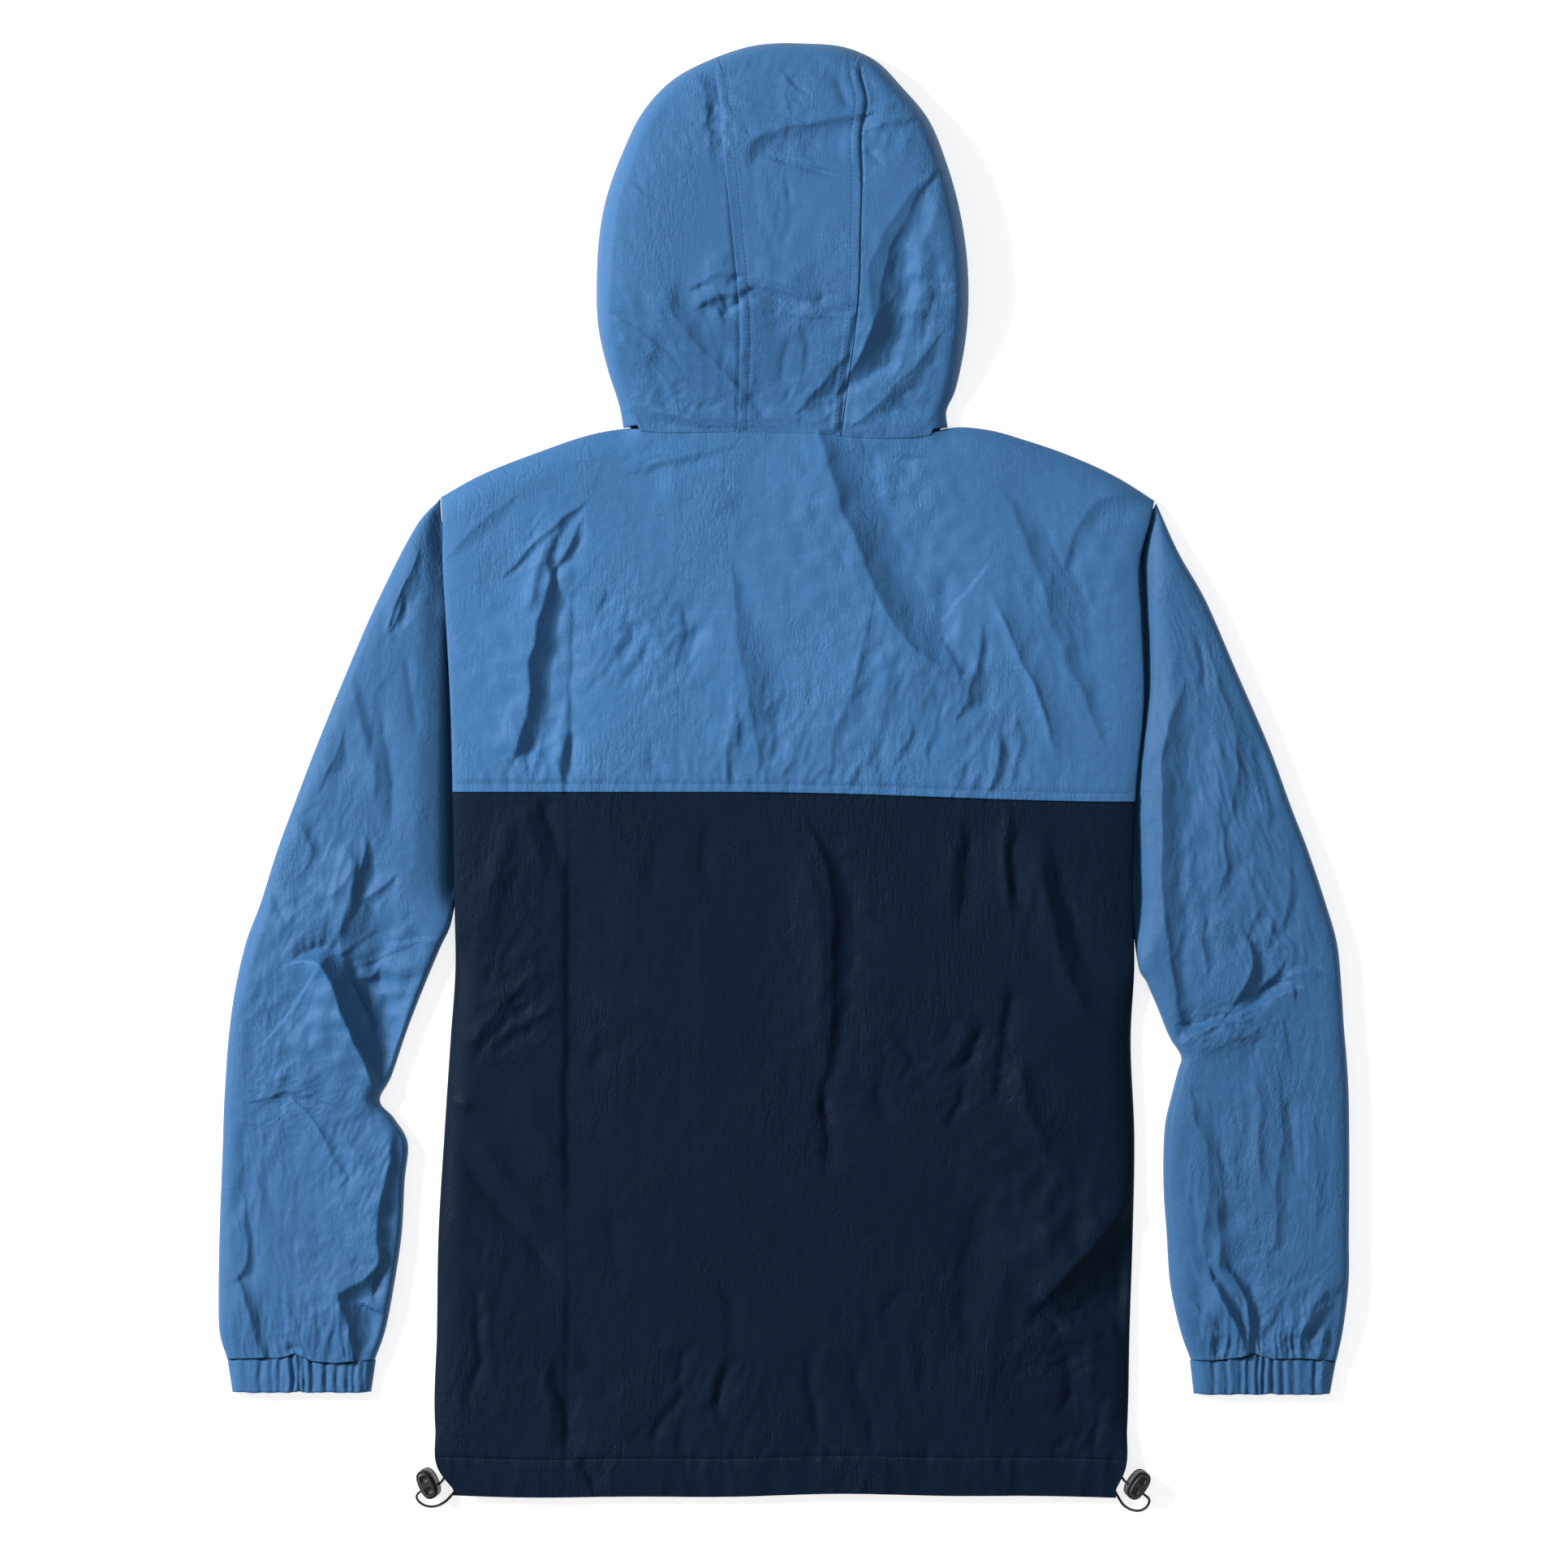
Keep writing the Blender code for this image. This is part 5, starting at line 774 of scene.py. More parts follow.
def facet_height(x, y, facet):
    """Height of one facet at the points: up to its crest, down its band and slowly back."""
    line = path_through(np.array(facet.points, float) * MM, 4 * len(facet.points))
    path, widths = line[:, :2], np.maximum(line[:, 2], 0.4 * MM)
    near = near_path(path, FACET_REACH * widths.max(), x, y)
    height = np.zeros(x.shape)
    if near.any():
        x, y = x[near], y[near]
        away, _, side, place = nearest_on(path, x, y)
        width = np.interp(place, np.linspace(0, 1, len(widths)), widths)
        width = width * (1 + 0.2 * waves(x / (13 * MM), y / (13 * MM), 6))
        across = side * away / width
        rise = CREST_SHARE * np.clip(1 + across / FACET_REACH, 0, 1) ** 2
        drop = CREST_SHARE - 1 + (1 - across / FACET_FADE) ** 2
        back = (CREST_SHARE - 1) * np.clip((FACET_REACH - across) / (FACET_REACH - FACET_FADE), 0, 1) ** 2
        profile = np.where(across < 0, rise, np.where(across < FACET_FADE, drop, back))
        height[near] = FACET_DEPTH * facet.slope * width * profile
    return height


def crumple_height(x, y, patch, seed):
    """Height of a patch of fine crumple at the points."""
    east, north = (x - patch.x * MM) / (patch.reach_x * MM), (y - patch.y * MM) / (patch.reach_y * MM)
    window = np.exp(-1.4 * (east**2 + north**2) ** 1.5)
    turn = math.radians(patch.turn)
    along = (x * math.cos(turn) + y * math.sin(turn)) / (patch.length * MM)
    across = (y * math.cos(turn) - x * math.sin(turn)) / (patch.width * MM * 2)
    coarse = ridges(along + 0.35 * across, across + 0.5 * waves(along, across, seed + 7), seed)
    fine = ridges(2.1 * along - across, 2.0 * across, seed + 11)
    return patch.height * MM * window * (0.54 * coarse + 0.28 * fine)


def relief(x, y, creases, facets, crumples, sizes, seed):
    """Height that folds, crumple and soft waves add to a piece at the points."""
    bent_x, bent_y = (place + 1.5 * MM * waves(x / (16 * MM), y / (16 * MM), seed + number)
                      for number, place in ((1, x), (2, y)))
    folds, rough = np.zeros(x.shape), np.zeros(x.shape)
    for crease in creases:
        folds += CREASE_DEPTH * crease_height(bent_x, bent_y, crease)
    for facet in facets:
        folds += facet_height(bent_x, bent_y, facet)
    for number, patch in enumerate(crumples):
        rough += crumple_height(bent_x, bent_y, patch, seed + 31 * number)
    rough += 0.7 * MM * waves(x / (74 * MM), y / (96 * MM), seed + 3)
    rough += 0.24 * MM * waves(x / (26 * MM), y / (38 * MM), seed + 4)
    rough += 0.10 * MM * ridges(x / (15 * MM), y / (21 * MM), seed + 5)
    rough += 0.10 * MM * ridges(x / (8.5 * MM), y / (9.5 * MM), seed + 6)
    return folds * sizes.folds + rough * sizes.crumple


def stitch_relief(from_line, along, height, seed):
    """Groove of a stitch line and the cloth that draws up beside it."""
    drawn = ridges(along / (13 * MM), from_line / (40 * MM), seed) * 0.7
    drawn += ridges(along / (6.4 * MM), from_line / (30 * MM), seed + 1) * 0.4
    return height * drawn * hump(from_line, 8.0 * MM) - 0.8 * MM * hump(from_line, 1.6 * MM)


# --- form of the body -----------------------------------------------------------------
def body_edge(y, side):
    return curve_of(BODY, y, WORDS[side])


def top_line(x):
    return curve_of(TOP_LINE, x, "y", "x")


def yoke_seam(x):
    middle, reach = -30 * MM, 270 * MM
    return YOKE_SEAM_Y - YOKE_SEAM_DROP * ease((x - middle) / reach)


def hem_line(x):
    return HEM_Y + 1.0 * MM * np.sin(x / (58 * MM) + 0.6) + 0.5 * MM * np.sin(x / (23 * MM))


def side_height(y, side):
    below_armhole = ease((UNDERARM[side] - y) / SIDE_EASE)
    above_hem = ease((y - HEM_Y - HEM_CORNER_OPEN) / SIDE_EASE)
    return mix(ARMHOLE_HEIGHT, FOLD_HEIGHT, below_armhole * above_hem)


def shoulder_return(x):
    from_neck = np.where(x < 0, -NECK_HALF[LEFT] - x, x - NECK_HALF[RIGHT])
    return mix(NECK_RETURN, SHOULDER_RETURN, ease(from_neck / SHOULDER_EASE))


def fold_inset(turn):
    return FOLD_HEIGHT * (1 - np.cos(turn * math.pi / 2))


def fold_drop(turn):
    return 1 - np.sin(turn * math.pi / 2)


def back_top(x, y, sizes):
    """Height of the back's outer face, folds and seams and all."""
    loft = mix(HEM_LOFT, BODY_LOFT, ease((y - HEM_Y) / LOFT_RISE))
    from_edges = [side * (body_edge(y, side) - x) for side in (LEFT, RIGHT)]
    height = loft
    for side, away in zip((LEFT, RIGHT), from_edges):
        height = height - (loft - side_height(y, side)) * (1 - rounding(away, BODY_ROUNDING))
    neck = ease((x + NECK_HALF[LEFT] + NECK_MARGIN) / NECK_EASE)
    neck = neck * ease((NECK_HALF[RIGHT] + NECK_MARGIN - x) / NECK_EASE)
    from_top, seam, hem = top_line(x) - y, y - yoke_seam(x), y - hem_line(x)
    height = FOLD_HEIGHT + (height - FOLD_HEIGHT) * mix(rounding(from_top, BODY_ROUNDING), 1.0, neck)
    folds = relief(x, y, BACK_CREASES, BACK_FACETS, BACK_CRUMPLES, sizes, 3)
    folds = folds * (1 - 0.45 * hump(seam - YOKE_STITCH / 2, 5 * MM))
    folds = folds * mix(BODY_FOLDS, 1.0, ease((seam + BODY_CALM / 2) / BODY_CALM))
    folds += stitch_relief(seam - YOKE_STITCH, x, sizes.pucker, 61)
    folds += stitch_relief(hem - HEM_CASING, x, 1.25 * sizes.pucker, 67)
    folds += 0.9 * sizes.pucker * ridges(x / (17 * MM), hem / (60 * MM), 71) * hump(hem, 26 * MM)
    folds += 0.5 * MM * hump(hem - HEM_CASING / 2, 9 * MM)
    side = ease((np.minimum(*from_edges) + 2 * MM) / FOLD_MARGIN)
    return height + folds * side * mix(ease(from_top / FOLD_MARGIN), 1.0, neck)


# --- making meshes --------------------------------------------------------------------
JOIN = 0.02 * MM
STRIDE = 3                  # the inner face of a shell has every third point of its outer face


def link_mesh(name, mesh, collection=None):
    """An object of the mesh, in the garment's collection unless another is given."""
    obj = bpy.data.objects.new(name, mesh)
    (collection or anorak_collection()).objects.link(obj)
    return obj


def mesh_piece(name, vertices, faces, material, collection=None, smooth=True):
    mesh = bpy.data.meshes.new(name)
    mesh.from_pydata([tuple(v) for v in vertices], [], [tuple(int(i) for i in face) for face in faces])
    mesh.materials.append(material)
    if smooth:
        mesh.shade_smooth()
    return link_mesh(name, mesh, collection)


def outward_normals(points, joined):
    """Unit normals of a grid's outer face; the first and last points of a joined row are one."""
    across, up = np.gradient(points, axis=1), np.gradient(points, axis=0)
    across[joined, 0] = across[joined, -1] = (points[joined, 1] - points[joined, -2]) / 2
    return unit(np.cross(across, up))


def grid_normals(points):
    """Upward unit normals of a grid of points."""
    normals = np.cross(np.gradient(points, axis=1), np.gradient(points, axis=0))
    return unit(normals * np.sign(normals[..., 2:] + 1e-12))


def seam_line(points, row, inset):
    """Places and normals along a row of a grid, without its ends."""
    return points[row, inset:-inset], grid_normals(points)[row, inset:-inset]


def inner_points(points, wall, joined):
    """The inner face's points: a wall below the outer ones, lower under sharp troughs."""
    normals = outward_normals(points, joined)
    rows, columns = points.shape[:2]
    extra = np.zeros((rows, columns))
    share = np.arange(STRIDE + 1) / STRIDE
    for r in range(0, rows - STRIDE, STRIDE):
        starts = np.arange(0, columns - STRIDE, STRIDE)
        band = points[r : r + STRIDE + 1, :, 2]
        cells = band[:, starts[:, None] + np.arange(STRIDE + 1)].transpose(0, 2, 1)
        low = mix(cells[:1, :1], cells[:1, -1:], share[None, :, None])
        high = mix(cells[-1:, :1], cells[-1:, -1:], share[None, :, None])
        over = (mix(low, high, share[:, None, None]) - cells).max(axis=(0, 1))
        for row in (r, r + STRIDE):
            for column in (starts, starts + STRIDE):
                extra[row, column] = np.maximum(extra[row, column], over)
    extra *= normals[..., 2] > 0.6
    extra[joined, 0] = extra[joined, -1] = np.maximum(extra[joined, 0], extra[joined, -1])
    return points - normals * (wall + np.minimum(extra, 4.0 * MM))[..., None]


def inner_faces(number, keep):
    """Faces of the inner side: one for each block of cells, with every point at its free edges."""
    rows, columns = keep.shape
    starts_r, starts_c = range(0, rows, STRIDE), range(0, columns, STRIDE)
    whole = np.array([[keep[r : r + STRIDE, c : c + STRIDE].all() for c in starts_c] for r in starts_r])
    padded = np.pad(whole, 1)
    faces = []
    for i, r in enumerate(starts_r):
        for j, c in enumerate(starts_c):
            r2, c2 = min(r + STRIDE, rows), min(c + STRIDE, columns)
            if not whole[i, j]:
                faces += [(number[a, b], number[a + 1, b], number[a + 1, b + 1], number[a, b + 1])
                          for a in range(r, r2) for b in range(c, c2) if keep[a, b]]
                continue
            west, north, east, south = (STRIDE if near else 1 for near in (
                padded[i + 1, j], padded[i + 2, j + 1], padded[i + 1, j + 2], padded[i, j + 1]))
            faces.append(tuple(np.concatenate([number[r:r2:west, c], number[r2, c:c2:north],
                                               number[r2:r:-east, c2], number[r, c2:c:-south]])))
    return faces


def rim_faces(number, under, keep, joined):
    """Faces that join the outer and inner sides along the free edges."""
    padded = np.pad(keep, 1)
    faces = []
    for a, b in np.argwhere(keep):
        shut = joined[a] and joined[a + 1]
        west = padded[a + 1, b] or (shut and b == 0)
        east = padded[a + 1, b + 2] or (shut and b == keep.shape[1] - 1)
        corners = ((a, b), (a, b + 1), (a + 1, b + 1), (a + 1, b), (a, b))
        for closed, p, q in zip((padded[a, b + 1], east, padded[a + 2, b + 1], west), corners, corners[1:]):
            if not closed:
                faces.append((number[q], number[p], under[p], under[q]))
    return faces


def cloth_piece(node, finish, points, wall, keep=None, ring=False):
    """A shell whose outer face is the grid points[row, column], in the place of its solid."""
    rows, columns = points.shape[:2]
    if keep is None:
        keep = np.ones((rows - 1, columns - 1), bool)
    number = np.arange(rows * columns).reshape(rows, columns)
    under = number + rows * columns
    corners = (number[:-1, :-1], number[:-1, 1:], number[1:, 1:], number[1:, :-1])
    joined = ring & (np.linalg.norm(points[:, 0] - points[:, -1], axis=1) < JOIN)
    faces = np.stack(corners, axis=-1)[keep].tolist() + inner_faces(under, keep)
    faces += rim_faces(number, under, keep, joined)
    used, index = np.unique(np.concatenate([np.array(face) for face in faces]), return_inverse=True)
    both = np.concatenate([points.reshape(-1, 3), inner_points(points, wall, joined).reshape(-1, 3)])
    ends = np.cumsum([len(face) for face in faces])[:-1]
    name = f"{node}_cloth"
    mesh = bpy.data.meshes.new(name)
    mesh.from_pydata(both[used].tolist(), [], [part.tolist() for part in np.split(index, ends)])
    if ring:
        bm = bmesh.new()
        bm.from_mesh(mesh)
        bmesh.ops.remove_doubles(bm, verts=bm.verts, dist=JOIN)
        bm.to_mesh(mesh)
        bm.free()
    mesh.materials.append(finish_of(finish))
    mesh.shade_smooth()
    obj = link_mesh(name, mesh)
    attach(obj, "garment")
    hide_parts(node)


# --- back -----------------------------------------------------------------------------
EDGE_STEPS = [step * MM for step in (0.0, 0.5, 1.3, 2.6, 4.2, 6.0, 8.0, 10.0, 12.0)]
FOLD_TURNS = [0.25, 0.5, 0.75, 1.0]
RETURN_SHARES = (1.0, 0.72, 0.44)
UNDER_COLUMNS = len(RETURN_SHARES) + len(FOLD_TURNS)    # columns of the back under each side fold
INNER_STEP = EDGE_STEPS[-1]
YOKE_COLUMNS = 326
BODY_COLUMNS = 254
YOKE_OFFSETS = (-0.5, 0.3, 1.3, 2.6, 3.9, 4.8, 5.6, 6.4, 7.6, 9.4)
HEM_OFFSETS = (0.0, 0.7, 1.8, 3.4, 5.4, 7.6, 9.8, 12.0, 14.2, 16.4,
               18.2, 20.2, 22.0, 23.6, 24.7, 25.5, 26.3, 27.4, 29.0, 31.0)
LAP_OFFSETS = (-5.0, -3.2, -1.8, -0.8, 0.2, 1.6, LAP / MM)
YOKE_STITCH_ROW, HEM_STITCH_ROW = 6, 15


def back_columns(count):
    """Each column of the back as (side, kind, value), from under its left fold to under its right one."""
    left = [(LEFT, "return", share * SIDE_RETURN) for share in RETURN_SHARES]
    left += [(LEFT, "under", turn) for turn in reversed(FOLD_TURNS)]
    left += [(LEFT, "top", step) for step in EDGE_STEPS]
    middle = [(0, "top", fraction) for fraction in np.linspace(0, 1, count)[1:-1]]
    return left + middle + [(RIGHT, kind, value) for _, kind, value in reversed(left)]


def back_grid(line, count, columns, sizes):
    """Points of the back along count lines across it, where line(x) gives the y of each one at x."""
    edges, lows = {}, {}
    for side in (LEFT, RIGHT):
        y = np.zeros(count)
        for _ in range(6):
            y = line(body_edge(y, side))
        edges[side], lows[side] = body_edge(y, side), side_height(y, side)
    points = np.zeros((count, len(columns), 3))
    for column, (side, kind, value) in enumerate(columns):
        if side == 0:
            x = mix(edges[LEFT] + INNER_STEP, edges[RIGHT] - INNER_STEP, value)
        elif kind == "under":
            x = edges[side] - side * fold_inset(value)
            points[:, column, 2] = lows[side] * fold_drop(value)
        else:
            x = edges[side] - side * value
        points[:, column, 0], points[:, column, 1] = x, line(x)
    top = np.array([kind == "top" for _, kind, _ in columns])
    points[:, top, 2] = back_top(points[:, top, 0], points[:, top, 1], sizes)
    return points, top


def build_back_yoke(sizes):
    """The back yoke with its turn under the shoulders. Gives its stitch line."""
    rows = [(0.0, offset * MM) for offset in YOKE_OFFSETS]
    rows += [(share, 0.0) for share in np.linspace(0.048, 1.0, 170)[:-1]]
    rows += [(1.0, INNER_STEP - step) for step in reversed(EDGE_STEPS)]
    share, offset = np.array(rows).T

    def line(x):
        return mix(yoke_seam(x), top_line(x) - INNER_STEP, share) + offset

    columns = back_columns(YOKE_COLUMNS)
    points, top = back_grid(line, len(share), columns, sizes)
    edge = np.abs(points[..., 1] - yoke_seam(points[..., 0]))
    points[:, top, 2] += (0.55 * MM * hump(edge, 3.0 * MM))[:, top]
    top_row = points[-1]
    returns = [(fold_inset(turn), FOLD_HEIGHT * fold_drop(turn)) for turn in FOLD_TURNS]
    returns += [(mix(FOLD_HEIGHT, shoulder_return(top_row[:, 0]), part), 0.0) for part in (0.35, 0.7, 1.0)]
    grid = [points]
    for distance, height in returns:
        row = top_row.copy()
        row[:, 1] -= distance
        row[:, 2] = height
        for column, (side, kind, value) in enumerate(columns):
            if side and kind == "top":
                row[column, 0] = body_edge(row[column, 1], side) - side * value
        grid.append(row[None])
    grid = np.concatenate(grid)
    keep = np.zeros((grid.shape[0] - 1, grid.shape[1] - 1), bool)
    both_top = top[:-1] & top[1:]
    keep[: len(share) - 1, both_top] = True
    middle = (top_row[:-1, 0] + top_row[1:, 0]) / 2
    keep[len(share) - 1 :, both_top & ((middle < -NECK_HALF[LEFT]) | (middle > NECK_HALF[RIGHT]))] = True
    cloth_piece("back_yoke", "blue nylon", grid, sizes.cloth, keep)
    return seam_line(points, YOKE_STITCH_ROW, UNDER_COLUMNS + 3)


def build_back_body(sizes):
    """The lower back with its turn under the sides. Gives the stitch line of its hem."""
    rows = [(0.0, offset * MM) for offset in HEM_OFFSETS]
    rows += [(share, 0.0) for share in np.linspace(0.0685, 0.985, 248)]
    rows += [(1.0, offset * MM) for offset in LAP_OFFSETS]
    share, offset = np.array(rows).T

    def line(x):
        return mix(hem_line(x), yoke_seam(x), share) + offset

    columns = back_columns(BODY_COLUMNS)
    points, top = back_grid(line, len(share), columns, sizes)
    x, y = points[..., 0], points[..., 1]
    points[:, top, 2] -= (1.5 * MM * ease((y - yoke_seam(x) + 3.0 * MM) / (3.6 * MM)))[:, top]
    from_hem = (y - hem_line(x))[:-1, :-1] + 0.5 * MM
    underarm = np.array([UNDERARM.get(side, 0.0) for side, _, _ in columns[:-1]])
    keep = (from_hem > HEM_CORNER_OPEN) & (y[1:, :-1] < underarm + 1.0 * MM)
    keep[:, top[:-1] & top[1:]] = True
    cloth_piece("back_body", "navy nylon", points, sizes.cloth, keep)
    return seam_line(points, HEM_STITCH_ROW, UNDER_COLUMNS + 4)


# --- front ----------------------------------------------------------------------------
FRONT_HALF = 36             # columns of the front on each side of its middle
SIDE_GAP = 0.3 * MM
SIDE_SHIFT_REACH = 120 * MM


def floor_relief(x, y, edge, sizes, seed):
    """Height of the soft folds of cloth that lies on the floor, none at its edges."""
    folds = ridges(x / (46 * MM), y / (90 * MM), seed) + 0.6 * ridges(x / (21 * MM), y / (34 * MM), seed + 1)
    return np.clip(folds, 0, None) * 0.9 * MM * sizes.crumple * ease(edge / (14 * MM))


def front_grid(low, high, gap, rows, sizes, seed):
    """A floor grid between two lines, a gap inside the body's sides, its columns from right to left."""
    points = np.zeros((len(rows), 2 * FRONT_HALF, 3))
    for row, share in enumerate(rows):
        ends = {}
        for side in (LEFT, RIGHT):
            y = 0.0
            for _ in range(7):
                ends[side] = body_edge(y, side) - side * gap
                y = mix(low(ends[side]), high(ends[side]), share)
        x = np.concatenate([np.linspace(ends[RIGHT], SLIT_WIDTH / 2, FRONT_HALF),
                            np.linspace(-SLIT_WIDTH / 2, ends[LEFT], FRONT_HALF)])
        points[row, :, 0], points[row, :, 1] = x, mix(low(x), high(x), share)
    x, y = points[..., 0], points[..., 1]
    edge = np.minimum.reduce([x - body_edge(y, LEFT), body_edge(y, RIGHT) - x, np.abs(x) + 2 * MM, y - HEM_Y])
    edge = np.minimum(edge, np.abs(y - yoke_seam(x)) + 3 * MM)
    points[..., 2] = floor_relief(x, y, edge, sizes, seed)
    return points


def build_front_body(sizes):
    """The lower front, its sides drawn in to the side seams under the back."""
    points = front_grid(hem_line, yoke_seam, SIDE_GAP, np.linspace(0, 1, 76), sizes, 91)
    x, y = points[..., 0], points[..., 1]
    returned = (SIDE_RETURN + SIDE_GAP) * ease((y - HEM_Y) / (2 * MM))
    moves = []
    for side in (LEFT, RIGHT):
        away = side * (body_edge(y, side) - side * SIDE_GAP - x)
        moves.append(side * returned * (y < UNDERARM[side]) * np.clip(1 - away / SIDE_SHIFT_REACH, 0, 1))
    points[..., 0] -= sum(moves)
    cloth_piece("front_body", "navy nylon", points, sizes.cloth)


def build_front_yoke(sizes):
    """The front yoke, from the seam up to the neck and the shoulders, with its centre slit."""

    def low(x):
        return yoke_seam(x) + 0.3 * MM

    def high(x):
        along = 1 - np.minimum(np.abs(x) / np.where(x < 0, NECK_HALF[LEFT], NECK_HALF[RIGHT]), 1)
        neckline = mix(NECK_CORNER_Y, FRONT_NECK_Y, along) - FRONT_NECK_BOW * 4 * along * (1 - along)
        shoulder = top_line(x) - shoulder_return(x) - CURVED_GAP
        inside = (x > -NECK_HALF[LEFT]) & (x < NECK_HALF[RIGHT])
        return np.where(inside, np.minimum(shoulder, neckline - CURVED_GAP), shoulder)

    slit = (SLIT_BOTTOM_Y - YOKE_SEAM_Y) / (FRONT_NECK_Y - YOKE_SEAM_Y)
    rows = np.concatenate([np.linspace(0, slit, 6), np.linspace(slit, 1, 36)[1:]])
    points = front_grid(low, high, CURVED_GAP, rows, sizes, 97)
    keep = np.ones((points.shape[0] - 1, points.shape[1] - 1), bool)
    keep[5:, FRONT_HALF - 1] = False
    cloth_piece("front_yoke", "blue nylon", points, sizes.cloth, keep)


# --- sleeves --------------------------------------------------------------------------
SLEEVE_ROWS = 400
SLEEVE_CELLS = 110
UNDER_STEPS = [step * MM for step in (0.5, 1.3, 2.6, 4.5)]
NARROW = 42 * MM
HEAD_RISE = 36 * MM
LOWEST_TOP = 1.6 * MM
CUFF_WALL = 1.5 * MM
SLEEVE_SEEDS = {LEFT: 201, RIGHT: 211}
# How far the head of each sleeve drops beside the armhole, and over what width (mm).
HEAD_DROP = "y depth reach"
HEAD_DROPS = {
    LEFT: table(HEAD_DROP, [
        (-110, 9, 7), (-80, 9, 7), (-20, 9, 7), (40, 8, 6), (80, 5, 5), (100, 1.5, 5), (170, 0, 4),
    ]),
    RIGHT: table(HEAD_DROP, [
        (-140, 12, 9), (-110, 12, 9), (-60, 9, 7), (-20, 7, 5), (20, 8, 5), (50, 10, 7), (80, 12, 9),
        (120, 12, 10), (160, 10, 8), (180, 2, 4),
    ]),
}


def sleeve_sections(side):
    """Sections of a sleeve from its cuff to its head; the open ones end on the body's edge."""
    rows = []
    for row in SLEEVES[side]:
        beside = abs(float(body_edge(row.inner_y * MM, side))) / MM
        rows.append(row if row.inner_x else row._replace(inner_x=beside))
    sections = np.array(rows, float)
    fine = soft_curve(np.linspace(0, len(rows) - 1, SLEEVE_ROWS), np.arange(len(rows)), sections)[::-1]
    beside = np.abs(body_edge(fine[:, 3] * MM, side)) / MM
    fine[:, 2] = mix(beside, fine[:, 2], np.clip(fine[:, 5], 0, 1))
    return fine


def seam_stray(x, side):
    """How far the seam over a cuff lies from its straight line."""
    places, rises = np.array(CUFF_SEAMS[side]).T * MM
    return np.interp(x, places, rises)


def build_sleeve(side, sizes):
    """Rings round a sleeve: along the floor to the outer fold and back over the top."""
    sections = sleeve_sections(side)
    outer, inner = sections[:, 0:2] * MM, sections[:, 2:4] * MM
    tuck, closed, inner_z = sections[:, 4] * MM, np.clip(sections[:, 5], 0, 1), sections[:, 6] * MM
    floor_end = inner + np.array([CURVED_GAP, 0])
    top_end = inner - np.stack([tuck, np.zeros(len(tuck))], axis=1)
    top_end = mix(top_end, floor_end, closed[:, None])
    width, length = np.linalg.norm(outer - floor_end, axis=1), np.linalg.norm(outer - top_end, axis=1)
    scale = np.minimum(1.0, width / NARROW)
    y_end = sections[0, 1] * MM
    end_loft = mix(CUFF_LOFT + 1.5 * MM, SLEEVE_LOFT, ease((inner[:, 1] - y_end) / (45 * MM)))
    loft = np.minimum(end_loft, FOLD_HEIGHT + 0.24 * width)
    drop_y, drop, drop_reach = np.array(HEAD_DROPS[side]).T * MM
    drop, drop_reach = np.interp(inner[:, 1], drop_y, drop), np.interp(inner[:, 1], drop_y, drop_reach)
    rings = []

    def add(start, distance, height):
        direction = (outer - start) / np.linalg.norm(outer - start, axis=1, keepdims=True)
        place = start + direction * np.broadcast_to(distance, width.shape)[:, None]
        rings.append(np.column_stack([side * place[:, 0], place[:, 1], np.broadcast_to(height, width.shape)]))

    last = UNDER_STEPS[-1]
    add(floor_end, 0.0, closed * inner_z)
    for step in UNDER_STEPS:
        add(floor_end, step * scale, closed * inner_z * (1 - rounding(step, last)))
    for part in np.linspace(0, 1, 20)[1:-1]:
        add(floor_end, mix(last * scale, width - last * scale, part), 0.0)
    for step in reversed(UNDER_STEPS):
        add(floor_end, width - step * scale, FOLD_HEIGHT * (1 - rounding(step, last)))
    add(floor_end, width, FOLD_HEIGHT)
    under = len(rings)
    near = [step * scale for step in EDGE_STEPS]
    distances = [length - step for step in near[1:]]
    distances += [mix(length - near[-1], near[-1], part) for part in np.linspace(0, 1, SLEEVE_CELLS)[1:-1]]
    distances += reversed(near)
    for distance in distances:
        rise_out = shoulder((length - distance) / scale, SLEEVE_ROUNDING)
        rise_in = mix(ease(distance / HEAD_RISE), shoulder(distance / scale, SLEEVE_ROUNDING), closed)
        base = mix(inner_z, FOLD_HEIGHT, distance / length)
        sag = drop * (1 - closed) * hump(np.maximum(distance - tuck, 0), drop_reach)
        add(top_end, distance, base + (loft - base) * rise_in * rise_out - sag)
    points = np.stack(rings, axis=1)
    floor, top = points[:, :under], points[:, under:]
    to_edge = [np.minimum(d + (1 - closed) * 9 * MM, length - d + 1.5 * MM) for d in distances]
    folds = relief(top[..., 0], top[..., 1], SLEEVE_CREASES[side], SLEEVE_FACETS[side], SLEEVE_CRUMPLES[side],
                   sizes, SLEEVE_SEEDS[side])
    top[..., 2] = np.maximum(top[..., 2] + folds * ease(np.stack(to_edge, axis=1) / FOLD_MARGIN), LOWEST_TOP)
    near_cuff = ease(1 - (points[..., 1] - y_end) / (16 * MM))
    points[..., 1] += near_cuff * seam_stray(np.abs(points[..., 0]), side)
    inside = np.minimum(np.arange(under), under - 1 - np.arange(under)) * 5.0 * MM - 20 * MM
    floor[..., 2] += floor_relief(floor[..., 0], floor[..., 1], inside[None, :], sizes, 221)
    word = WORDS[side]
    cloth_piece(f"sleeve_{word}", f"{word} sleeve nylon", points[:, ::-side], sizes.cloth, ring=True)


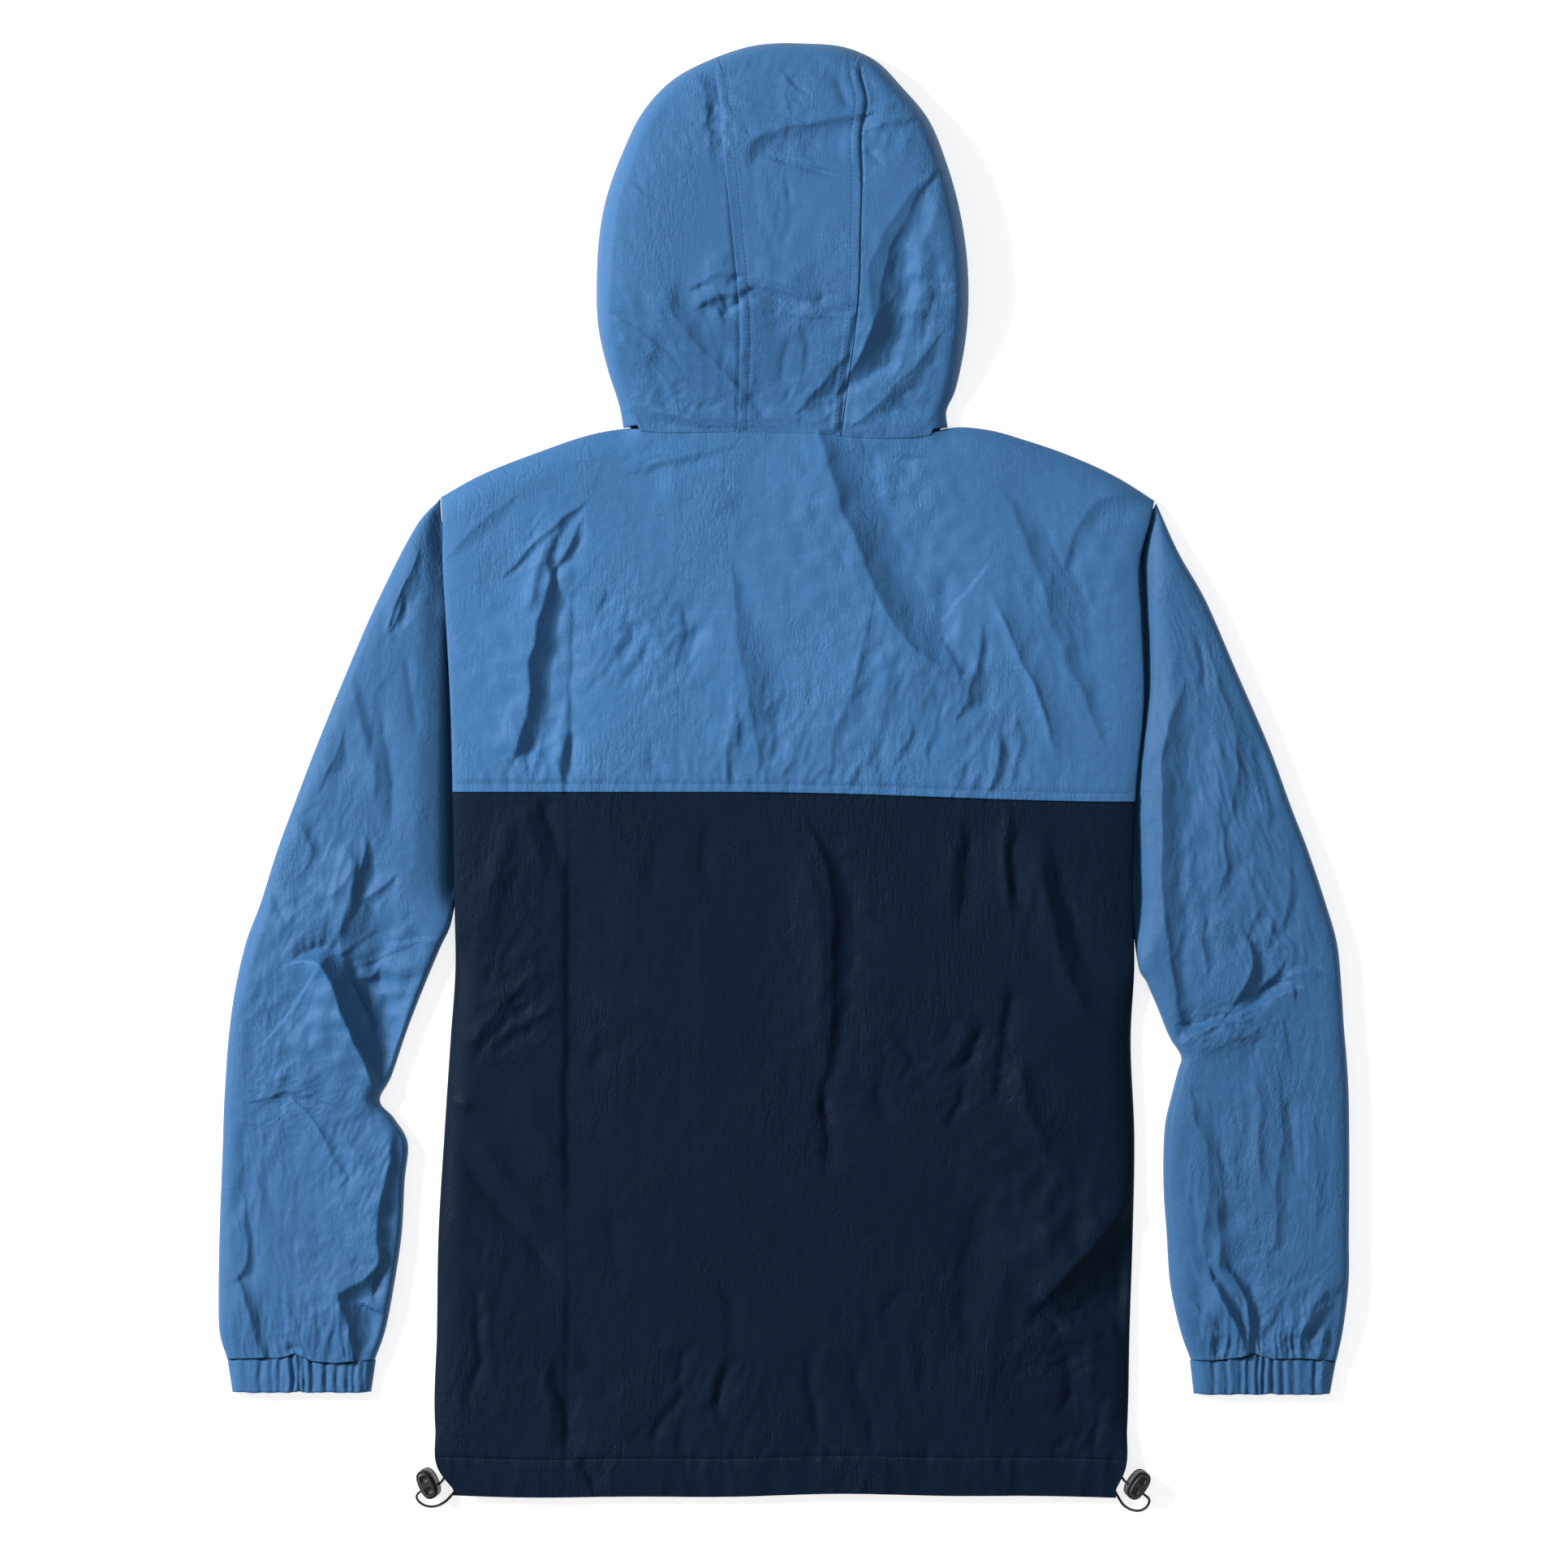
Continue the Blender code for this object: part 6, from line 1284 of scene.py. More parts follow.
def build_cuff(shape):
    """The gathered ring at the end of a sleeve."""
    across = np.linspace(0, 1, 116)[1:-1]
    near, far = 1.3 * MM, 5.0 * MM
    low = 0.3 * FOLD_HEIGHT
    rows = []
    for share in np.linspace(0, 1, 15):
        outer = mix(shape.outer_end, shape.outer_top, share) * MM
        inner = mix(shape.inner_end, shape.inner_top, share) * MM
        y = mix(shape.y_end, shape.y_top, share) * MM
        width = outer - inner
        floor = [(inner, FOLD_HEIGHT), (inner + near, low), (inner + far, 0.0)]
        floor += [(x, 0.0) for x in np.linspace(inner + far, outer - far, 26)[1:-1]]
        floor += [(outer - far, 0.0), (outer - near, low), (outer, FOLD_HEIGHT)]
        distance = width * across
        edge = np.minimum(distance, width - distance)
        height = mix(FOLD_HEIGHT, CUFF_LOFT, rounding(edge, 11.0 * MM))
        x = outer - distance
        inside = ease(edge / (5 * MM))
        for gather in CUFF_GATHERS[shape.side]:
            lean = 1.2 * MM * waves(gather.x * 0.31, share * 1.4, 7)
            strength = 0.75 + 0.5 * waves(gather.x * 0.17, share * 2.2 + 5, 9)
            pleat = hump(x - gather.x * MM - lean, gather.width * MM)
            height -= 1.7 * gather.depth * MM * strength * inside * pleat
            height += 0.5 * gather.depth * MM * inside * hump(x - (gather.x + 3) * MM - lean, 2 * MM)
        height += 0.35 * MM * ridges(x / (7 * MM), share * 1.1, 13) * inside
        wavy = 1.1 * MM * waves(x / (10 * MM), 0.6 * share, 15) + share * seam_stray(x, shape.side)
        bulge = 1.2 * MM * (1 - abs(2 * share - 1)) * 0.4
        ring = [(x_low, y + share * seam_stray(x_low, shape.side), z) for x_low, z in floor]
        ring += zip(x, y + wavy, height + bulge * inside)
        rows.append([(shape.side * a, b, c) for a, b, c in ring + ring[:1]])
    points = np.array(rows)[:, ::-shape.side]
    word = WORDS[shape.side]
    cloth_piece(f"cuff_{word}", f"{word} sleeve nylon", points, CUFF_WALL, ring=True)


# --- hood -----------------------------------------------------------------------------
HOOD_EDGE = path_through([(p.x * MM, p.y * MM) for p in HOOD_OUTLINE], 1441)
HOOD_ROWS = 190
HOOD_CELLS = 66
CENTRE_CELLS = 62
UNDER_CELLS = 10
HOOD_RIM = (0.74, 0.24)     # how much of the hood's rise lies close to its edge, and how close
HOOD_SEAM_DROP = {LEFT: 0.45 * MM, RIGHT: 1.3 * MM}
HOOD_HIGH = 39.0 * MM       # folds rise less over this height
HIGH_SHARE = 0.7
NECK_SLOPE = 5.0 * MM       # width over which the hood comes down onto the yoke
SEAM_TUCK = 5.0 * MM        # how far a side of the hood runs on under its centre
HOOD_LAP = 1.6 * MM         # how far the hood's lower edge lies over the yoke
TUCK_DROPS = np.array([1.6, 1.6, 1.6, 1.5, 1.1, 0.5, 0.1]) * MM
CENTRE_EDGE = [0.0, 0.006, 0.018, 0.035, 0.053, 0.066, 0.075, 0.084, 0.1]


def hood_seam(y, side):
    return curve_of(HOOD_SEAMS, y, WORDS[side])


def hood_seam_points(fraction, side):
    """Points of a long hood seam: fraction is 0 at the neck seam and 1 near the crown."""
    y = mix(HOOD_SEAMS[0].y * MM, HOOD_SEAM_TOP, fraction)
    x = hood_seam(y, side)
    y = y + (1 - fraction) ** NECK_SHARPNESS * (top_line(x) - HOOD_LAP - y)
    return np.stack([x, y], axis=-1)


def outline_distance(x, y):
    """Distance from each point to the hood's outline."""
    flat = np.column_stack([x.reshape(-1), y.reshape(-1)])
    away = [np.hypot(*(part[:, None] - HOOD_EDGE).transpose(2, 0, 1)).min(axis=1)
            for part in np.array_split(flat, len(flat) // 2000 + 1)]
    return np.concatenate(away).reshape(x.shape)


def hood_height(x, y, sizes):
    """Height of the hood's outer face over a place in its outline."""
    away = outline_distance(x, y)
    loft = mix(BODY_LOFT, HOOD_LOFT, ease((y - RISE_FROM_Y) / RISE_LENGTH))
    loft = mix(loft, HOOD_LOFT * CROWN_SHARE, ease((y - FALL_FROM_Y) / FALL_LENGTH))
    height = mix(FOLD_HEIGHT, loft, shoulder(away, HOOD_ROUNDING, *HOOD_RIM))
    folds = relief(x, y, HOOD_CREASES, HOOD_FACETS, HOOD_CRUMPLES, sizes, 301)
    for side in (LEFT, RIGHT):
        seam = side * (hood_seam(y, side) - x)
        lifted = ease((seam + 0.5 * MM) / (1.2 * MM)) * ease((HOOD_STITCH + 1.0 * MM - seam) / (1.5 * MM))
        folds += 0.3 * MM * lifted
        folds += 0.7 * stitch_relief(seam - HOOD_STITCH, y, sizes.pucker, 311 + side)
        folds -= HOOD_SEAM_DROP[side] * hump(seam + 0.6 * MM, 1.5 * MM)
        folds -= 1.2 * HOOD_SEAM_DROP[side] * hump(seam + 4.0 * MM, 7 * MM)
        folds += 0.8 * sizes.pucker * ridges(y / (15 * MM), seam / (40 * MM), 317 + side) * hump(seam, 9 * MM)
    neck = y - top_line(x)
    roll = 1.8 * MM * hump(neck - 8 * MM, 6 * MM) * (1 + 0.6 * waves(x / (24 * MM), 0.5, 41))
    folds += 0.9 * MM * hump(neck, 3 * MM) + roll
    height = height + folds * ease((away - 0.5 * MM) / (16 * MM))
    lying = ease(1 - (neck + HOOD_LAP) / NECK_SLOPE)
    near = lying > 0
    yoke_y = np.minimum(y[near], top_line(x[near]) - HOOD_LAP)
    height[near] = mix(height[near], back_top(x[near], yoke_y, sizes) + sizes.cloth, lying[near])
    return height - HIGH_SHARE * np.maximum(height - HOOD_HIGH, 0)


def outline_at(fraction):
    """Points of the hood's outline and their directions inwards."""
    place = np.clip(np.asarray(fraction, float), 0, 1) * (len(HOOD_EDGE) - 1)
    low = np.minimum(place.astype(int), len(HOOD_EDGE) - 2)
    point = mix(HOOD_EDGE[low], HOOD_EDGE[low + 1], (place - low)[..., None])
    along = HOOD_EDGE[np.minimum(low + 18, len(HOOD_EDGE) - 1)] - HOOD_EDGE[np.maximum(low - 12, 0)]
    along /= np.linalg.norm(along, axis=-1, keepdims=True)
    return point, np.stack([along[..., 1], -along[..., 0]], axis=-1)


def crown_fraction(side):
    """Where the line of a long seam meets the hood's outline, from 0 to 1 along it."""
    crown_x = float(hood_seam(HOOD_SEAM_TOP, side))
    away = np.hypot(HOOD_EDGE[:, 0] - crown_x, HOOD_EDGE[:, 1] - (HOOD_SEAM_TOP + CROWN_REACH))
    return float(away.argmin()) / (len(HOOD_EDGE) - 1)


def over_and_under(start, fraction, end, cells, neck, sizes):
    """Rows of points from starts on top of the hood, out over its outline and in below to ends."""
    edge, inwards = outline_at(fraction)
    reach = np.minimum(1.0, np.linalg.norm(edge - start, axis=1) / EDGE_REACH)[:, None]
    brink = edge + inwards * INNER_STEP * reach
    places = []
    for part in np.linspace(0, 1, cells + 1):
        place = mix(start, brink, part)
        place[:, 1] += neck * (top_line(place[0, 0]) - HOOD_LAP - place[0, 1])
        places.append(place)
    places += [edge + inwards * step * reach for step in reversed(EDGE_STEPS[1:-1])]
    top = np.stack(places, axis=1)
    points = [np.dstack([top, hood_height(top[..., 0], top[..., 1], sizes)])]

    def add(place, height):
        points.append(np.column_stack([place, np.broadcast_to(height, len(place))])[:, None])

    add(edge, FOLD_HEIGHT)
    for turn in FOLD_TURNS:
        add(edge + inwards * fold_inset(turn), FOLD_HEIGHT * fold_drop(turn))
    below = edge + inwards * FOLD_HEIGHT
    for part in np.linspace(0, 1, UNDER_CELLS + 1)[1:]:
        place = mix(below, end, part)
        place[:, 1] -= neck * FRONT_NECK_BOW * 4 * part * (1 - part)
        add(place, floor_relief(place[:, 0], place[:, 1], min(part, 1 - part) * 60 * MM, sizes, 331))
    return np.concatenate(points, axis=1)


def build_hood_side(side, sizes):
    """A side of the hood, from its long seam over the edge and in to the face opening."""
    share = np.linspace(0, 1, HOOD_ROWS)
    face_edge = path_through([(side * p.x * MM, p.y * MM) for p in FACE_EDGE], HOOD_ROWS)
    seam = hood_seam_points(share, side)
    seam[:, 0] -= side * SEAM_TUCK
    place = mix(0.0 if side == LEFT else 1.0, crown_fraction(side), share)
    points = over_and_under(seam, place, face_edge, HOOD_CELLS, (1 - share) ** NECK_SHARPNESS, sizes)
    points[:, : len(TUCK_DROPS), 2] -= TUCK_DROPS
    cloth_piece(f"hood_{WORDS[side]}", "hood nylon", points[:, ::side], sizes.cloth)


def build_hood_centre(sizes):
    """The centre panel, from the neck over the crown to the face opening. Gives its stitch lines."""
    share = np.linspace(0, 1, HOOD_ROWS)
    across = CENTRE_EDGE + list(np.linspace(0.122, 0.878, CENTRE_CELLS - 8))
    across = np.array(across + [1 - e for e in reversed(CENTRE_EDGE)])
    left, right = hood_seam_points(share, LEFT), hood_seam_points(share, RIGHT)
    lines = mix(left[None], right[None], across[:, None, None])
    drop = top_line(lines[:, 0, 0]) - HOOD_LAP - lines[:, 0, 1]
    lines[..., 1] += (1 - share) ** NECK_SHARPNESS * drop[:, None]
    lift = 0.5 * MM * hump(np.minimum(across, 1 - across) * 86 * MM, 2.0 * MM)[:, None]
    top = np.dstack([lines, hood_height(lines[..., 0], lines[..., 1], sizes) + lift])
    fraction = mix(crown_fraction(LEFT), crown_fraction(RIGHT), across)
    end_y = FACE_EDGE_CROWN_Y - CROWN_END_BOW * np.abs(2 * across - 1) ** 2
    end = np.stack([mix(-CROWN_HALF, CROWN_HALF, across), end_y], axis=1)
    over = over_and_under(lines[:, -1], fraction, end, 5, np.zeros(len(across)), sizes)
    over[:, 1:6, 2] += lift * np.linspace(1, 0, 6)[None, 1:]
    points = np.concatenate([top, over[:, 1:]], axis=1).transpose(1, 0, 2)
    cloth_piece("hood_centre", "hood nylon", points, sizes.cloth)
    normals = grid_normals(points)
    rows = slice(2, HOOD_ROWS + 2)
    return [(points[rows, column], normals[rows, column]) for column in (6, len(across) - 7)]


# --- topstitching ---------------------------------------------------------------------
STITCH_SIDES = 6
STITCH_RINGS = ((0.0, 0.45), (0.12, 0.85), (0.5, 1.0), (0.88, 0.85), (1.0, 0.45))


def stitches_along(lines, sizes):
    """Vertices and faces of short rounded threads laid end to end along lines of points."""
    vertices, faces = [], []
    for points, normals in lines:
        place = lengths_along(points)

        def at(values, distance):
            return np.array([np.interp(distance, place, values[:, axis]) for axis in range(3)])

        for number in range(int(place[-1] / sizes.pitch)):
            start = (number + 0.1) * sizes.pitch
            first, last = at(points, start), at(points, start + sizes.stitch)
            up = at(normals, start + sizes.stitch / 2)
            along = (last - first) / np.linalg.norm(last - first)
            across = np.cross(up, along)
            across /= np.linalg.norm(across)
            up = np.cross(along, across)
            base = len(vertices)
            for share, size in STITCH_RINGS:
                rise = (0.05 + 0.42 * math.sin(math.pi * share)) * sizes.thread
                middle = mix(first, last, share) + up * rise
                for turn in np.linspace(0, 2 * math.pi, STITCH_SIDES, endpoint=False):
                    offset = (across * math.cos(turn) + up * math.sin(turn)) * sizes.thread / 2 * size
                    vertices.append(middle + offset)
            for ring in range(len(STITCH_RINGS) - 1):
                for k in range(STITCH_SIDES):
                    low, high = base + ring * STITCH_SIDES, base + (ring + 1) * STITCH_SIDES
                    after = (k + 1) % STITCH_SIDES
                    faces.append((low + k, low + after, high + after, high + k))
            faces.append(tuple(base + k for k in reversed(range(STITCH_SIDES))))
            top = base + (len(STITCH_RINGS) - 1) * STITCH_SIDES
            faces.append(tuple(top + k for k in range(STITCH_SIDES)))
    return vertices, faces


# --- cord locks and cords -------------------------------------------------------------
LOCK_SEGMENTS = 72
RIM = 0.55 * MM
POCKET_DEPTH = 2.0 * MM
POCKET_LENGTH = 4.8 * MM
POCKET_BREADTH = 5.0 * MM
POCKET_OFFSET = 4.25 * MM


def lock_stand(place):
    """World matrix of a lock's base: +X along its length, leaning towards the loop's flank."""
    tilt = -place.flank * LOCK_TILT
    lift = LOCK_BREADTH / 2 * math.sin(LOCK_TILT)
    turn = Matrix.Rotation(place.turn, 4, "Z") @ Matrix.Rotation(tilt, 4, "X")
    return Matrix.Translation((place.x * MM, place.y * MM, lift)) @ turn


def oval_ring(length, breadth, roundness, z):
    turns = np.linspace(0, 2 * math.pi, LOCK_SEGMENTS, endpoint=False)
    power = 2 / roundness
    x = np.sign(np.cos(turns)) * np.abs(np.cos(turns)) ** power * length / 2
    y = np.sign(np.sin(turns)) * np.abs(np.sin(turns)) ** power * breadth / 2
    return np.column_stack([x, y, np.full(len(turns), z)])


def oval_body(profile, length, breadth, roundness=LOCK_ROUNDNESS):
    """A closed body from rings (inset from the wall, height), the first and last of them capped."""
    bm = bmesh.new()
    rings = []
    for inset, z in profile:
        ring = oval_ring(length - 2 * inset, breadth - 2 * inset, roundness, z)
        rings.append([bm.verts.new(point) for point in ring])
    for low, high in zip(rings, rings[1:]):
        for k in range(LOCK_SEGMENTS):
            after = (k + 1) % LOCK_SEGMENTS
            bm.faces.new((low[k], low[after], high[after], high[k]))
    bm.faces.new(list(reversed(rings[0])))
    bm.faces.new(rings[-1])
    return bm


def as_object(bm, name, matrix=None):
    mesh = bpy.data.meshes.new(name)
    if matrix is not None:
        bm.transform(matrix)
    bm.to_mesh(mesh)
    bm.free()
    return link_mesh(name, mesh)


def rounded_block(size, rounding_width):
    """A box with rounded edges around its origin."""
    bm = bmesh.new()
    bmesh.ops.create_cube(bm, size=1)
    bmesh.ops.scale(bm, verts=bm.verts, vec=size)
    bmesh.ops.bevel(bm, geom=bm.edges[:], offset=rounding_width, segments=3, profile=0.5, affect="EDGES")
    return bm


def carve(obj, cutters):
    """Take the cutters away from the object, and then the cutters themselves."""
    for cutter in cutters:
        boolean = obj.modifiers.new("Cut", "BOOLEAN")
        boolean.operation = "DIFFERENCE"
        boolean.solver = "EXACT"
        boolean.object = cutter
    bpy.context.view_layer.update()
    graph = bpy.context.evaluated_depsgraph_get()
    mesh = bpy.data.meshes.new_from_object(obj.evaluated_get(graph))
    obj.modifiers.clear()
    obj.data = mesh
    for cutter in cutters:
        bpy.data.objects.remove(cutter)


def soften(obj, width=0.18 * MM):
    """Small rounds on the remaining sharp edges, and smooth shading between them."""
    obj.data.materials.clear()
    obj.data.materials.append(finish_of("black plastic"))
    obj.data.shade_smooth()
    round_over = obj.modifiers.new("Moulded edges", "BEVEL")
    round_over.width = width
    round_over.segments = 2
    round_over.limit_method = "ANGLE"
    round_over.angle_limit = math.radians(40)
    round_over.harden_normals = True


def build_barrel(place):
    """The lock's outer body: a cup with a rolled rim, a waist line and holes for the cord."""
    wall, top, stand = BARREL_WALL, BARREL_HEIGHT, lock_stand(place)
    profile = [(wall * 1.6, 0.0), (RIM * 0.45, 0.0), (RIM * 0.12, RIM * 0.3), (0.0, RIM), (0.0, 2.2 * MM),
               (0.25 * MM, 2.5 * MM), (0.25 * MM, 11.0 * MM), (0.0, 11.3 * MM), (0.0, top - RIM),
               (RIM * 0.15, top - RIM * 0.4), (RIM * 0.5, top - RIM * 0.1), (wall / 2, top),
               (wall - RIM * 0.4, top - RIM * 0.1), (wall, top - RIM * 0.6), (wall, BARREL_FLOOR)]
    barrel = as_object(oval_body(profile, LOCK_LENGTH, LOCK_BREADTH), f"cord_lock_{place.name}_body", stand)
    hole = bmesh.new()
    radius = CORD_DIAMETER / 2 + CORD_CLEARANCE
    turn = Matrix.Translation((HOLE_OFFSET, 0, CORD_HEIGHT)) @ Matrix.Rotation(math.radians(90), 4, "X")
    bmesh.ops.create_cone(hole, cap_ends=True, segments=32, radius1=radius, radius2=radius,
                          depth=2 * LOCK_BREADTH, matrix=stand @ turn)
    carve(barrel, [as_object(hole, "cord hole")])
    soften(barrel)
    return barrel


def build_plunger(place):
    """The sprung button: a domed oval with two pockets and a bar between them."""
    length, breadth = (size - 2 * BARREL_WALL - 2 * PLUNGER_CLEARANCE for size in (LOCK_LENGTH, LOCK_BREADTH))
    bottom, top, stand = PLUNGER_BOTTOM, PLUNGER_TOP, lock_stand(place)
    profile = [(0.3 * MM, bottom), (0.0, bottom + 0.3 * MM), (0.0, top - 1.0 * MM),
               (0.1 * MM, top - 0.55 * MM), (0.4 * MM, top - 0.2 * MM), (0.9 * MM, top - 0.03 * MM), (1.5 * MM, top)]
    plunger = as_object(oval_body(profile, length, breadth), f"cord_lock_{place.name}_button", stand)
    slot_height = CORD_DIAMETER + PLUNGER_TRAVEL + 0.6 * MM
    slot = rounded_block((CORD_DIAMETER + 2 * CORD_CLEARANCE, 2 * LOCK_BREADTH, slot_height), 0.7 * MM)
    centre = (HOLE_OFFSET, 0, CORD_HEIGHT - CORD_DIAMETER / 2 - 0.3 * MM + slot_height / 2)
    cutters = [as_object(slot, "cord slot", stand @ Matrix.Translation(centre))]
    for end in (-1, 1):
        pocket = rounded_block((POCKET_LENGTH, POCKET_BREADTH, 2 * POCKET_DEPTH), 0.9 * MM)
        cutters.append(as_object(pocket, "pocket", stand @ Matrix.Translation((end * POCKET_OFFSET, 0, top))))
    carve(plunger, cutters)
    soften(plunger, 0.14 * MM)
    return plunger


def cord_route(place, count=120):
    """The cord from the hem round its loop, through the lock and back under the hem."""
    stand = lock_stand(place)
    route = [(p.x * MM, p.y * MM, p.z * MM) for p in CORD_LOOPS[place.name]]
    reach = LOCK_BREADTH / 2 + CORD_STUB
    for across in CORD_STATIONS:
        route.append(tuple(stand @ Vector((HOLE_OFFSET, place.flank * reach * across, CORD_HEIGHT))))
    route += [(p.x * MM, p.y * MM, p.z * MM) for p in CORD_TAILS[place.name]]
    return path_through(route, count)


CORD_SIDES = 20
BRAID_TURN = 2.6 * MM       # length of cord in which a strand of its braid goes once round


def build_cord(place):
    """An elastic cord as a tube with a braided surface."""
    route = cord_route(place)
    along = unit(np.gradient(route, axis=0))
    side = np.cross(along[0], (0, 0, 1.0))
    place_on = lengths_along(route)
    vertices, faces = [], []
    turns = np.linspace(0, 2 * math.pi, CORD_SIDES, endpoint=False)
    for point, direction, distance in zip(route, along, place_on):
        side = side - direction * (side @ direction)
        side /= np.linalg.norm(side)
        up = np.cross(direction, side)
        one = np.sin(5 * turns + 2 * math.pi * distance / BRAID_TURN)
        other = np.sin(5 * turns - 2 * math.pi * distance / BRAID_TURN)
        radius = CORD_DIAMETER / 2 * (1 - 0.05 + 0.05 * np.maximum(one, other))
        ring = point + radius[:, None] * (np.cos(turns)[:, None] * side + np.sin(turns)[:, None] * up)
        vertices.extend(ring)
    for ring in range(len(route) - 1):
        low, high = ring * CORD_SIDES, (ring + 1) * CORD_SIDES
        for k in range(CORD_SIDES):
            after = (k + 1) % CORD_SIDES
            faces.append((low + k, low + after, high + after, high + k))
    faces.append(tuple(reversed(range(CORD_SIDES))))
    faces.append(tuple((len(route) - 1) * CORD_SIDES + k for k in range(CORD_SIDES)))
    cord = mesh_piece(f"hem_cord_{place.name}_braid", vertices, faces, finish_of("elastic"))
    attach(cord, "garment")
    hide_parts(f"hem_cord_{place.name}")
    tuple(route[0])
    [tuple(p) for p in route]


# --- shader maths ---------------------------------------------------------------------
class Value:
    """A shader socket that numbers and other sockets can be reckoned with."""

    def __init__(self, finish, socket):
        self.finish = finish
        self.socket = socket

    def reckon(self, operation, *values):
        sockets = [value.socket if isinstance(value, Value) else value for value in values]
        return self.finish.add("ShaderNodeMath", {"operation": operation}, dict(enumerate(sockets)))

    def __add__(self, other):
        return self.reckon("ADD", self, other)

    def __radd__(self, other):
        return self.reckon("ADD", other, self)

    def __sub__(self, other):
        return self.reckon("SUBTRACT", self, other)

    def __rsub__(self, other):
        return self.reckon("SUBTRACT", other, self)

    def __mul__(self, other):
        return self.reckon("MULTIPLY", self, other)

    def __rmul__(self, other):
        return self.reckon("MULTIPLY", other, self)

    def __abs__(self):
        return self.reckon("ABSOLUTE", self)

    def power(self, exponent):
        return self.reckon("POWER", self, exponent)

    def sine(self):
        return self.reckon("SINE", self)

    def within(self, low, high):
        return self.reckon("MINIMUM", self.reckon("MAXIMUM", self, low), high)


class Finish:
    """One material and the nodes that are added to it."""

    def __init__(self, name, colour, roughness, **uniform):
        self.material = bpy.data.materials.new(name)
        self.material.use_nodes = True
        self.tree = self.material.node_tree
        self.shader = self.tree.nodes["Principled BSDF"]
        self.shader.inputs["Base Color"].default_value = (*colour, 1.0)
        self.shader.inputs["Roughness"].default_value = roughness
        for socket, value in uniform.items():
            self.shader.inputs[socket.replace("_", " ")].default_value = value
        self.place = self.add("ShaderNodeTexCoord", {}, {}, "Object")

    def add(self, kind, settings, sockets, output=0):
        """A node of that type: its settings are set first, then its sockets' values or links."""
        node = self.tree.nodes.new(kind)
        for name, value in settings.items():
            setattr(node, name, value)
        for name, value in sockets.items():
            if isinstance(value, Value):
                value = value.socket
            if isinstance(value, bpy.types.NodeSocket):
                self.tree.links.new(value, node.inputs[name])
            else:
                node.inputs[name].default_value = value
        return Value(self, node.outputs[output])

    def stretched(self, scale, turn=0.0):
        """Places on the object multiplied by a scale for each axis, after a turn about Z."""
        turned = self.place
        if turn:
            turned = self.add("ShaderNodeVectorRotate", {"rotation_type": "Z_AXIS"},
                              {"Vector": self.place, "Angle": turn})
        return self.add("ShaderNodeVectorMath", {"operation": "MULTIPLY"}, {0: turned, 1: scale})

    def grain(self, places, detail=2.0, rough=0.5, distortion=0.0):
        return self.add("ShaderNodeTexNoise", {},
                        {"Vector": places, "Scale": 1.0, "Detail": detail, "Roughness": rough,
                         "Distortion": distortion})

    def blended(self, share, first, second, kind="MIX"):
        colours = {6: first, 7: second}
        return self.add("ShaderNodeMix", {"data_type": "RGBA", "blend_type": kind}, {0: share, **colours}, 2)

    def feed(self, socket, value):
        self.tree.links.new(value.socket, self.shader.inputs[socket])

    def relief(self, height, distance, strength=1.0, below=None):
        sockets = {"Height": height, "Distance": distance, "Strength": strength}
        if below is not None:
            sockets["Normal"] = below
        return self.add("ShaderNodeBump", {}, sockets)


def tinted(colour, factor, white=0.0):
    """A colour made lighter or darker, and paler, with its alpha."""
    return tuple(min(1.0, c * factor + white) for c in colour) + (1.0,)


def nylon(name, colour, turn=0.0, specular=0.14, sheen=0.04, crinkled=0.42 * MM):
    """Crinkled nylon: slubs along the weft, a fine crinkle, a closer weave and soft worn highlights."""
    finish = Finish(name, colour, 0.6, Specular_IOR_Level=specular, Sheen_Weight=sheen, Sheen_Roughness=0.45)
    finish.shader.inputs["Sheen Tint"].default_value = tinted(colour, 1.3, 0.12)
    slub = finish.grain(finish.stretched((95.0, 1150.0, 95.0), turn), 3.0, 0.6)
    fleck = finish.grain(finish.stretched((420.0, 1500.0, 420.0), turn), 2.0, 0.6)
    cloud = finish.grain(finish.stretched((17.0, 12.0, 17.0), turn), 2.0, 0.5)
    shade = (slub - 0.5) * 0.85 + (fleck - 0.5) * 0.5 + (cloud - 0.5) * 0.55 + 0.5
    shade = shade.within(0.0, 1.0)
    finish.feed("Base Color", finish.blended(shade, tinted(colour, 0.84), tinted(colour, 1.17)))
    finish.feed("Roughness", (fleck - 0.5) * 0.3 + (cloud - 0.5) * 0.2 + 0.58)
    worked = finish.grain(finish.stretched((21.0, 15.0, 21.0), turn), 2.0, 0.6)
    worked = ((worked - 0.40) * 4.0).within(0.15, 1.0)
    pleats = finish.grain(finish.stretched((300.0, 52.0, 160.0), turn), 3.0, 0.55, 0.5)
    pleats = (1.0 - abs(pleats - 0.5) * 5.0).within(0.0, 1.0)
    crinkle = finish.grain(finish.stretched((120.0, 100.0, 120.0), turn), 4.0, 0.6, 0.8)
    crinkle = (1.0 - abs(crinkle - 0.5) * 5.0).within(0.0, 1.0)
    fine = finish.grain(finish.stretched((620.0, 760.0, 620.0), turn), 2.0, 0.6, 0.4)
    rise = (pleats * 0.55 + crinkle * 0.7) * worked + fine * 0.16 + slub * 0.16
    coarse = finish.relief(rise, crinkled, 1.0)
    weft, warp = (
        finish.add("ShaderNodeTexWave", {"wave_type": "BANDS", "bands_direction": way, "wave_profile": "SIN"},
                   {"Vector": finish.stretched((1.0, 1.0, 1.0), turn), "Scale": scale, "Distortion": 1.2,
                    "Detail": 1.0, "Detail Scale": 1.5}, output)
        for way, scale, output in (("Y", 700.0, 0), ("X", 760.0, 1)))
    finish.feed("Normal", finish.relief(weft * warp, 0.03 * MM, 0.5, coarse))
    return finish.material


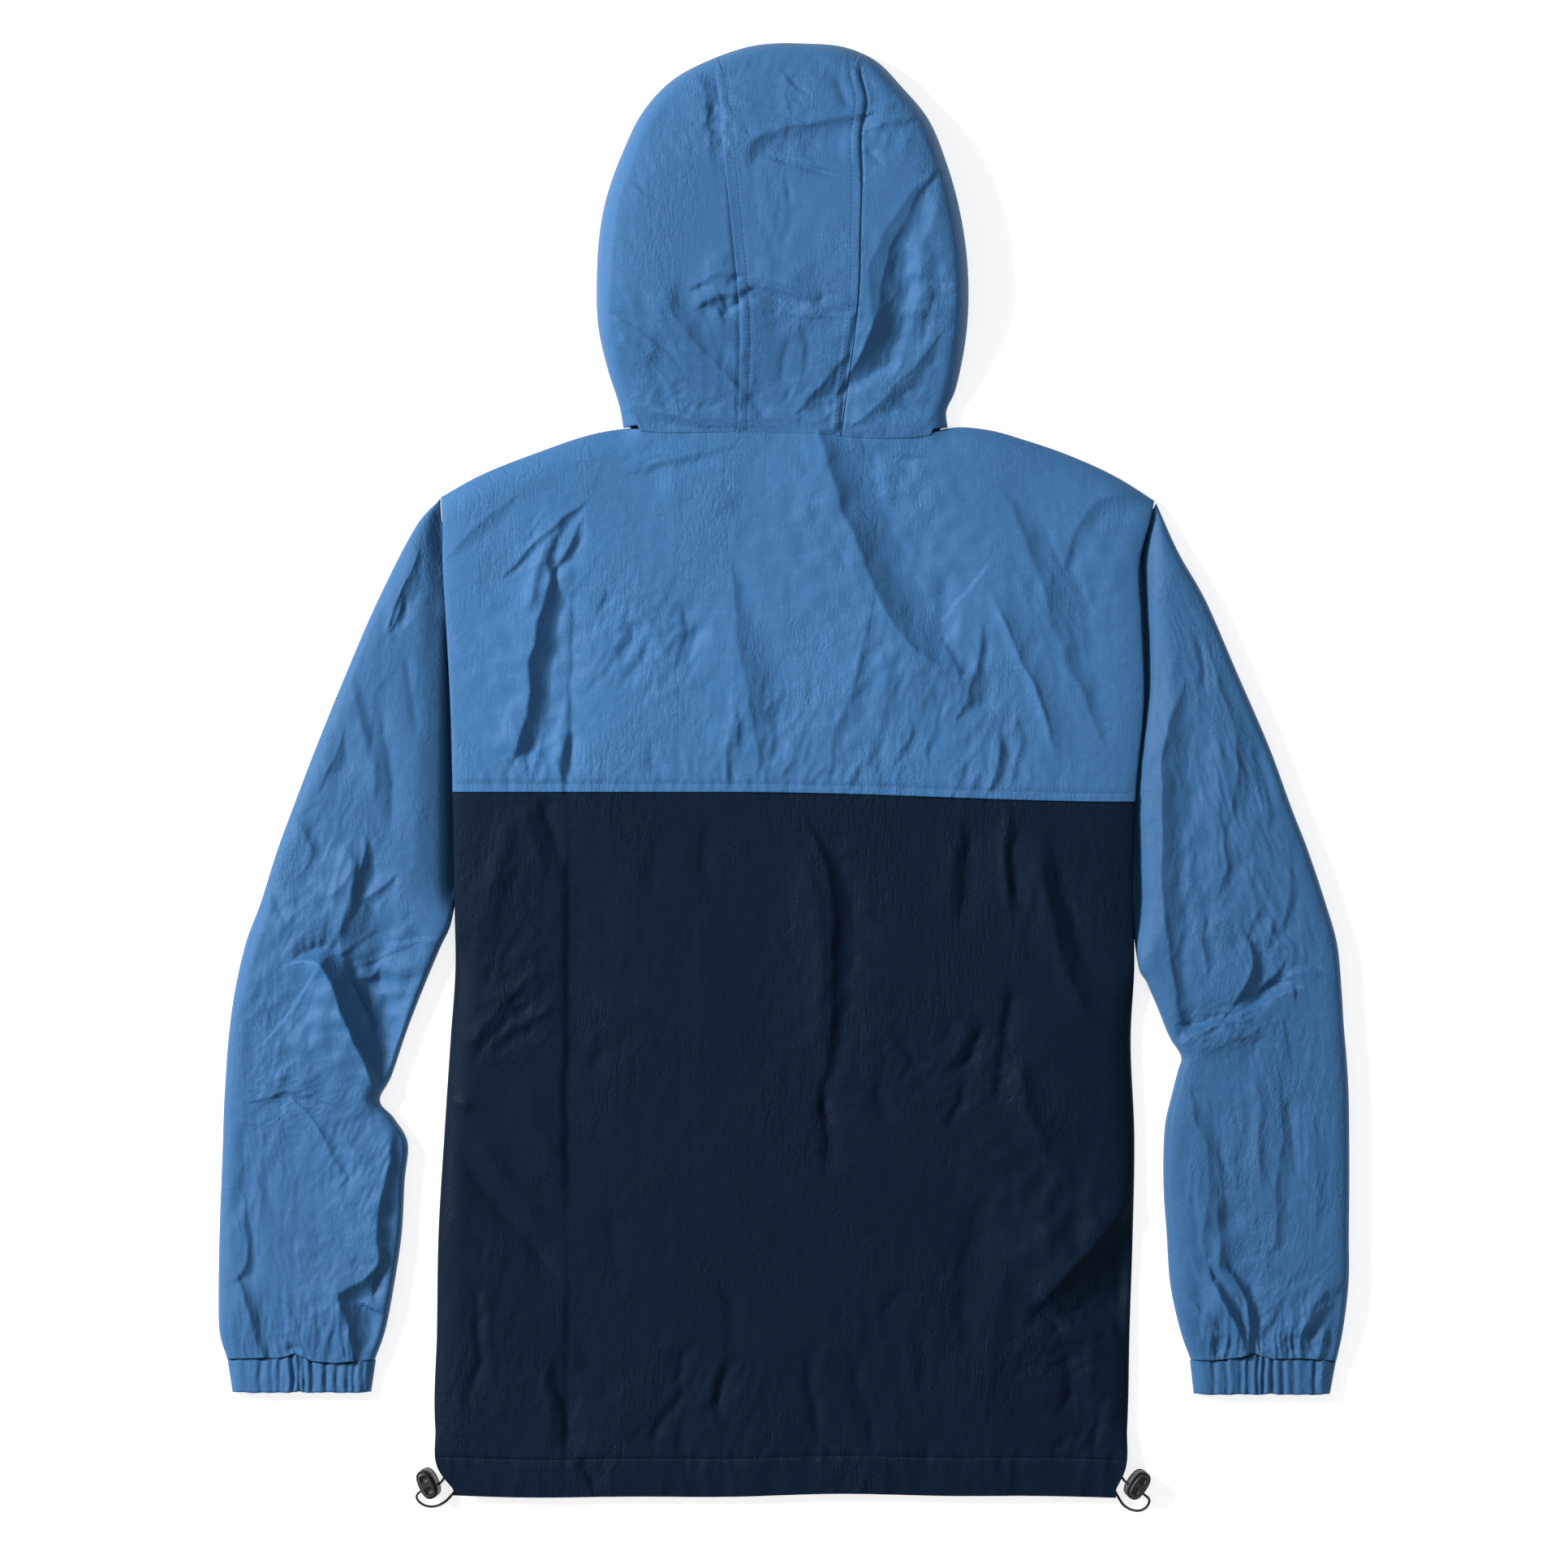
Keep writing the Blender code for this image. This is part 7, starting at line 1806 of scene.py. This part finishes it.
def thread(name, colour):
    """Twisted sewing thread."""
    finish = Finish(name, colour, 0.55, Specular_IOR_Level=0.3, Sheen_Weight=0.2, Sheen_Roughness=0.4)
    strands = finish.grain(finish.stretched((2600.0, 2600.0, 2600.0)), 2.0, 0.6)
    finish.feed("Base Color", finish.blended(strands, tinted(colour, 0.82), tinted(colour, 1.2)))
    finish.feed("Roughness", strands * 0.3 + 0.42)
    finish.feed("Normal", finish.relief(strands, 0.08 * MM, 0.6))
    return finish.material


def moulded_plastic(name, colour):
    """Black plastic with a fine spark-eroded grain and a cloudy unevenness of tone."""
    finish = Finish(name, colour, 0.4, Specular_IOR_Level=0.45)
    grain = finish.grain(finish.stretched((3200.0, 3200.0, 3200.0)), 2.0, 0.7)
    cloud = finish.grain(finish.stretched((240.0, 240.0, 240.0)), 3.0, 0.6)
    finish.feed("Base Color", finish.blended(cloud, tinted(colour, 0.8), tinted(colour, 1.5, 0.002)))
    finish.feed("Roughness", (grain - 0.5) * 0.25 + (cloud - 0.5) * 0.3 + 0.42)
    finish.feed("Normal", finish.relief(grain, 0.05 * MM, 0.5))
    return finish.material


def braided_elastic(name, colour):
    """Braided cover of an elastic cord."""
    finish = Finish(name, colour, 0.75, Specular_IOR_Level=0.25, Sheen_Weight=0.25, Sheen_Roughness=0.4)
    fibre = finish.grain(finish.stretched((2100.0, 2100.0, 2100.0)), 3.0, 0.65)
    fleck = finish.grain(finish.stretched((900.0, 900.0, 900.0)), 1.0, 0.5)
    finish.feed("Base Color", finish.blended(fleck, tinted(colour, 0.7), tinted(colour, 1.9, 0.004)))
    finish.feed("Roughness", fibre * 0.3 + 0.6)
    finish.feed("Normal", finish.relief(fibre, 0.1 * MM, 0.7))
    return finish.material


def pale_floor(name, colour):
    """Smooth pale board, lit a little from below."""
    finish = Finish(name, colour, 0.9, Specular_IOR_Level=0.1, Emission_Strength=0.8)
    finish.shader.inputs["Emission Color"].default_value = tinted(colour, 1.0)
    cloud = finish.grain(finish.stretched((6.0, 6.0, 6.0)), 2.0, 0.5)
    finish.feed("Base Color", finish.blended(cloud, tinted(colour, 0.445), tinted(colour, 0.45)))
    finish.feed("Roughness", cloud * 0.1 + 0.85)
    finish.feed("Normal", finish.relief(cloud, 0.02 * MM, 0.2))
    return finish.material


FINISHES = {}


def finish_of(name):
    """The named finish, made from the colours that the user has set."""
    colours = bpy.context.scene.anorak_colours
    blue, navy = tuple(colours.yoke), tuple(colours.body)
    # The hood and the sleeves are the same nylon as the yoke; their darker copies of its blue are painted shade.
    left, right = tinted(blue, 0.86)[:3], tinted(blue, 0.88)[:3]
    makers = {
        "blue nylon": lambda: nylon("blue crinkle nylon", blue),
        "hood nylon": lambda: nylon("blue crinkle nylon, hood", tinted(blue, 0.93)[:3]),
        "left sleeve nylon": lambda: nylon("blue crinkle nylon, left sleeve", left, math.radians(-12)),
        "right sleeve nylon": lambda: nylon("blue crinkle nylon, right sleeve", right, math.radians(12)),
        "navy nylon": lambda: nylon("navy crinkle nylon", navy, specular=0.05, sheen=0.0),
        # The blue thread is darker than the cloth: partly the thread's own colour, partly painted shade of the
        # needle holes along its stitches.
        "blue thread": lambda: thread("blue thread", tinted(blue, 0.55)[:3]),
        "navy thread": lambda: thread("navy thread", tinted(navy, 1.0)[:3]),
        "black plastic": lambda: moulded_plastic("black moulded plastic", tuple(colours.hardware)),
        "elastic": lambda: braided_elastic("black braided elastic", tuple(colours.elastic)),
        "floor": lambda: pale_floor("pale floor", tuple(colours.floor)),
    }
    if name not in FINISHES:
        FINISHES[name] = makers[name]()
    return FINISHES[name]


# --- pieces and the operators that make them ------------------------------------------
def anorak_collection():
    name = "Anorak"
    if name not in bpy.data.collections:
        bpy.context.scene.collection.children.link(bpy.data.collections.new(name))
    return bpy.data.collections[name]


# Flat cut of each piece's cloth: width, length and area (m, m2).
CUTS = {cut.node: cut for cut in table("node width length area", [
    ("back_yoke", 0.56, 0.29, 0.127), ("back_body", 0.53, 0.50, 0.260),
    ("front_yoke", 0.49, 0.25, 0.102), ("front_body", 0.475, 0.49, 0.213),
    ("sleeve_left", 0.31, 0.62, 0.133), ("sleeve_right", 0.31, 0.62, 0.132),
    ("cuff_left", 0.215, 0.025, 0.0053), ("cuff_right", 0.215, 0.025, 0.0053),
    ("hood_left", 0.19, 0.33, 0.0425), ("hood_right", 0.19, 0.33, 0.0385),
    ("hood_centre", 0.105, 0.34, 0.031),
])}
SEAM_LINES = {}
CAMERA_Y = -9.52 * MM
FLOOR_HALF = 8.0
LAMP_PLACE, LAMP_AIM = (-2.75, 0.95, 2.0), (0, -0.02, 0)


class ANORAK_OT_camera(bpy.types.Operator):
    """Put the camera straight above the garment"""

    bl_idname = "anorak.camera"
    bl_label = "Camera"

    def execute(self, context):
        data = bpy.data.cameras.new("camera")
        data.lens = 200
        data.sensor_width = 36
        data.clip_end = 50
        camera = bpy.data.objects.new("camera", data)
        camera.location = (0, CAMERA_Y, context.scene.anorak_light.camera_height)
        context.scene.collection.objects.link(camera)
        context.scene.camera = camera
        return {"FINISHED"}


class ANORAK_OT_cords(bpy.types.Operator):
    """Lay the elastic cord loops at the hem's corners"""

    bl_idname = "anorak.cords"
    bl_label = "Hem cords"

    def execute(self, context):
        for place in LOCKS:
            build_cord(place)
        return {"FINISHED"}


class ANORAK_OT_back(bpy.types.Operator):
    """Lay the back yoke and the lower back"""

    bl_idname = "anorak.back"
    bl_label = "Back"

    def execute(self, context):
        SEAM_LINES["yoke"] = build_back_yoke(context.scene.anorak_sizes)
        SEAM_LINES["hem"] = build_back_body(context.scene.anorak_sizes)
        return {"FINISHED"}


class ANORAK_OT_front(bpy.types.Operator):
    """Lay the front pieces under the back"""

    bl_idname = "anorak.front"
    bl_label = "Front"

    def execute(self, context):
        build_front_yoke(context.scene.anorak_sizes)
        build_front_body(context.scene.anorak_sizes)
        return {"FINISHED"}


class ANORAK_OT_sleeves(bpy.types.Operator):
    """Lay both sleeves"""

    bl_idname = "anorak.sleeves"
    bl_label = "Sleeves"

    def execute(self, context):
        for side in (LEFT, RIGHT):
            build_sleeve(side, context.scene.anorak_sizes)
        return {"FINISHED"}


class ANORAK_OT_cuffs(bpy.types.Operator):
    """Gather the elastic cuffs"""

    bl_idname = "anorak.cuffs"
    bl_label = "Cuffs"

    def execute(self, context):
        for shape in CUFFS:
            build_cuff(shape)
        return {"FINISHED"}


class ANORAK_OT_hood(bpy.types.Operator):
    """Lay the three hood panels"""

    bl_idname = "anorak.hood"
    bl_label = "Hood"

    def execute(self, context):
        for side in (LEFT, RIGHT):
            build_hood_side(side, context.scene.anorak_sizes)
        SEAM_LINES["hood"] = build_hood_centre(context.scene.anorak_sizes)
        return {"FINISHED"}


class ANORAK_OT_locks(bpy.types.Operator):
    """Stand the two cord locks at the hem"""

    bl_idname = "anorak.locks"
    bl_label = "Cord locks"

    def execute(self, context):
        for place in LOCKS:
            for obj, body, word in (
                    (build_barrel(place), "garment", "barrel"),
                    (build_plunger(place), f"plunger_{place.name}", "plunger")):
                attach(obj, body)
                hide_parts(f"cord_lock_{place.name}_{word}")
        return {"FINISHED"}


class ANORAK_OT_stitching(bpy.types.Operator):
    """Topstitch the yoke, the hood and the hem"""

    bl_idname = "anorak.stitching"
    bl_label = "Topstitching"

    def execute(self, context):
        for name, lines, colour in (
                ("yoke", [SEAM_LINES["yoke"]], "blue"), ("hood", SEAM_LINES["hood"], "blue"),
                ("hem", [SEAM_LINES["hem"]], "navy")):
            vertices, faces = stitches_along(lines, context.scene.anorak_sizes)
            obj = mesh_piece(f"{name}_topstitch", vertices, faces, finish_of(f"{colour} thread"))
            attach(obj, "garment")
        return {"FINISHED"}


class ANORAK_OT_stage(bpy.types.Operator):
    """Lay the floor and light it softly"""

    bl_idname = "anorak.stage"
    bl_label = "Floor and light"

    def execute(self, context):
        settings = context.scene.anorak_light
        corners = [(x * FLOOR_HALF, y * FLOOR_HALF, 0) for x, y in ((-1, -1), (1, -1), (1, 1), (-1, 1))]
        floor = mesh_piece("floor", corners, [(0, 1, 2, 3)], finish_of("floor"),
                           context.scene.collection, smooth=False)
        light = bpy.data.lights.new("main light", "AREA")
        light.shape = "DISK"
        light.size = 1.0
        light.energy = settings.key
        lamp = bpy.data.objects.new("main light", light)
        lamp.location = LAMP_PLACE
        aim = Vector(LAMP_AIM) - lamp.location
        lamp.rotation_euler = aim.to_track_quat("-Z", "Y").to_euler()
        context.scene.collection.objects.link(lamp)
        world = bpy.data.worlds.new("surroundings")
        world.use_nodes = True
        surroundings = world.node_tree.nodes["Background"]
        surroundings.inputs["Color"].default_value = (1.0, 1.0, 1.0, 1.0)
        surroundings.inputs["Strength"].default_value = settings.surroundings
        context.scene.world = world
        context.scene.view_settings.view_transform = "Standard"
        return {"FINISHED"}


STEPS = [
    ANORAK_OT_camera,
    ANORAK_OT_cords,
    ANORAK_OT_back,
    ANORAK_OT_front,
    ANORAK_OT_sleeves,
    ANORAK_OT_cuffs,
    ANORAK_OT_hood,
    ANORAK_OT_locks,
    ANORAK_OT_stitching,
    ANORAK_OT_stage,
]


class ANORAK_PT_panel(bpy.types.Panel):
    """Sizes, colours and steps of the anorak"""

    bl_label = "Anorak pullover"
    bl_idname = "ANORAK_PT_panel"
    bl_space_type = "VIEW_3D"
    bl_region_type = "UI"
    bl_category = "Anorak"

    def draw(self, context):
        for group in (context.scene.anorak_sizes, context.scene.anorak_colours, context.scene.anorak_light):
            box = self.layout.box()
            for name in group.__annotations__:
                box.prop(group, name)
        for step in STEPS:
            self.layout.operator(step.bl_idname)


GROUPS = {"anorak_sizes": AnorakSizes, "anorak_colours": AnorakColours, "anorak_light": AnorakLight}


def register():
    for group in GROUPS.values():
        bpy.utils.register_class(group)
    for step in STEPS:
        bpy.utils.register_class(step)
    bpy.utils.register_class(ANORAK_PT_panel)
    for name, group in GROUPS.items():
        setattr(bpy.types.Scene, name, PointerProperty(type=group))


def unregister():
    for name in GROUPS:
        delattr(bpy.types.Scene, name)
    bpy.utils.unregister_class(ANORAK_PT_panel)
    for step in reversed(STEPS):
        bpy.utils.unregister_class(step)
    for group in reversed(list(GROUPS.values())):
        bpy.utils.unregister_class(group)


def main():
    register()
    for step in STEPS:
        area, name = step.bl_idname.split(".")
        getattr(getattr(bpy.ops, area), name)()


if __name__ == "__main__":
    main()
